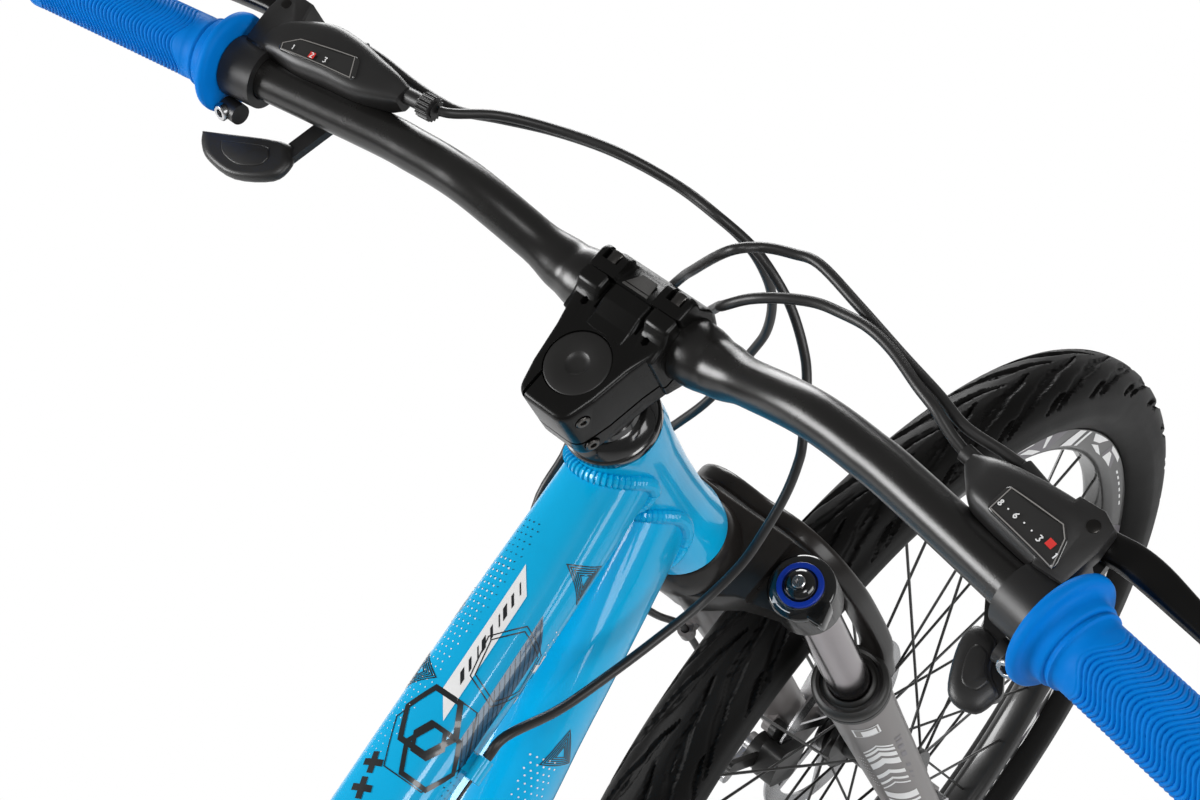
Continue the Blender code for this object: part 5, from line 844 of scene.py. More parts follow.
def rotor(name, parent, plane):
    """A brake disc: braking track, slanted arms and a bolted centre."""
    low, high = plane - ROTOR_THICKNESS / 2, plane + ROTOR_THICKNESS / 2
    track = annulus(circle(ROTOR_RADIUS, 36), circle(ROTOR_RADIUS - ROTOR_TRACK, 36), low, high, SIDE)
    centre = annulus(circle(0.0235, 18), circle(0.0172, 18), low, high, SIDE)
    arms = []
    for k in range(6):
        turn = Matrix.Rotation(2 * math.pi * k / 6, 4, "Y") @ SIDE
        outline = [(0.0215, -0.0040), (0.0668, 0.0150), (0.0660, 0.0215), (0.0215, 0.0040)]
        arms.append(prism(outline, low, high, turn))
    item = join(track, centre, merged(arms))
    place(item, name, "bare_metal", parent)


def axle(name, parent, old, dropout):
    """A quick-release axle: its tube, locknuts, end nut and the lever's housing."""
    half = old / 2
    item = cross_rod(0, 0, -half - dropout - 0.010, half + dropout + 0.0040, AXLE_RADIUS)
    nut = cross_rod(0, 0, -half - dropout - 0.0095, -half - dropout - GAP, 0.0090, 6)
    locknuts = merged([cross_rod(0, 0, s * (half - 0.0058), s * (half - GAP), 0.0085) for s in (-1, 1)])
    housing = cross_rod(0, 0, half + dropout + GAP, half + dropout + 0.0050, 0.0095, 14)
    place(join(item, nut, locknuts, housing), name, "bare_metal", parent)


def axle_lever(name, parent):
    """A cam lever; its pin lies along the local Z."""
    arm = [(-0.0045, -0.0045), (0.0040, -0.0064), (0.0300, -0.0035), (0.0560, -0.0020), (0.0585, 0.0030),
           (0.0540, 0.0060), (0.0300, 0.0045), (0.0060, 0.0055), (-0.0045, 0.0045)]
    cam = rod((0, 0, -0.0070), (0, 0, 0.0070), 0.0058)
    place(join(cam, prism(arm, -0.0042, 0.0042)), name, "bare_metal", parent)


def radial(centre, angle):
    """Local axes at an axle: out along the angle, clockwise round it, and to the left."""
    out = Vector((math.cos(angle), 0, math.sin(angle)))
    clockwise = Vector((math.sin(angle), 0, -math.cos(angle)))
    return Matrix.Translation(centre) @ Matrix((out, clockwise, Y)).transposed().to_4x4()


def caliper(name, parent, at, stop, towards):
    """A cable disc caliper, from the rotor's plane outward to its arm's pivot."""
    body = prism(rounded([(0.058, -0.022, 0.006), (0.090, -0.022, 0.008), (0.090, 0.010, 0.008),
                          (0.058, 0.010, 0.006)]), -0.0105, 0.0078, at)
    bracket = prism(stadium(EARS[0], EARS[1], 0.0072), 0.0047, 0.0102, at)
    drum = standing(at, ACTUATOR, 0.0060, 0.0205, 0.0150, 20)
    pin = standing(at, ACTUATOR, 0.0190, ARM_PLANE + 0.0050, 0.0040, 12)
    strut = prism(stadium(ACTUATOR, stop, 0.0045), 0.0080, 0.0125, at)
    tab = standing(at, stop, 0.0090, ARM_PLANE + 0.0052, 0.0044, 10)
    slot = prism([(0.040, -0.040), (0.0812, -0.040), (0.0812, 0.030), (0.040, 0.030)], -0.0017, 0.0017, at)
    begin, _, away = cable_heading(at, stop, towards)
    hole = bore(begin - away * 0.008, begin + away * 0.008, 0.0013, 10)
    place(cut(join(body, bracket, drum, pin, strut, tab), slot, hole), name, "black_paint", parent)


def stadium(a, b, radius, count=5):
    """The outline round two equal circles."""
    a, b = Vector(a), Vector(b)
    count *= FINE
    heading = math.atan2(b.y - a.y, b.x - a.x)
    points = []
    for centre, start in ((a, heading + math.pi / 2), (b, heading - math.pi / 2)):
        for k in range(count):
            angle = start + math.pi * k / (count - 1)
            points.append((centre.x + radius * math.cos(angle), centre.y + radius * math.sin(angle)))
    return points


def standing(at, spot, low, high, radius, sides):
    """A round bar along a place's local z, at a flat spot."""
    return rod(at @ Vector((*spot, low)), at @ Vector((*spot, high)), radius, sides)


def caliper_arm(name, parent, at, towards):
    """The arm that the brake cable pulls; its pivot is the actuator's pin."""
    tip = Vector(ACTUATOR) + Vector(towards)
    arm = prism(stadium(ACTUATOR, tip, 0.0056), ARM_PLANE - 0.0020, ARM_PLANE + 0.0020, at)
    boss = standing(at, ACTUATOR, ARM_PLANE - 0.0045, ARM_PLANE + 0.0030, 0.0085, 14)
    hole = standing(at, ACTUATOR, ARM_PLANE - 0.010, ARM_PLANE + 0.010, 0.0044, 14)
    place(cut(join(boss, arm), hole), name, "bare_metal", parent)


def wheel_body(prefix, parent, flanges, half, body, mount, freehub):
    """One wheel: tyre, rim, hub with its spokes, and brake disc."""
    tyre(prefix + "_tyre", parent)
    rim(prefix + "_rim", parent)
    hub(prefix + "_hub_and_spokes", parent, flanges, half, body, mount, freehub)
    rotor(prefix + "_rotor", parent, mount)


def washer(outline, radius, hole, plane, thickness):
    """A flat wheel about the axle, its hole scaled from its own outline."""
    inner = [(a * hole / radius, b * hole / radius) for a, b in outline]
    return annulus(outline, inner, plane - thickness / 2, plane + thickness / 2, SIDE)


def cassette(parent):
    """Eight cogs on one carrier that slides over the freehub."""
    width = len(COG_TEETH) * COG_STEP
    carrier = annulus(circle(0.0196, 20), circle(FREEHUB_RADIUS + 0.0004, 20), FIRST_COG - 0.0016,
                      FIRST_COG + width - 0.0020, SIDE)
    cogs = []
    for k, teeth in enumerate(COG_TEETH):
        tip = circle(tooth_tip(teeth, k == CHAIN_COG), 2 * (teeth // 2))
        cogs.append(washer(tip, tooth_tip(teeth, k == CHAIN_COG), 0.0182, FIRST_COG + k * COG_STEP, COG_THICKNESS))
    place(join(carrier, merged(cogs)), "cassette", "chain_steel", parent)


def tooth_tip(teeth, engaged):
    """The outline a toothed wheel fills; an engaged one stays inside the chain."""
    pitch = pitch_radius(teeth)
    return pitch - CHAIN_DEPTH / 2 - 0.0011 if engaged else pitch + TOOTH_HEIGHT


def pitch_radius(teeth):
    """The radius of a chain's pitch line round a toothed wheel."""
    return PITCH / (2 * math.sin(math.pi / teeth))


def chainrings(parent):
    """Three rings riveted together between the spider's arms."""
    rings = []
    for teeth, plane, hole in zip(RING_TEETH, RING_PLANES, (0.0385, 0.0385, 0.0300)):
        tip = tooth_tip(teeth, plane == RING_PLANES[CHAIN_RING])
        rings.append(washer(circle(tip, teeth), tip, hole, plane, RING_THICKNESS))
    rivets = []
    for k in range(4):
        at = wheel_point(0.0425, math.pi / 4 + k * math.pi / 2)
        rivets.append(rod(at + Y * (RING_PLANES[0] - 0.0020), at + Y * (RING_PLANES[2] + 0.0015), 0.0032, 10))
    place(join(merged(rings), merged(rivets)), "chainrings", "black_paint", parent)


def crank_right(parent):
    """The right arm with its spindle, four-armed spider and pedal axle."""
    spindle = cross_rod(0, 0, -CRANK_PLANE - 0.0060, CRANK_PLANE - 0.0010, SPINDLE_RADIUS, 16)
    boss = cross_rod(0, 0, -CRANK_PLANE - 0.0110, -0.0395, 0.0190, 20)
    low, high = RING_PLANES[0] + RING_THICKNESS / 2 + 0.0006, RING_PLANES[1] - RING_THICKNESS / 2 - 0.0006
    outline = [(0.012, -0.0090), (0.0560, -0.0065), (0.0560, 0.0065), (0.012, 0.0090)]
    spider = [prism(outline, low, high, Matrix.Rotation(math.pi / 2 * k, 4, "Y") @ SIDE) for k in range(4)]
    item = join(boss, spindle, *spider)
    place(join(item, crank_arm(-1), pedal_pin(-1)), "crank_right", "black_paint", parent)


def crank_arm(side):
    """A tapered arm; the right one points forward and the left one back."""
    rings = []
    for t, tall, thick, shift in ((-0.07, 0.013, 0.0050, 0.0), (0.0, 0.0165, 0.0068, 0.0),
                                  (0.35, 0.0125, 0.0060, 0.001), (0.80, 0.0105, 0.0055, 0.003),
                                  (1.0, 0.0130, 0.0062, 0.004), (1.07, 0.0085, 0.0050, 0.004)):
        centre = Vector((CRANK_LENGTH * -side * t, side * (CRANK_PLANE + 0.0060 + shift), 0))
        rings.append([centre + Y * a + Z * b for a, b in ellipse(thick, tall, 12, 3.2)])
    return skin(rings)


def pedal_pin(side):
    """The pedal's axle with its collar, on the end of an arm."""
    start = Vector((CRANK_LENGTH * -side, side * (CRANK_PLANE + 0.0080), 0))
    pin = rod(start, start + Y * side * (PEDAL_WIDTH + 0.0110), PEDAL_PIN)
    return join(pin, rod(start, start + Y * side * 0.0110, 0.0085))


def crank_left(parent):
    """The left arm, bored for the spindle."""
    boss = cross_rod(0, 0, CRANK_PLANE - 0.0260, CRANK_PLANE + 0.0110, 0.0180, 20)
    item = join(boss, crank_arm(1), pedal_pin(1))
    hole = cross_rod(0, 0, CRANK_PLANE - 0.0300, CRANK_PLANE - GAP, SPINDLE_RADIUS + GAP, 20)
    place(cut(item, hole), "crank_left", "black_paint", parent)


def pedal(name, parent, side):
    """A platform pedal on a through bore; its axle ends inside the outer wall."""
    inner, outer = side * 0.0115, side * (0.0115 + PEDAL_WIDTH)
    half, tall = PEDAL_LENGTH / 2, PEDAL_HEIGHT / 2
    low, high = min(inner, outer), max(inner, outer)
    item = block((-half, low, -tall), (half, high, tall))
    windows = []
    for end in (-1, 1):
        for near, far in ((0.012, 0.040), (0.050, 0.078)):
            a, b = sorted((inner + side * near, inner + side * far))
            c, d = sorted((end * 0.0125, end * (half - 0.0075)))
            windows.append(block((c, a, -0.020), (d, b, 0.020)))
    item = cut(item, merged(windows))
    hole = cross_rod(0, 0, inner - side * 0.0010, inner + side * (PEDAL_WIDTH - 0.0010), PEDAL_PIN + 0.0004, 16)
    place(cut(item, hole), name, "black_plastic", parent)


def bottom_bracket(parent):
    """A sealed cartridge: its shell, its two cup flanges and a bore for the spindle."""
    end, cup = BB_WIDTH / 2 + 0.0032, BB_WIDTH / 2 + GAP
    profile = [(SPINDLE_RADIUS + 0.0004, -end), (0.0200, -end), (0.0200, -cup), (BB_BORE - 0.0004, -cup),
               (BB_BORE - 0.0004, cup), (0.0200, cup), (0.0200, end), (SPINDLE_RADIUS + 0.0004, end)]
    place(lathe(profile, 24, Matrix.Translation(BB) @ SIDE), "bottom_bracket", "black_plastic", parent)


def belt():
    """The chain's centre line round the cassette, ring, tension pulley and guide pulley."""
    guide, tension = pulley_centres()
    wheels = [(REAR_AXLE, pitch_radius(COG_TEETH[CHAIN_COG]), -1, CHAIN_PLANE),
              (BB, pitch_radius(RING_TEETH[CHAIN_RING]), -1, RING_PLANES[CHAIN_RING]),
              (tension, pitch_radius(PULLEY_TEETH), -1, CHAIN_PLANE),
              (guide, pitch_radius(PULLEY_TEETH), 1, CHAIN_PLANE)]
    headings = []
    for k, (c1, r1, s1, _) in enumerate(wheels):
        c2, r2, s2, _ = wheels[(k + 1) % len(wheels)]
        across = c2 - c1
        turn = math.asin((s2 * r2 - s1 * r1) / math.hypot(across.x, across.z))
        headings.append(math.atan2(across.z, across.x) - turn)
    line = []
    for k, (c, r, s, y) in enumerate(wheels):
        start, end = headings[k - 1], headings[k]
        sweep_angle = (end - start) * s % (2 * math.pi)
        steps = max(2, math.ceil(sweep_angle / math.radians(15.5)))
        for i in range(steps + 1):
            heading = start + s * sweep_angle * i / steps
            normal = Vector((-math.sin(heading), 0, math.cos(heading)))
            line.append(Vector((c.x, y, c.z)) - normal * s * r)
    return line


def pulley_centres():
    """The guide pulley's and the tension pulley's centres."""
    guide = REAR_AXLE + GUIDE_PULLEY
    return guide, guide + Vector((math.sin(CAGE_ANGLE), 0, -math.cos(CAGE_ANGLE))) * PULLEY_SPACING


def chain(parent):
    """The chain as a flat band; its line is the pitch line of a chain on ring 2 and cog 7."""
    a, b = CHAIN_WIDTH / 2, CHAIN_DEPTH / 2
    section = [(-a, -b), (a, -b), (a, b), (-a, b)]
    place(sweep(belt(), section, side=Y, closed=True), "chain", "chain_steel", parent)


def pulley(name, parent):
    """A jockey wheel, bored for its bolt."""
    tip = tooth_tip(PULLEY_TEETH, True)
    place(washer(circle(tip, 22), tip, 0.0034, 0, 0.0044), name, "black_plastic", parent)


def derailleur_cage(parent):
    """Two plates joined by the pulleys' bolts and a bridge in front of the chain."""
    guide, tension = pulley_centres()
    outline = stadium((guide.x, guide.z), (tension.x, tension.z), 0.0105, 6)
    plates = [prism(outline, low, low + 0.0020, SIDE) for low in (CHAIN_PLANE - 0.0062, CHAIN_PLANE + 0.0042)]
    bolts = [cross_rod(p.x, p.z, CHAIN_PLANE - 0.0075, CHAIN_PLANE + 0.0072, 0.0030) for p in (guide, tension)]
    place(join(merged(plates), merged(bolts)), "rear_derailleur_cage", "bare_metal", parent)


def rear_derailleur(parent):
    """Hanger bolt and knuckle, slanted links, and the lower knuckle that carries the cage."""
    guide, _ = pulley_centres()
    hanger = REAR_AXLE + HANGER
    outer, low = -(REAR_OLD / 2 + DROPOUT), CHAIN_PLANE - 0.0066
    upper = cross_rod(hanger.x, hanger.z, outer - 0.0185, outer - GAP, 0.0105, 16)
    bolt = cross_rod(hanger.x, hanger.z, outer - 0.0210, outer + 0.0050, 0.0042)
    lower = cross_rod(guide.x, guide.z, low - 0.0200, low, 0.0125, 18)
    start = Vector((hanger.x - 0.0040, outer - 0.0118, hanger.z - 0.0060))
    end = Vector((guide.x, low - 0.0120, guide.z + 0.0020))
    link = sweep([start, (start + end) / 2 + Vector((-0.004, -0.006, 0)), end],
                 ellipse(0.0085, 0.0120, 10, 4), side=Y)
    barrel = rod(hanger + Vector((-0.006, outer - 0.0100, -0.004)),
                 hanger + Vector((-0.028, outer - 0.0100, -0.008)), 0.0045, 10)
    item = join(upper, bolt, lower, link, barrel)
    hole = cross_rod(guide.x, guide.z, low - 0.0020, low + 0.0010, 0.0033)
    place(cut(item, hole), "rear_derailleur", "black_paint", parent)


def front_derailleur(parent):
    """A seat-tube band, its linkage and the cage over the chainrings."""
    centre = seat_point(0.150)
    band = annulus(circle(SEAT_TUBE_RADIUS + 0.0035, 20), circle(SEAT_TUBE_RADIUS + 0.0004, 20), -0.0090, 0.0090,
                   axes(centre, SEAT_DIRECTION.cross(Y).normalized(), SEAT_DIRECTION))
    link = block((centre.x - 0.015, -0.046, BB.z + 0.0985),
                 (centre.x + 0.020, -SEAT_TUBE_RADIUS - 0.0012, centre.z + 0.004))
    inner, outer = RING_PLANES[2] - 0.0004 - 0.0008, RING_PLANES[0] - 0.0035
    low, high = math.radians(74), math.radians(112)

    def arched(near, far, start, end):
        """A plate over the rings, between two radii and two planes."""
        arc = [wheel_point(near, low + (high - low) * k / 5) for k in range(6)]
        arc += [wheel_point(far, high - (high - low) * k / 5) for k in range(6)]
        return prism([(BB.x + p.x, BB.z + p.z) for p in arc], start - 0.0008, end + 0.0008, SIDE)

    plates = [arched(0.0640, 0.1050, inner, inner), arched(0.0915, 0.1050, outer, outer)]
    item = join(band, link, arched(0.1030, 0.1062, outer, inner), *plates)
    place(item, "front_derailleur", "black_paint", parent)


def tube(points, halves, grow):
    """A frame tube: (width, depth) half-sizes along a smooth centre line; grow moves its wall."""
    line, sizes = tube_stations(points, halves)
    return sweep(line, [ellipse(a + grow, b + grow, 20, TUBE_POWER) for a, b in sizes], side=Y)


def top_tube(grow, reach):
    """The top tube's solid, or its hollow when it shrinks."""
    return tube(*top_tube_stations(reach), grow)


def down_tube_line():
    """The down tube's centre line, short of the bottom bracket."""
    line = [frame_point(x, DOWN_TUBE_HEIGHT + u) for x, u in ((-0.004, 0), (-0.040, -0.006), (-0.090, -0.0165),
                                                              (-0.150, -0.0340), (-0.225, -0.0680))]
    return line + [line[-1].lerp(BB, t) for t in (0.45, 0.82)]


def down_tube(grow, whole):
    """The down tube's solid, or its hollow when it shrinks."""
    return tube(*down_tube_stations(whole), grow)


def head_place(up):
    """A place on the steering axis, its local z along it."""
    return axes(frame_point(0, up), FORWARD, UP)


def top_tube_direction():
    """The way back along the top tube."""
    return (seat_point(SEAT_JOINT) - frame_point(0, TOP_TUBE_HEIGHT)).normalized()


def front_triangle(parent):
    """Head, top, down and seat tubes and the bottom-bracket shell, welded into one hollow piece."""
    top, middle, bottom = HEAD_RADII
    height = HEAD_TOP - HEAD_BOTTOM
    head = lathe([(0, 0), (bottom, 0), (bottom, 0.012), (middle + 0.001, 0.030), (middle, height / 2),
                  (middle + 0.0008, height - 0.030), (top, height - 0.012), (top, height), (0, height)],
                 28, head_place(HEAD_BOTTOM))
    seat = rod(BB, seat_point(SEAT_TUBE_LENGTH), SEAT_TUBE_RADIUS, 24)
    shell = rod(BB - Y * BB_WIDTH / 2, BB + Y * BB_WIDTH / 2, BB_RADIUS, 24)
    item = join(head, top_tube(0, TUBE_INSET), down_tube(0, True), seat, shell)
    below, above = frame_point(0, HEAD_BOTTOM - 0.01), frame_point(0, HEAD_TOP + 0.01)
    item = cut(item, top_tube(-TUBE_WALL, 0.0), down_tube(-TUBE_WALL, False), bore(below, above, 0.0175),
               bore(BB - Y * 0.05, BB + Y * 0.05, BB_BORE), bore(BB, seat_point(0.50), SEATPOST_RADIUS + 0.0004))
    seats = [bore(frame_point(0, HEAD_TOP - BEARING_HEIGHT - 0.0005), above, BEARING_RADIUS + GAP, 28),
             bore(below, frame_point(0, HEAD_BOTTOM + BEARING_HEIGHT + 0.0005), BEARING_RADIUS + GAP, 28)]
    slit = block((-0.0012, -0.0012, 0.4400), (0.040, 0.0012, 0.4800))
    slit.data.transform(axes(BB, -FORWARD, SEAT_DIRECTION))
    stop, along = frame_point(*STOP_POINT), top_tube_direction()
    item = join(item, rod(stop - along * 0.0060, stop + along * 0.0060, 0.0042, 10),
                block(stop + Vector((-0.0050, 0.0, -0.0022)), stop + Vector((0.0050, 0.0100, 0.0022))))
    item = cut(item, *seats, slit, bore(stop - along * 0.02, stop + along * 0.02, 0.0013, 10))
    place(item, "front_triangle", "frame_paint", parent)
    weld("top_weld", tube_skin(*top_tube_stations(TUBE_INSET)), 0.140, 0.060, parent)
    weld("down_weld", tube_skin(*down_tube_stations(True)), 0.184, 0.070, parent)
    frame_marks(parent)


def bearing(name, parent, low):
    """A cartridge bearing in the head tube."""
    profile = [(STEERER_RADIUS + GAP, 0), (BEARING_RADIUS, 0), (BEARING_RADIUS, BEARING_HEIGHT),
               (STEERER_RADIUS + GAP, BEARING_HEIGHT)]
    place(lathe(profile, 28, head_place(low)), name, "bare_metal", parent)


def stay(points, halves, side):
    """One tapered stay, given for the left side."""
    line = [Vector((x, y * side, z)) for x, y, z in points]
    return sweep(line, [ellipse(a, b, 10, 2.4) for a, b in halves], side=Y)


def stays():
    """Both chainstays and seat stays with their bridges."""
    axle_z = TYRE_RADIUS
    drop = (BB.z - axle_z) / BB.x
    chain_line = [(0.036, 0.0708), (0.080, 0.0680), (0.150, 0.0605), (0.235, 0.0515), (0.300, 0.0450),
                  (0.350, 0.0385), (0.398, 0.0320), (0.430, 0.0290)]
    chain_halves = [(0.0045, 0.0090), (0.0060, 0.0100), (0.0068, 0.0105), (0.0068, 0.0110), (0.0068, 0.0115),
                    (0.0066, 0.0120), (0.0070, 0.0130), (0.0070, 0.0130)]
    rise = seat_point(0.402) - REAR_AXLE
    out = rise.normalized()
    seat_line = [(0.036, 0.0708), (0.075, 0.0668), (0.130, 0.0610), (0.220, 0.0540), (0.300, 0.0475),
                 (0.360, 0.0390), (0.415, 0.0260), (rise.length, 0.0170)]
    seat_halves = [(0.0045, 0.0080), (0.0060, 0.0085), (0.0066, 0.0090), (0.0066, 0.0090), (0.0066, 0.0090),
                   (0.0070, 0.0092), (0.0075, 0.0095), (0.0078, 0.0098)]
    parts = []
    for side in (-1, 1):
        parts.append(stay([(x, y, axle_z + drop * x) for x, y in chain_line], chain_halves, side))
        parts.append(stay([(out.x * r, y, axle_z + out.z * r) for r, y in seat_line], seat_halves, side))
    at = REAR_AXLE + out * 0.377
    parts.append(rod(at - Y * 0.036, at + Y * 0.036, 0.0070, 10))
    parts.append(cross_rod(0.384, axle_z + drop * 0.384, -0.034, 0.034, 0.0070, 10))
    return parts


def dropouts():
    """The left plate, which carries the brake, and the right one with the derailleur's hanger."""
    left = [(-0.0130, -0.0120, 0.005), (0.0140, -0.0140, 0.006), (0.0500, -0.0170, 0.004),
            (0.0600, -0.0020, 0.004), (0.0400, 0.0130, 0.008), (0.0420, 0.0300, 0.008),
            (0.0660, 0.0560, 0.004), (0.0560, 0.0680, 0.004), (0.0380, 0.0880, 0.008),
            (0.0200, 0.0860, 0.008), (0.0220, 0.0620, 0.008), (0.0100, 0.0480, 0.008),
            (-0.0120, 0.0530, 0.006), (-0.0220, 0.0420, 0.006), (-0.0150, 0.0220, 0.008)]
    right = [(-0.0140, -0.0120, 0.004), (-0.0190, -0.0340, 0.008), (-0.0010, -0.0390, 0.008),
             (0.0090, -0.0160, 0.006), (0.0500, -0.0170, 0.004), (0.0600, -0.0020, 0.004), (0.0400, 0.0130, 0.008),
             (0.0560, 0.0440, 0.004), (0.0440, 0.0560, 0.004), (0.0060, 0.0200, 0.010), (-0.0140, 0.0130, 0.006)]
    plates = []
    for outline, low in ((left, REAR_OLD / 2), (right, -REAR_OLD / 2 - DROPOUT)):
        flat = [(x, z + TYRE_RADIUS) for x, z in rounded(outline, 2)]
        plates.append(prism(flat, low, low + DROPOUT, SIDE))
    return plates


def rear_triangle(parent):
    """Chainstays, seat stays, bridges and dropouts, welded to the front triangle."""
    parts = stays() + dropouts()
    item = join(parts[0], *parts[1:])
    at = radial(REAR_AXLE, REAR_CALIPER_ANGLE)
    item = join(item, *[standing(at, ear, REAR_ROTOR + 0.0105, REAR_OLD / 2 + 0.0030, 0.0068, 14) for ear in EARS])
    holes = [bore(REAR_AXLE - Y * 0.09, REAR_AXLE + Y * 0.09, AXLE_RADIUS + GAP, 16),
             bore(REAR_AXLE + HANGER - Y * 0.09, REAR_AXLE + HANGER - Y * 0.05, 0.0046, 16)]
    slots = [block((-0.0050, low, TYRE_RADIUS - 0.030), (0.0050, low + 0.04, TYRE_RADIUS))
             for low in (-0.09, 0.05)]
    tubes = [bore(BB - Y * 0.06, BB + Y * 0.06, BB_RADIUS + GAP, 28),
             bore(BB, seat_point(SEAT_TUBE_LENGTH + 0.05), SEAT_TUBE_RADIUS + GAP, 28)]
    place(cut(item, *holes, *slots, *tubes), "rear_triangle", "frame_paint", parent)


def seat_clamp(parent):
    """A clamp band at the seat tube's top with its bolt behind."""
    low, high = SEAT_TUBE_LENGTH - 0.0150, SEAT_TUBE_LENGTH + 0.0015
    radius, middle = SEAT_TUBE_RADIUS, (low + high) / 2
    at = axes(BB, -FORWARD, SEAT_DIRECTION)
    band = annulus(circle(radius + 0.0036, 20), circle(radius + 0.0004, 20), low, high, at)
    lug = block((radius + 0.0010, -0.0080, low + 0.0010), (radius + 0.0120, 0.0080, high - 0.0010))
    gap = block((radius - 0.0050, -0.0010, low - 0.01), (radius + 0.0200, 0.0010, high + 0.01))
    for item in (lug, gap):
        item.data.transform(at)
    bolt = rod(at @ Vector((radius + 0.0068, -0.0110, middle)), at @ Vector((radius + 0.0068, 0.0110, middle)),
               0.0026, 10)
    place(join(cut(join(band, lug), gap), bolt), "seat_clamp", "black_paint", parent)


def saddle_level():
    """The top of the post, turned level, in the seat tube's own place."""
    return Matrix.Translation((0, 0, POST_TOP)) @ Matrix.Rotation(math.pi / 2 - SEAT_ANGLE, 4, "Y")


def seatpost(parent):
    """A hollow post with a two-part head; the place's Z runs along the seat tube."""
    top = POST_TOP
    low = top - SEATPOST_LENGTH
    post = lathe([(0, top), (0.0128, top - 0.0040), (0.0145, top - 0.0110), (SEATPOST_RADIUS, top - 0.0160),
                  (SEATPOST_RADIUS, low), (SEATPOST_RADIUS - 0.0025, low), (SEATPOST_RADIUS - 0.0025, top - 0.030),
                  (0, top - 0.026)], 24)
    level = saddle_level()
    head = sweep([(-0.020, 0, 0.0020), (0.020, 0, 0.0020)], ellipse(0.0265, 0.0078, 12, 4), side=Y)
    head.data.transform(level)
    channels = []
    for side in (-1, 1):
        start, end = (level @ Vector((x, side * RAIL_SPREAD, RAIL_HEIGHT)) for x in (-0.05, 0.05))
        channels.append(bore(start, end, 0.0039, 14))
    place(cut(join(post, head), *channels), "seatpost", "black_paint", parent)


def rail(side, back, front, radius):
    """One rail's bar, or the channel for it, between ends given for the left side."""
    points = [back, (-0.075, 0.031, 0.0100), (-0.045, RAIL_SPREAD, 0.0), (0.045, RAIL_SPREAD, 0.0),
              (0.085, 0.014, 0.0100), front]
    return sweep(curve([(x, side * y, z) for x, y, z in points], 2), circle(radius, 8))


def saddle_rails(parent):
    """Two steel rails with an upper clamp plate; Z is up, X forward, origin at the clamp."""
    rails = [rail(side, (-0.092, 0.034, 0.0200), (0.118, 0.0075, 0.0220), 0.0035) for side in (-1, 1)]
    plate = sweep([(-0.020, 0, 0.0060), (0.020, 0, 0.0060)], ellipse(0.0270, 0.0050, 12, 4), side=Y)
    place(join(plate, merged(rails)), "saddle_rails", "bare_metal", parent)


def saddle(parent):
    """A padded shell with a nose, a dished top, a stitched seam and its underside over the rails."""
    rows = ((-0.128, 0.040, 0.024, 0.018), (-0.118, 0.060, 0.030, 0.0195), (-0.095, 0.0725, 0.034, 0.0215),
            (-0.060, 0.0700, 0.035, 0.0225), (-0.020, 0.0520, 0.033, 0.0205), (0.020, 0.0340, 0.031, 0.0190),
            (0.060, 0.0245, 0.030, 0.0200), (0.100, 0.0205, 0.030, 0.0245), (0.128, 0.0160, 0.028, 0.0270),
            (0.140, 0.0090, 0.022, 0.0270))
    places = curve([row[:3] for row in rows], 2)
    lows = curve([(row[3], 0, 0) for row in rows], 2)
    flank = [(-1.0, 0.10), (-1.0, 0.28), (-0.97, 0.48), (-0.90, 0.68), (-0.78, 0.83), (-0.60, 0.93),
             (-0.40, 0.985), (-0.20, 0.995), (-0.08, 0.975)]
    under = [(0.86, 0.0), (0, 0.10), (-0.86, 0.0)]
    section = flank + [(0.0, 0.965)] + [(-y, z) for y, z in reversed(flank)] + under
    rings, seam = [], {-1: [], 1: []}
    for spot, low in zip(places, lows):
        half, tall, under = spot.y, spot.z, low.x
        rings.append([Vector((spot.x, half * y, under + tall * z)) for y, z in section])
        for side in (-1, 1):
            seam[side].append(Vector((spot.x, side * half * 0.905, under + tall * 0.665)))
    cuts = [rail(side, (-0.096, 0.0345, 0.0225), (0.122, 0.0070, 0.0235), 0.0041) for side in (-1, 1)]
    item = cut(skin(rings), *cuts)
    stitches = []
    for line in seam.values():
        for a, b in zip(line, line[1:]):
            pieces = max(1, round((b - a).length / STITCH))
            for k in range(pieces):
                first, last = a.lerp(b, (k + 0.15) / pieces), a.lerp(b, (k + 0.80) / pieces)
                stitches.append(rod(first, last, 0.00055, 4))
    extra(merged(stitches), "saddle", "stitches", "mark_grey", parent)
    for side, tag in ((1, "left"), (-1, "right")):
        extra(sweep(seam[side], circle(0.0009, 6)), "saddle", "seam_" + tag, "saddle_cover", parent)
    made = place(item, "saddle", "saddle_cover", parent, sharp=50)


def leg_place(side):
    """The place of a fork leg, its local z along the steering axis."""
    return Matrix.Translation((LEG_X, side * LEG_Y, 0))


def leg(side):
    """One lower leg below its wiper collar, and the foot."""
    wiper_radius, top, foot = LEG_RADII
    collar, throat = wiper_radius - 0.0006, STANCHION_RADIUS + 0.0020
    profile = [(0, LEG_FOOT), (0.0120, LEG_FOOT), (foot - 0.0030, LEG_FOOT + 0.0040),
               (foot - 0.0005, LEG_FOOT + 0.012), (foot, LEG_FOOT + LEG_TAPER), (top - 0.0005, LEG_SHOULDER),
               (top, LEG_TOP - 0.0170), (collar, LEG_TOP - 0.0150), (collar, LEG_TOP - 0.0132),
               (throat, LEG_TOP - 0.0132), (throat, LEG_BORE_END), (0, LEG_BORE_END)]
    return lathe(profile, 28, leg_place(side))


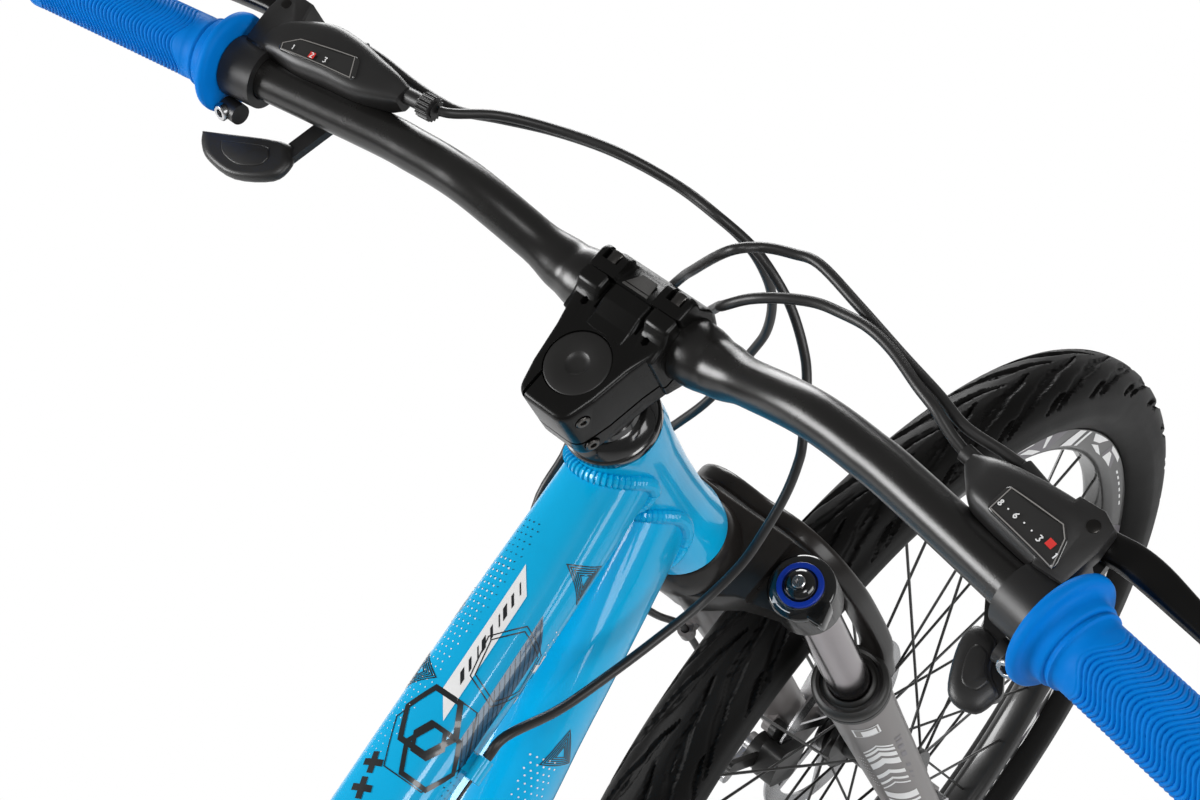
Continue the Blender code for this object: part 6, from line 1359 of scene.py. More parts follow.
def arch():
    """The brace that joins the legs in front of the crown."""
    half = [(0.0405, 0.0640, -0.4010), (0.0430, 0.0635, -0.3850), (0.0480, 0.0620, -0.3660),
            (0.0495, 0.0570, -0.3200), (0.0495, 0.0528, -0.2980), (0.0495, 0.0420, -0.2745),
            (0.0495, 0.0250, -0.2620), (0.0495, 0.0, -0.2650)]
    points = half + [(x, -y, z) for x, y, z in reversed(half[:-1])]
    return sweep(curve(points, 2), ellipse(0.0066, 0.0104, 12, 4), side=X)


def fork_lowers(parent):
    """Both lower legs, dropouts, brake ears and the housing guide; the brace and the dust wipers are dark."""
    outline = rounded([(0.0060, -0.7140, 0.003), (0.0420, -0.7140, 0.006), (0.0480, -0.7020, 0.006),
                       (0.0440, -0.6940, 0.006), (0.0240, -0.6600, 0.010), (0.0080, -0.6600, 0.003)], 2)
    plates = [prism(outline, low, low + FORK_DROPOUT, SIDE)
              for low in (-FRONT_OLD / 2 - FORK_DROPOUT, FRONT_OLD / 2)]
    item = join(merged([leg(-1), leg(1)]), *plates)
    at = radial(Vector((AXLE_OFFSET, 0, AXLE_DEPTH)), FRONT_CALIPER_ANGLE)
    ears = []
    for ear in EARS:
        centre = at @ Vector((*ear, 0))
        ears.append(block((centre.x, FRONT_ROTOR + 0.0109, centre.z - 0.0060),
                          (0.0072, FRONT_ROTOR + 0.0166, centre.z + 0.0060)))
        ears.append(cross_rod(centre.x, centre.z, FRONT_ROTOR + 0.0105, FRONT_ROTOR + 0.0170, 0.0068, 14))
    item = join(item, *ears)
    guide = rod((*GUIDE_EYE, -0.4410), (*GUIDE_EYE, -0.4330), 0.0055)
    item = join(item, block((-0.0090, 0.0616, -0.4404), (0.0015, 0.0684, -0.4336)), guide)
    cuts = [bore((*GUIDE_EYE, -0.4450), (*GUIDE_EYE, -0.4300), HOUSING_RADIUS + 0.0004, 12)]
    edge = FRONT_OLD / 2 + FORK_DROPOUT
    for side in (-1, 1):
        cuts.append(cross_rod(AXLE_OFFSET, AXLE_DEPTH, side * (edge + 0.0001), side * 0.100, 0.0125, 20))
        cuts.append(cross_rod(AXLE_OFFSET, AXLE_DEPTH, side * 0.045, side * 0.070, AXLE_RADIUS + GAP, 16))
        cuts.append(block((AXLE_OFFSET - 0.0050, side * 0.0535 - 0.0060, AXLE_DEPTH - 0.020),
                          (AXLE_OFFSET + 0.0050, side * 0.0535 + 0.0060, AXLE_DEPTH)))
    item = cut(item, *cuts)
    extra(arch(), "fork_lowers", "arch", "crown_gloss", parent, sharp=50)
    for side, tag in ((-1, "right"), (1, "left")):
        wiper(tag, side, parent)
        leg_marks(tag, side, parent)
    place(item, "fork_lowers", "grey_paint", parent)


def fork_crown(parent):
    """The steerer tube and the forging that holds both stanchions, its edges rounded over."""
    outline = [(0.0352, 0.0), (0.0356, 0.0250), (0.0362, 0.0500), (0.0362, 0.0651)]
    for k in range(1, 6):
        angle = math.pi / 2 * k / 3
        outline.append((LEG_X + BOSS_RADIUS * math.cos(angle), LEG_Y + BOSS_RADIUS * math.sin(angle)))
    outline += [(-0.0010, 0.0600), (-0.0080, 0.0400), (-0.0200, 0.0240), (-0.0265, 0.0120), (-0.0270, 0.0)]
    outline += [(x, -y) for x, y in reversed(outline[1:-1])]
    body = pillow(smooth_loop(outline, 1), CROWN_BOTTOM, BOSS_TOP + 0.0060, 0.0016)
    race = HEAD_BOTTOM - GAP
    cone = lathe([(0, CROWN_BOTTOM + 0.0020), (0.0265, CROWN_BOTTOM + 0.0020), (0.0300, -0.2150),
                  (0.0262, -0.2000), (0.0250, CROWN_TOP), (0.0190, CROWN_TOP), (0.0190, race),
                  (STEERER_RADIUS, race), (STEERER_RADIUS, -0.0053), (0, -0.0053)], 32)
    boss = [(0, BOSS_BOTTOM), (BOSS_RADIUS - 0.0025, BOSS_BOTTOM), (BOSS_RADIUS - 0.0006, BOSS_BOTTOM + 0.0010),
            (BOSS_RADIUS, BOSS_BOTTOM + 0.0028), (BOSS_RADIUS, BOSS_TOP), (0, BOSS_TOP)]
    relief = [block((-0.040, side * (LEG_Y - DIAL_RADIUS - 2 * GAP), BOSS_TOP),
                    (0.050, side * 0.110, BOSS_TOP + 0.020)) for side in (-1, 1)]
    item = cut(join(cone, body), *relief)
    item = join(item, merged([lathe(boss, 32, leg_place(side)) for side in (-1, 1)]))
    cuts = [bore((0, 0, CROWN_BOTTOM - 0.01), (0, 0, 0), STEERER_BORE, 20)]
    cuts += [bore((LEG_X, side * LEG_Y, BOSS_BOTTOM - 0.01), (LEG_X, side * LEG_Y, BOSS_TOP + 0.01),
                  STANCHION_RADIUS + GAP) for side in (-1, 1)]
    place(cut(item, *cuts), "fork_crown", "crown_gloss", parent, sharp=40)


def stanchion(name, parent, side):
    """A tube open at the foot; the left one carries its own top cap."""
    inner = STANCHION_RADIUS - 0.0022
    top = BOSS_TOP + (GAP if side > 0 else -GAP)
    profile = [(inner, STANCHION_BOTTOM), (STANCHION_RADIUS, STANCHION_BOTTOM), (STANCHION_RADIUS, top)]
    if side > 0:
        profile = [(0, top - 0.0060), (inner, top - 0.0060)] + profile
        profile += [(0.0165, top), (0.0165, top + 0.0030), (0.0150, top + 0.0045), (0.0070, top + 0.0045),
                    (0.0070, top + 0.0020), (0, top + 0.0020)]
    else:
        profile += [(inner, top)]
    place(lathe(profile, 40, leg_place(side)), name, "stanchion", parent)


def lockout_dial(parent):
    """The damper's dial on the right leg: base, coloured ring, domed centre, a pointed tab and a screw."""
    base = BOSS_TOP + GAP
    profile = [(DIAL_RADIUS, 0), (DIAL_RADIUS, 0.0022), (DIAL_RADIUS - 0.0005, 0.0032), (0.0172, 0.0040),
               (0.0135, 0.0044), (0.0131, 0.0050), (0.0094, 0.0054), (0.0090, 0.0068), (0.0080, 0.0086),
               (0.0060, 0.0097), (0.0040, 0.0100), (0, 0.0100)]
    dial = lathe([(0, base)] + [(radius, base + height) for radius, height in profile], 40)
    tab = pillow(rounded([(-0.0060, -0.0120, 0), (-0.0170, -0.0105, 0.003), (-0.0262, -0.0012, 0.0022),
                          (-0.0180, 0.0040, 0.003), (-0.0060, 0.0080, 0)], 2),
                 base - 0.0060, base + 0.0040, 0.0012, Matrix.Rotation(math.radians(62), 4, "Z"), 2)
    place(join(dial, tab), "lockout_dial", "gloss_black", parent, sharp=40, bevel=0.0004)
    ring = annulus(circle(0.0130, 32), circle(0.0098, 32), base + 0.0030, base + 0.0066)
    extra(ring, "lockout_dial", "ring", "ring_blue", parent, bevel=0.0004)
    seat = Matrix.Translation((0, 0, base + 0.0097))
    extra(socket_bolt(seat, 0.0038, 0.0018, 0.0017, 0.0014), "lockout_dial", "screw", "bare_metal", parent)
    angles = [math.radians(150 + 6 * k) for k in range(9)]
    arc = [Vector((0.0160 * math.cos(a), 0.0160 * math.sin(a))) for a in angles]
    head = [(-0.0166, 0.0064), (-0.0148, 0.0040), (-0.0128, 0.0086)]
    arrow = sheet(flat_strip(arc, 0.0006) + [head], lambda p: Vector((p[0], p[1], base + 0.0044)))
    extra(arrow, "lockout_dial", "arrow", "mark_white", parent)


def headset_cover(parent):
    """The upper headset cover, turned in steps, over a thin outer seal."""
    top, low = STEM_BOTTOM - GAP, HEAD_TOP + GAP
    upper = [(STEERER_RADIUS + GAP, 0), (0.0172, 0), (0.0178, -0.0006), (0.0178, -0.0040), (0.0172, -0.0044),
             (0.0172, -0.0052), (0.0180, -0.0057), (0.0182, -0.0092), (0.0174, -0.0098), (0.0176, -0.0106),
             (0.0196, -0.0116), (0.0212, -0.0136)]
    lower = [(0.0234, 0.0068), (0.0238, 0.0056), (0.0247, 0.0052), (0.0252, 0.0044), (0.0252, 0.0010),
             (0.0247, 0), (STEERER_RADIUS + GAP, 0)]
    profile = [(radius, base + height) for base, rows in ((top, upper), (low, lower)) for radius, height in rows]
    place(lathe(profile, 40), "headset_top_cover", "gloss_black", parent, sharp=28)


def bar_bore():
    """The cutter for the clamp's hole, along the bar's middle."""
    return bore((BAR_FORWARD, -0.05, BAR_HEIGHT), (BAR_FORWARD, 0.05, BAR_HEIGHT), BAR_CLAMP_RADIUS + GAP, 32)


def stem_body(outline):
    """The steerer clamp with its two ears and the bridge between them, before it is bored."""
    split, top = STEM_SPLIT, BAR_HEIGHT + CLAMP_RISE
    body = pillow(outline, STEM_BOTTOM, 0.0, 0.0030, steps=4)
    ramp = [(split, top), (0.0345, top), (0.0330, top - 0.0004), (0.0318, top - 0.0018), (0.0302, top - 0.0040),
            (0.0280, top - 0.0056), (0.0250, top - 0.0066), (0.0215, top - 0.0071), (0.0190, top - 0.0080),
            (0.0190, BAR_HEIGHT - 0.0150), (0.0330, BAR_HEIGHT - 0.0235), (split, BAR_HEIGHT - 0.0235)]
    ears = [pillow(ramp, low, high, 0.0022, SIDE) for low, high in ((-CLAMP_HALF, -0.0140), (0.0140, CLAMP_HALF))]
    cross = rounded([(0.0325, BAR_HEIGHT + 0.0212, 0.003), (split, BAR_HEIGHT + 0.0212, 0),
                     (split, BAR_HEIGHT + 0.0100, 0), (0.0180, BAR_HEIGHT + 0.0100, 0),
                     (0.0180, 0.0004, 0), (0.0240, 0.0008, 0.003)], 2)
    bridge = pillow(cross, -0.0122, 0.0122, 0.0024, SIDE)
    gap_low = block((0.0262, -0.0136, -0.060), (0.060, 0.0136, BAR_HEIGHT - 0.0070))
    notch = block((0.0262, -0.0136, -0.0110), (0.060, 0.0136, 0.020))
    return join(cut(join(body, *ears), notch, gap_low), bridge)


def stem(parent):
    """The stem's body: steerer clamp behind, half of the bar clamp in front, every outer edge rounded over."""
    half = [(-0.0272, 0.0150, 0.009), (-0.0100, 0.0200, 0.010), (0.0100, 0.0236, 0.010), (0.0290, 0.0286, 0.006),
            (STEM_SPLIT, 0.0288, 0)]
    outline = rounded(half + [(x, -y, radius) for x, y, radius in reversed(half)])
    item = stem_body(outline)
    cuts = [bar_bore(), bore((0, 0, -0.06), (0, 0, 0.01), STEERER_RADIUS + GAP, 28),
            bore((0, 0, -CAP_HEIGHT - 0.0004), (0, 0, 0.01), CAP_RADIUS + GAP, 40),
            block((-0.0400, 0.0102, -0.060), (-0.0080, 0.0120, 0.010))]
    shallow = [(x * 0.955, y * 0.925) for x, y in outline]
    wide = [(x * 1.2 if x < 0.03 else x * 0.9, y * 1.3) for x, y in outline]
    cuts.append(annulus(wide, shallow, -0.0266, -0.0252))
    out = Vector((-0.36, -1, 0)).normalized()
    pinches = [Vector((-0.0187, -0.0170, -0.0095)), Vector((-0.0205, -0.0170, -0.0300))]
    cuts += [bore(centre - out * 0.002, centre + out * 0.02, 0.0040, 16) for centre in pinches]
    away = Vector((-0.55, 0, 0.83)).normalized()
    for side in (-1, 1):
        ear = Vector((0.0262, side * 0.0195, 0.0000))
        cuts.append(bore(ear - away * 0.006, ear + away * 0.02, 0.0021, 3))
    item = cut(item, *cuts)
    for tag, centre in zip(("pinch_bolt_10", "pinch_bolt_30"), pinches):
        bolt = socket_bolt(axes(centre - out * 0.0010, Z, out), 0.0035, 0.0024, 0.0017, 0.0018)
        extra(bolt, "stem", tag, "bolt_black", parent, bevel=0.0003)
    place(item, "stem", "stem_paint", parent, sharp=45, bevel=0.0006)


def stem_faceplate(parent):
    """The clamp's front half: two lugs above and below with socket bolts, and a sunk middle panel."""
    split = BAR_FORWARD + 0.0013
    top, low = BAR_HEIGHT + CLAMP_RISE, BAR_HEIGHT - CLAMP_RISE
    nose = [(split, 0), (0.0505, 0), (0.0525, 0.0006), (0.0543, 0.0022), (0.0550, 0.0045), (0.0545, 0.0085)]
    outline = [(x, top - drop) for x, drop in nose]
    outline += [(BAR_FORWARD + 0.0205 * math.cos(a), BAR_HEIGHT + 0.0205 * math.sin(a))
                for a in [math.radians(v) for v in (35, 18, 0, -18, -35)]]
    outline += [(x, low + drop) for x, drop in reversed(nose)]
    item = pillow(outline, -CLAMP_HALF, CLAMP_HALF, 0.0026, SIDE)
    cuts = [bar_bore(), block((0.030, -0.0128, BAR_HEIGHT - 0.040), (0.070, 0.0128, BAR_HEIGHT - 0.0100)),
            pillow([(0.030, 0.0022), (0.0440, 0.0026), (0.0600, -0.0070), (0.070, 0.020), (0.030, 0.020)],
                   -0.0118, 0.0118, 0.0012, SIDE, 2)]
    spots = [(side * 0.0203, t) for side in (-1, 1) for t in (-1, 1)]
    for y, t in spots:
        cuts.append(bore((0.0470, y, BAR_HEIGHT + t * 0.0195), (0.0620, y, BAR_HEIGHT + t * 0.0195), 0.0047, 16))
        cuts.append(block((0.0470, y - 0.0047, BAR_HEIGHT + t * 0.0240 - 0.0045),
                          (0.0620, y + 0.0047, BAR_HEIGHT + t * 0.0240 + 0.0045)))
    item = cut(item, *cuts)
    for y, t in spots:
        bolt = socket_bolt(axes((0.0474, y, BAR_HEIGHT + t * 0.0195), Z, X), 0.0042, 0.0062, 0.0022, 0.0030)
        tag = ("upper" if t > 0 else "lower") + ("_left" if y > 0 else "_right") + "_bolt"
        extra(bolt, "stem_faceplate", tag, "bolt_black", parent, bevel=0.0004)
    panel = prism([(0.0418, -0.0070), (0.0418, 0.0090), (0.0520, 0.0050), (0.0520, -0.0040)], 0.0, 0.0008,
                  Matrix.Translation((0.0, 0.0, 0.0006)))
    panel.data.transform(Matrix.Translation((0.0465, 0, 0)) @ Matrix.Rotation(math.radians(22), 4, "Y")
                         @ Matrix.Translation((-0.0465, 0, 0)))
    extra(panel, "stem_faceplate", "panel", "cast_grey", parent)
    place(item, "stem_faceplate", "stem_paint", parent, sharp=45, bevel=0.0006)


def stem_top_cap(parent):
    """The flush cap over the steerer: a rounded rim, a flat dish and a shallow dimple."""
    top, low = -0.0002, -CAP_HEIGHT
    profile = [(0, low), (CAP_RADIUS, low), (CAP_RADIUS, top - 0.0008), (CAP_RADIUS - 0.0003, top - 0.0002),
               (CAP_RADIUS - 0.0009, top), (0.0064, top), (0.0058, top - 0.0002), (0.0054, top - 0.0006),
               (0.0030, top - 0.0009), (0, top - 0.0010)]
    place(lathe(profile, 48), "stem_top_cap", "cap_paint", parent, sharp=50)


def bar_line():
    """The left half of the bar's centre line, from the middle out, with its radii."""
    start = [(0, 0, 0, BAR_CLAMP_RADIUS), (0, 0.034, 0, BAR_CLAMP_RADIUS), (0, 0.050, 0.0015, 0.0137),
             (0, 0.068, 0.0085, BAR_RADIUS), (0, 0.090, 0.0185, BAR_RADIUS), (0, 0.108, 0.0245, BAR_RADIUS),
             (-0.0006, 0.124, 0.0270, BAR_RADIUS), (-0.0024, 0.142, 0.0295, BAR_RADIUS)]
    line = [(Vector((BAR_FORWARD + x, y, BAR_HEIGHT + z)), radius) for x, y, z, radius in start]
    out = Vector((-GRIP_SWEEP, 1, GRIP_RISE))
    end = BAR_HALF - 0.0030 - FLANGE_POINT.y
    return line + [(FLANGE_POINT + out * d, BAR_RADIUS) for d in (-0.090, 0.0, end)]


def handlebar(parent):
    """A riser bar, hollow from end to end, its ends tapered from the clamp without a step."""
    half = smooth_line(bar_line(), 5)
    whole = [(Vector((p.x, -p.y, p.z)), r) for p, r in reversed(half)] + half[1:]
    line = [p for p, _ in whole]
    outer = sweep(line, [circle(r, 20) for _, r in whole], side=X)
    line[0], line[-1] = (a + (a - b).normalized() * 0.002 for a, b in ((line[0], line[1]), (line[-1], line[-2])))
    inner = sweep(line, [circle(r - 0.0026, 20) for _, r in whole], side=X)
    place(cut(outer, inner), "handlebar", "bar_paint", parent)


def grip_place(side):
    """The place of a grip's flange, its local z outward along the bar."""
    out = Vector((-GRIP_SWEEP, side, GRIP_RISE))
    return axes((FLANGE_POINT.x, side * FLANGE_POINT.y, FLANGE_POINT.z), X, out)


def grip(name, parent, side):
    """A closed-end grip: a flange, a collar and a sleeve of deep wavy ribs; Z runs outward along the bar."""
    length = (BAR_HALF - FLANGE_POINT.y) * Vector((GRIP_SWEEP, 1, GRIP_RISE)).length
    half, hole, edge = GRIP_FLANGE / 2, BAR_RADIUS + GAP, GRIP_FLANGE_RADIUS
    rows = [(hole, length - 0.0022), (hole, -half), (0.0190, -half), (edge - 0.0036, -half),
            (edge - 0.0014, -half + 0.0005), (edge - 0.0002, -half + 0.0018), (edge, -half + 0.0032),
            (edge - 0.0003, half - 0.0022), (edge - 0.0014, half - 0.0012), (edge - 0.0034, half - 0.0010),
            (0.0218, half - 0.0006), (0.0205, half + 0.0006), (0.0199, half + 0.0026), (0.0197, half + 0.0056),
            (0.0193, half + 0.0064), (0.0182, half + 0.0068), (0.0180, half + 0.0074), (0.0182, half + 0.0080),
            (0.0186, half + 0.0084), (0.0185, half + 0.0096), (0.0176, half + 0.0101), (0.0171, half + 0.0106),
            (0.0170, half + 0.0158)]
    end_rows = [(0.0170, length - 0.0046), (0.0170, length - 0.0014), (0.0158, length), (0.0050, length)]
    angles = [2 * math.pi * k / GRIP_STEPS for k in range(GRIP_STEPS)]
    at = grip_place(side)

    def ring(radii, height):
        """A round of points, each with its own radius."""
        return [at @ Vector((r * math.cos(a), r * math.sin(a), height)) for a, r in zip(angles, radii)]

    start, end = half + 0.0162, length - 0.0050
    rings = [ring([radius] * GRIP_STEPS, height) for radius, height in rows]
    for i in range(RIB_STEPS + 1):
        height = start + (end - start) * i / RIB_STEPS
        radii = []
        for angle in angles:
            spot = height + 0.0027 * math.sin(4 * angle + 0.6)
            fade = min(1.0, max(0.0, (spot - start - 0.0026) / 0.0010), max(0.0, (end - 0.0026 - spot) / 0.0010))
            rib = abs(math.sin(math.pi * spot / RIB_PITCH)) ** 0.42
            radii.append(0.0171 - RIB_DEPTH * fade * (1 - rib) - 0.0002 * (height - start) / (end - start))
        rings.append(ring(radii, height))
    rings += [ring([radius] * GRIP_STEPS, height) for radius, height in end_rows]
    place(skin(rings), name, "grip_blue", parent, sharp=50)


POD_LEFT = ((0.2450, 0.0240, 0.0450, 0.0100, 0.0380), (0.2340, 0.0290, 0.0530, 0.0060, 0.0405),
            (0.2150, 0.0300, 0.0625, 0.0045, 0.0410), (0.1970, 0.0335, 0.0635, 0.0060, 0.0402),
            (0.1780, 0.0370, 0.0612, 0.0120, 0.0378), (0.1650, 0.0425, 0.0594, 0.0170, 0.0355),
            (0.1560, 0.0470, 0.0570, 0.0210, 0.0330))
POD_RIGHT = ((0.2480, 0.0240, 0.0600, 0.0100, 0.0380), (0.2370, 0.0290, 0.0632, 0.0060, 0.0405),
             (0.2220, 0.0320, 0.0632, 0.0045, 0.0410), (0.2080, 0.0350, 0.0620, 0.0060, 0.0405),
             (0.1980, 0.0380, 0.0605, 0.0100, 0.0385), (0.1915, 0.0440, 0.0590, 0.0150, 0.0350),
             (0.1865, 0.0500, 0.0570, 0.0210, 0.0330))
BARREL_LEFT = ((0.0600, 0.2260, 0.0150), (0.0666, 0.2090, 0.0125))
BARREL_RIGHT = ((0.0600, 0.2220, 0.0250), (0.0652, 0.2040, 0.0255))
PADDLE_LEFT = ((-0.0139, 0.2675), (0.0064, 0.2216), (0.0037, 0.2120), (-0.0020, 0.2077), (-0.0128, 0.2105),
               (-0.0241, 0.2308), (-0.0242, 0.2515), (-0.0197, 0.2617))
PADDLE_RIGHT = ((0.0090, 0.2255), (0.0063, 0.2320), (-0.0044, 0.2375), (-0.0097, 0.2450), (-0.0135, 0.2455),
                (-0.0218, 0.2426), (-0.0238, 0.2330), (-0.0185, 0.2260), (-0.0025, 0.2190), (0.0070, 0.2195))
LEVER_PIVOT = Vector((0.0560, 0.2450, 0.0255))
THUMB_PIVOT = Vector((0.0420, 0.2060, 0.0))
POD_BOTTOM = 0.0045

# Printed shards of a rim: (degrees, share of the face's height) corners
SHARDS = (((3, 0.05), (5.5, 0.05), (8.2, 0.95), (6.4, 0.95)),
          ((8.6, 0.05), (10.4, 0.05), (9.0, 0.95), (7.8, 0.95)),
          ((11.0, 0.90), (16.0, 0.98), (15.0, 0.70), (11.2, 0.62)),
          ((11.8, 0.45), (14.2, 0.52), (18.5, 0.05), (16.2, 0.02)),
          ((18.6, 0.92), (20.2, 0.92), (19.6, 0.20), (18.9, 0.20)),
          ((25, 0.02), (29, 0.02), (32, 0.98), (29.5, 0.98)),
          ((30.2, 0.02), (31.4, 0.02), (34.4, 0.98), (33.4, 0.98)),
          ((36, 0.95), (43, 0.98), (40, 0.55), (37, 0.50)), ((37, 0.30), (40, 0.42), (43.5, 0.03), (41, 0.03)),
          ((45, 0.05), (50.5, 0.05), (48, 0.60), (46.5, 0.60)), ((47, 0.72), (53, 0.72), (52, 0.96), (46, 0.96)))

# Each pod's window: its corners, the figures with their places, the dots and the marker
WINDOW_LEFT = (((0.0369, 0.2279), (0.0440, 0.2200), (0.0531, 0.1845), (0.0420, 0.1780), (0.0335, 0.2260)),
               (("1", (0.0383, 0.2184)), ("2", (0.0402, 0.2062)), ("3", (0.0419, 0.1982))), (), (0.0402, 0.2062))
WINDOW_RIGHT = (((0.0383, -0.2073), (0.0511, -0.2091), (0.0500, -0.2370), (0.0452, -0.2413), (0.0315, -0.2445)),
                (("8", (0.0429, -0.2115)), ("6", (0.0418, -0.2196)), ("3", (0.0393, -0.2324)),
                 ("1", (0.0372, -0.2412))),
                ((0.0423, -0.2155), (0.0411, -0.2240), (0.0402, -0.2282)), (0.0402, -0.2370))


def pod(side, stations):
    """A shifter's moulded shell through (out, back, front, low, high) stations, its outer end drawn in."""
    rows = [(y, back, front, low, high) for (y, back, front), (_, low, high) in
            zip(curve([row[:3] for row in stations], 2), curve([row[2:] for row in stations], 2))]
    y, back, front, low, high = rows[0]
    rows = [(y + 0.0022, back + 0.003, front - 0.004, low + 0.003, high - 0.0035),
            (y + 0.0014, back + 0.001, front - 0.0015, low + 0.001, high - 0.0010)] + rows
    rings = []
    for y, back, front, low, high in rows:
        centre = Vector(((back + front) / 2, side * y, (low + high) / 2))
        rings.append([centre + X * a + Z * b for a, b in ellipse((front - back) / 2, (high - low) / 2, 22, 4.2)])
    return skin(rings)


def cable_nose(name, parent, side, station):
    """The pod's inner end, where the shift cable leaves; the left one has a ribbed barrel."""
    y, back, front, low, high = station
    x, z = (back + front) / 2 + 0.0015, (low + high) / 2 + 0.0010
    if side < 0:
        return rod((x, -y - 0.004, z), (x + 0.0012, -y + 0.0050, z + 0.0002), 0.0040)
    ribbed = [(r * math.cos(a), r * math.sin(a)) for r, a in
              [(0.0064 if k % 4 < 2 else 0.0056, 2 * math.pi * k / 72) for k in range(72)]]
    at = axes((x + 0.0010, y - 0.0110, z), X, Vector((0.08, -1, 0)))
    extra(prism(ribbed, -0.0004, 0.0074, at), name, "barrel", "black_plastic", parent, bevel=0.0003)
    return rod((x, y + 0.004, z), (x + 0.0018, y - 0.0195, z), 0.0042)


def control(name, parent, side, stations):
    """A shifter pod with its clamp ring, brake perch, cable nose, gear window and thumb-lever post."""
    shell = pod(side, stations)
    at = grip_place(side)
    pivot = Vector((LEVER_PIVOT.x, side * LEVER_PIVOT.y, 0))
    ring = annulus(circle(0.0160, 24), circle(BAR_RADIUS + GAP, 24), -0.0235, -0.0042, at)
    ear = cross_rod(0.0010, 0.0142, side * 0.2390, side * 0.2500, 0.0055, 16)
    shoulder = [(x, side * y) for x, y in ((0.0300, 0.2350), (0.0520, 0.2290), (0.0638, 0.2330), (0.0642, 0.2450),
                                           (0.0600, 0.2525), (0.0480, 0.2530), (0.0300, 0.2500))]
    perch = pillow(shoulder, 0.0120, 0.0392, 0.0018, steps=2)
    near, far = sorted((side * 0.2360, side * 0.2490))
    arm = block((0.0300, near, 0.0130), (0.0540, far, 0.0380))
    post = standing(UPRIGHT, (THUMB_PIVOT.x, side * THUMB_PIVOT.y), -0.0085, POD_BOTTOM + 0.004, 0.0032, 12)
    start, end = (Vector((x, side * y, z)) for x, y, z in (BARREL_LEFT if side > 0 else BARREL_RIGHT))
    barrel = rod(start, end, 0.0038, 10)
    nose = cable_nose(name, parent, side, stations[-1])
    item = join(shell, ring, ear, perch, arm, post, barrel, nose)
    near, far = sorted((side * 0.2345, side * 0.2700))
    slot = block((0.0445, near, LEVER_PIVOT.z - 0.0060), (0.0700, far, LEVER_PIVOT.z + 0.0060))
    item = cut(item, slot, standing(at, (0, 0), -0.150, 0.030, BAR_RADIUS + GAP, 24))
    item = join(item, standing(UPRIGHT, pivot.xy, 0.0150, 0.0360, 0.0022, 10))
    bolt_at = axes((-0.0030, side * 0.2470, 0.0165), Z, Vector((-1, 0, 0.45)))
    bolt = socket_bolt(bolt_at, 0.0046, 0.0028, 0.0024, 0.0022)
    extra(bolt, name, "clamp_bolt", "bare_metal", parent, bevel=0.0003)
    pin = pillow(circle(0.0030, 10, 0.0), 0.0380, 0.0396, 0.0005, Matrix.Translation(pivot), 2)
    extra(pin, name, "pivot_pin", "dark_metal", parent)
    gear_window(name, stations, *(WINDOW_LEFT if side > 0 else WINDOW_RIGHT), parent)
    place(item, name, "black_plastic", parent, sharp=40)


def brake_lever(name, parent, side):
    """A blade on a vertical pin, broad and sculpted beside the perch."""
    rows = ((0.0560, 0.2450, 0.0066, 0.0053), (0.0566, 0.2530, 0.0066, 0.0053), (0.0570, 0.2620, 0.0070, 0.0056),
            (0.0556, 0.2740, 0.0070, 0.0056), (0.0518, 0.2920, 0.0060, 0.0050), (0.0477, 0.3130, 0.0050, 0.0046),
            (0.0455, 0.3340, 0.0046, 0.0046), (0.0470, 0.3500, 0.0044, 0.0046), (0.0500, 0.3570, 0.0030, 0.0036))
    points = curve([(x, side * y, LEVER_PIVOT.z + 0.0002) for x, y, _, _ in rows], 2)
    sizes = curve([(wide, thick, 0) for _, _, wide, thick in rows], 2)
    rings = []
    for k, (point, size) in enumerate(zip(points, sizes)):
        before, after = points[max(k - 1, 0)], points[min(k + 1, len(points) - 1)]
        across = Z.cross(after - before).normalized()
        rings.append([point + across * a + Z * b for a, b in ellipse(size.x, size.y, 16, 3)])
    pin = points[0]
    item = join(rod(pin - Z * 0.0055, pin + Z * 0.0051, 0.0072, 16), skin(rings))
    place(cut(item, bore(pin - Z * 0.02, pin + Z * 0.02, 0.0026, 14)), name, "stem_paint", parent, sharp=50)


def thumb_lever(name, parent, side, outline):
    """A thick rounded paddle with a sunk finger pad, on a post below the pod."""
    centre = Vector((THUMB_PIVOT.x, side * THUMB_PIVOT.y, 0))
    low, high = -0.0088, -0.0012
    flat = smooth_loop([(x, side * y) for x, y in outline], 2)
    paddle = shrunk(flat, low, high, 0.0036)
    arm_end = Vector((outline[2][0] - 0.006, side * (outline[2][1] + 0.004)))
    arm = prism(stadium(centre.xy, arm_end, 0.0046), low + 0.0006, high - 0.0026)
    eye = rod(centre + Z * low, centre + Z * (POD_BOTTOM - GAP - 0.0002), 0.0085, 16)
    item = cut(join(eye, arm, paddle), bore(centre - Z * 0.02, centre + Z * 0.02, 0.0036, 14))
    middle = middle_of(flat)
    pad = [tuple(middle + (Vector(p) - middle) * 0.52) for p in flat]
    extra(shrunk(pad, high - 0.0008, high + 0.0006, 0.0005, 2), name, "pad", "black_plastic", parent, sharp=45)
    place(item, name, "black_plastic", parent, sharp=45)


def steer_point(x, y, u):
    """A point in steering coordinates, in the frame's own."""
    return STEM_TOP + TURNED_FORWARD * x + TURNED_LEFT * y + UP * u


def steer_line(points):
    """Points in steering coordinates, given in millimetres."""
    return [steer_point(x / 1000, y / 1000, u / 1000) for x, y, u in points]


def frame_line(points):
    """Points in the frame's own steering coordinates, given in millimetres."""
    return [frame_point(x / 1000, u / 1000, y / 1000) for x, y, u in points]


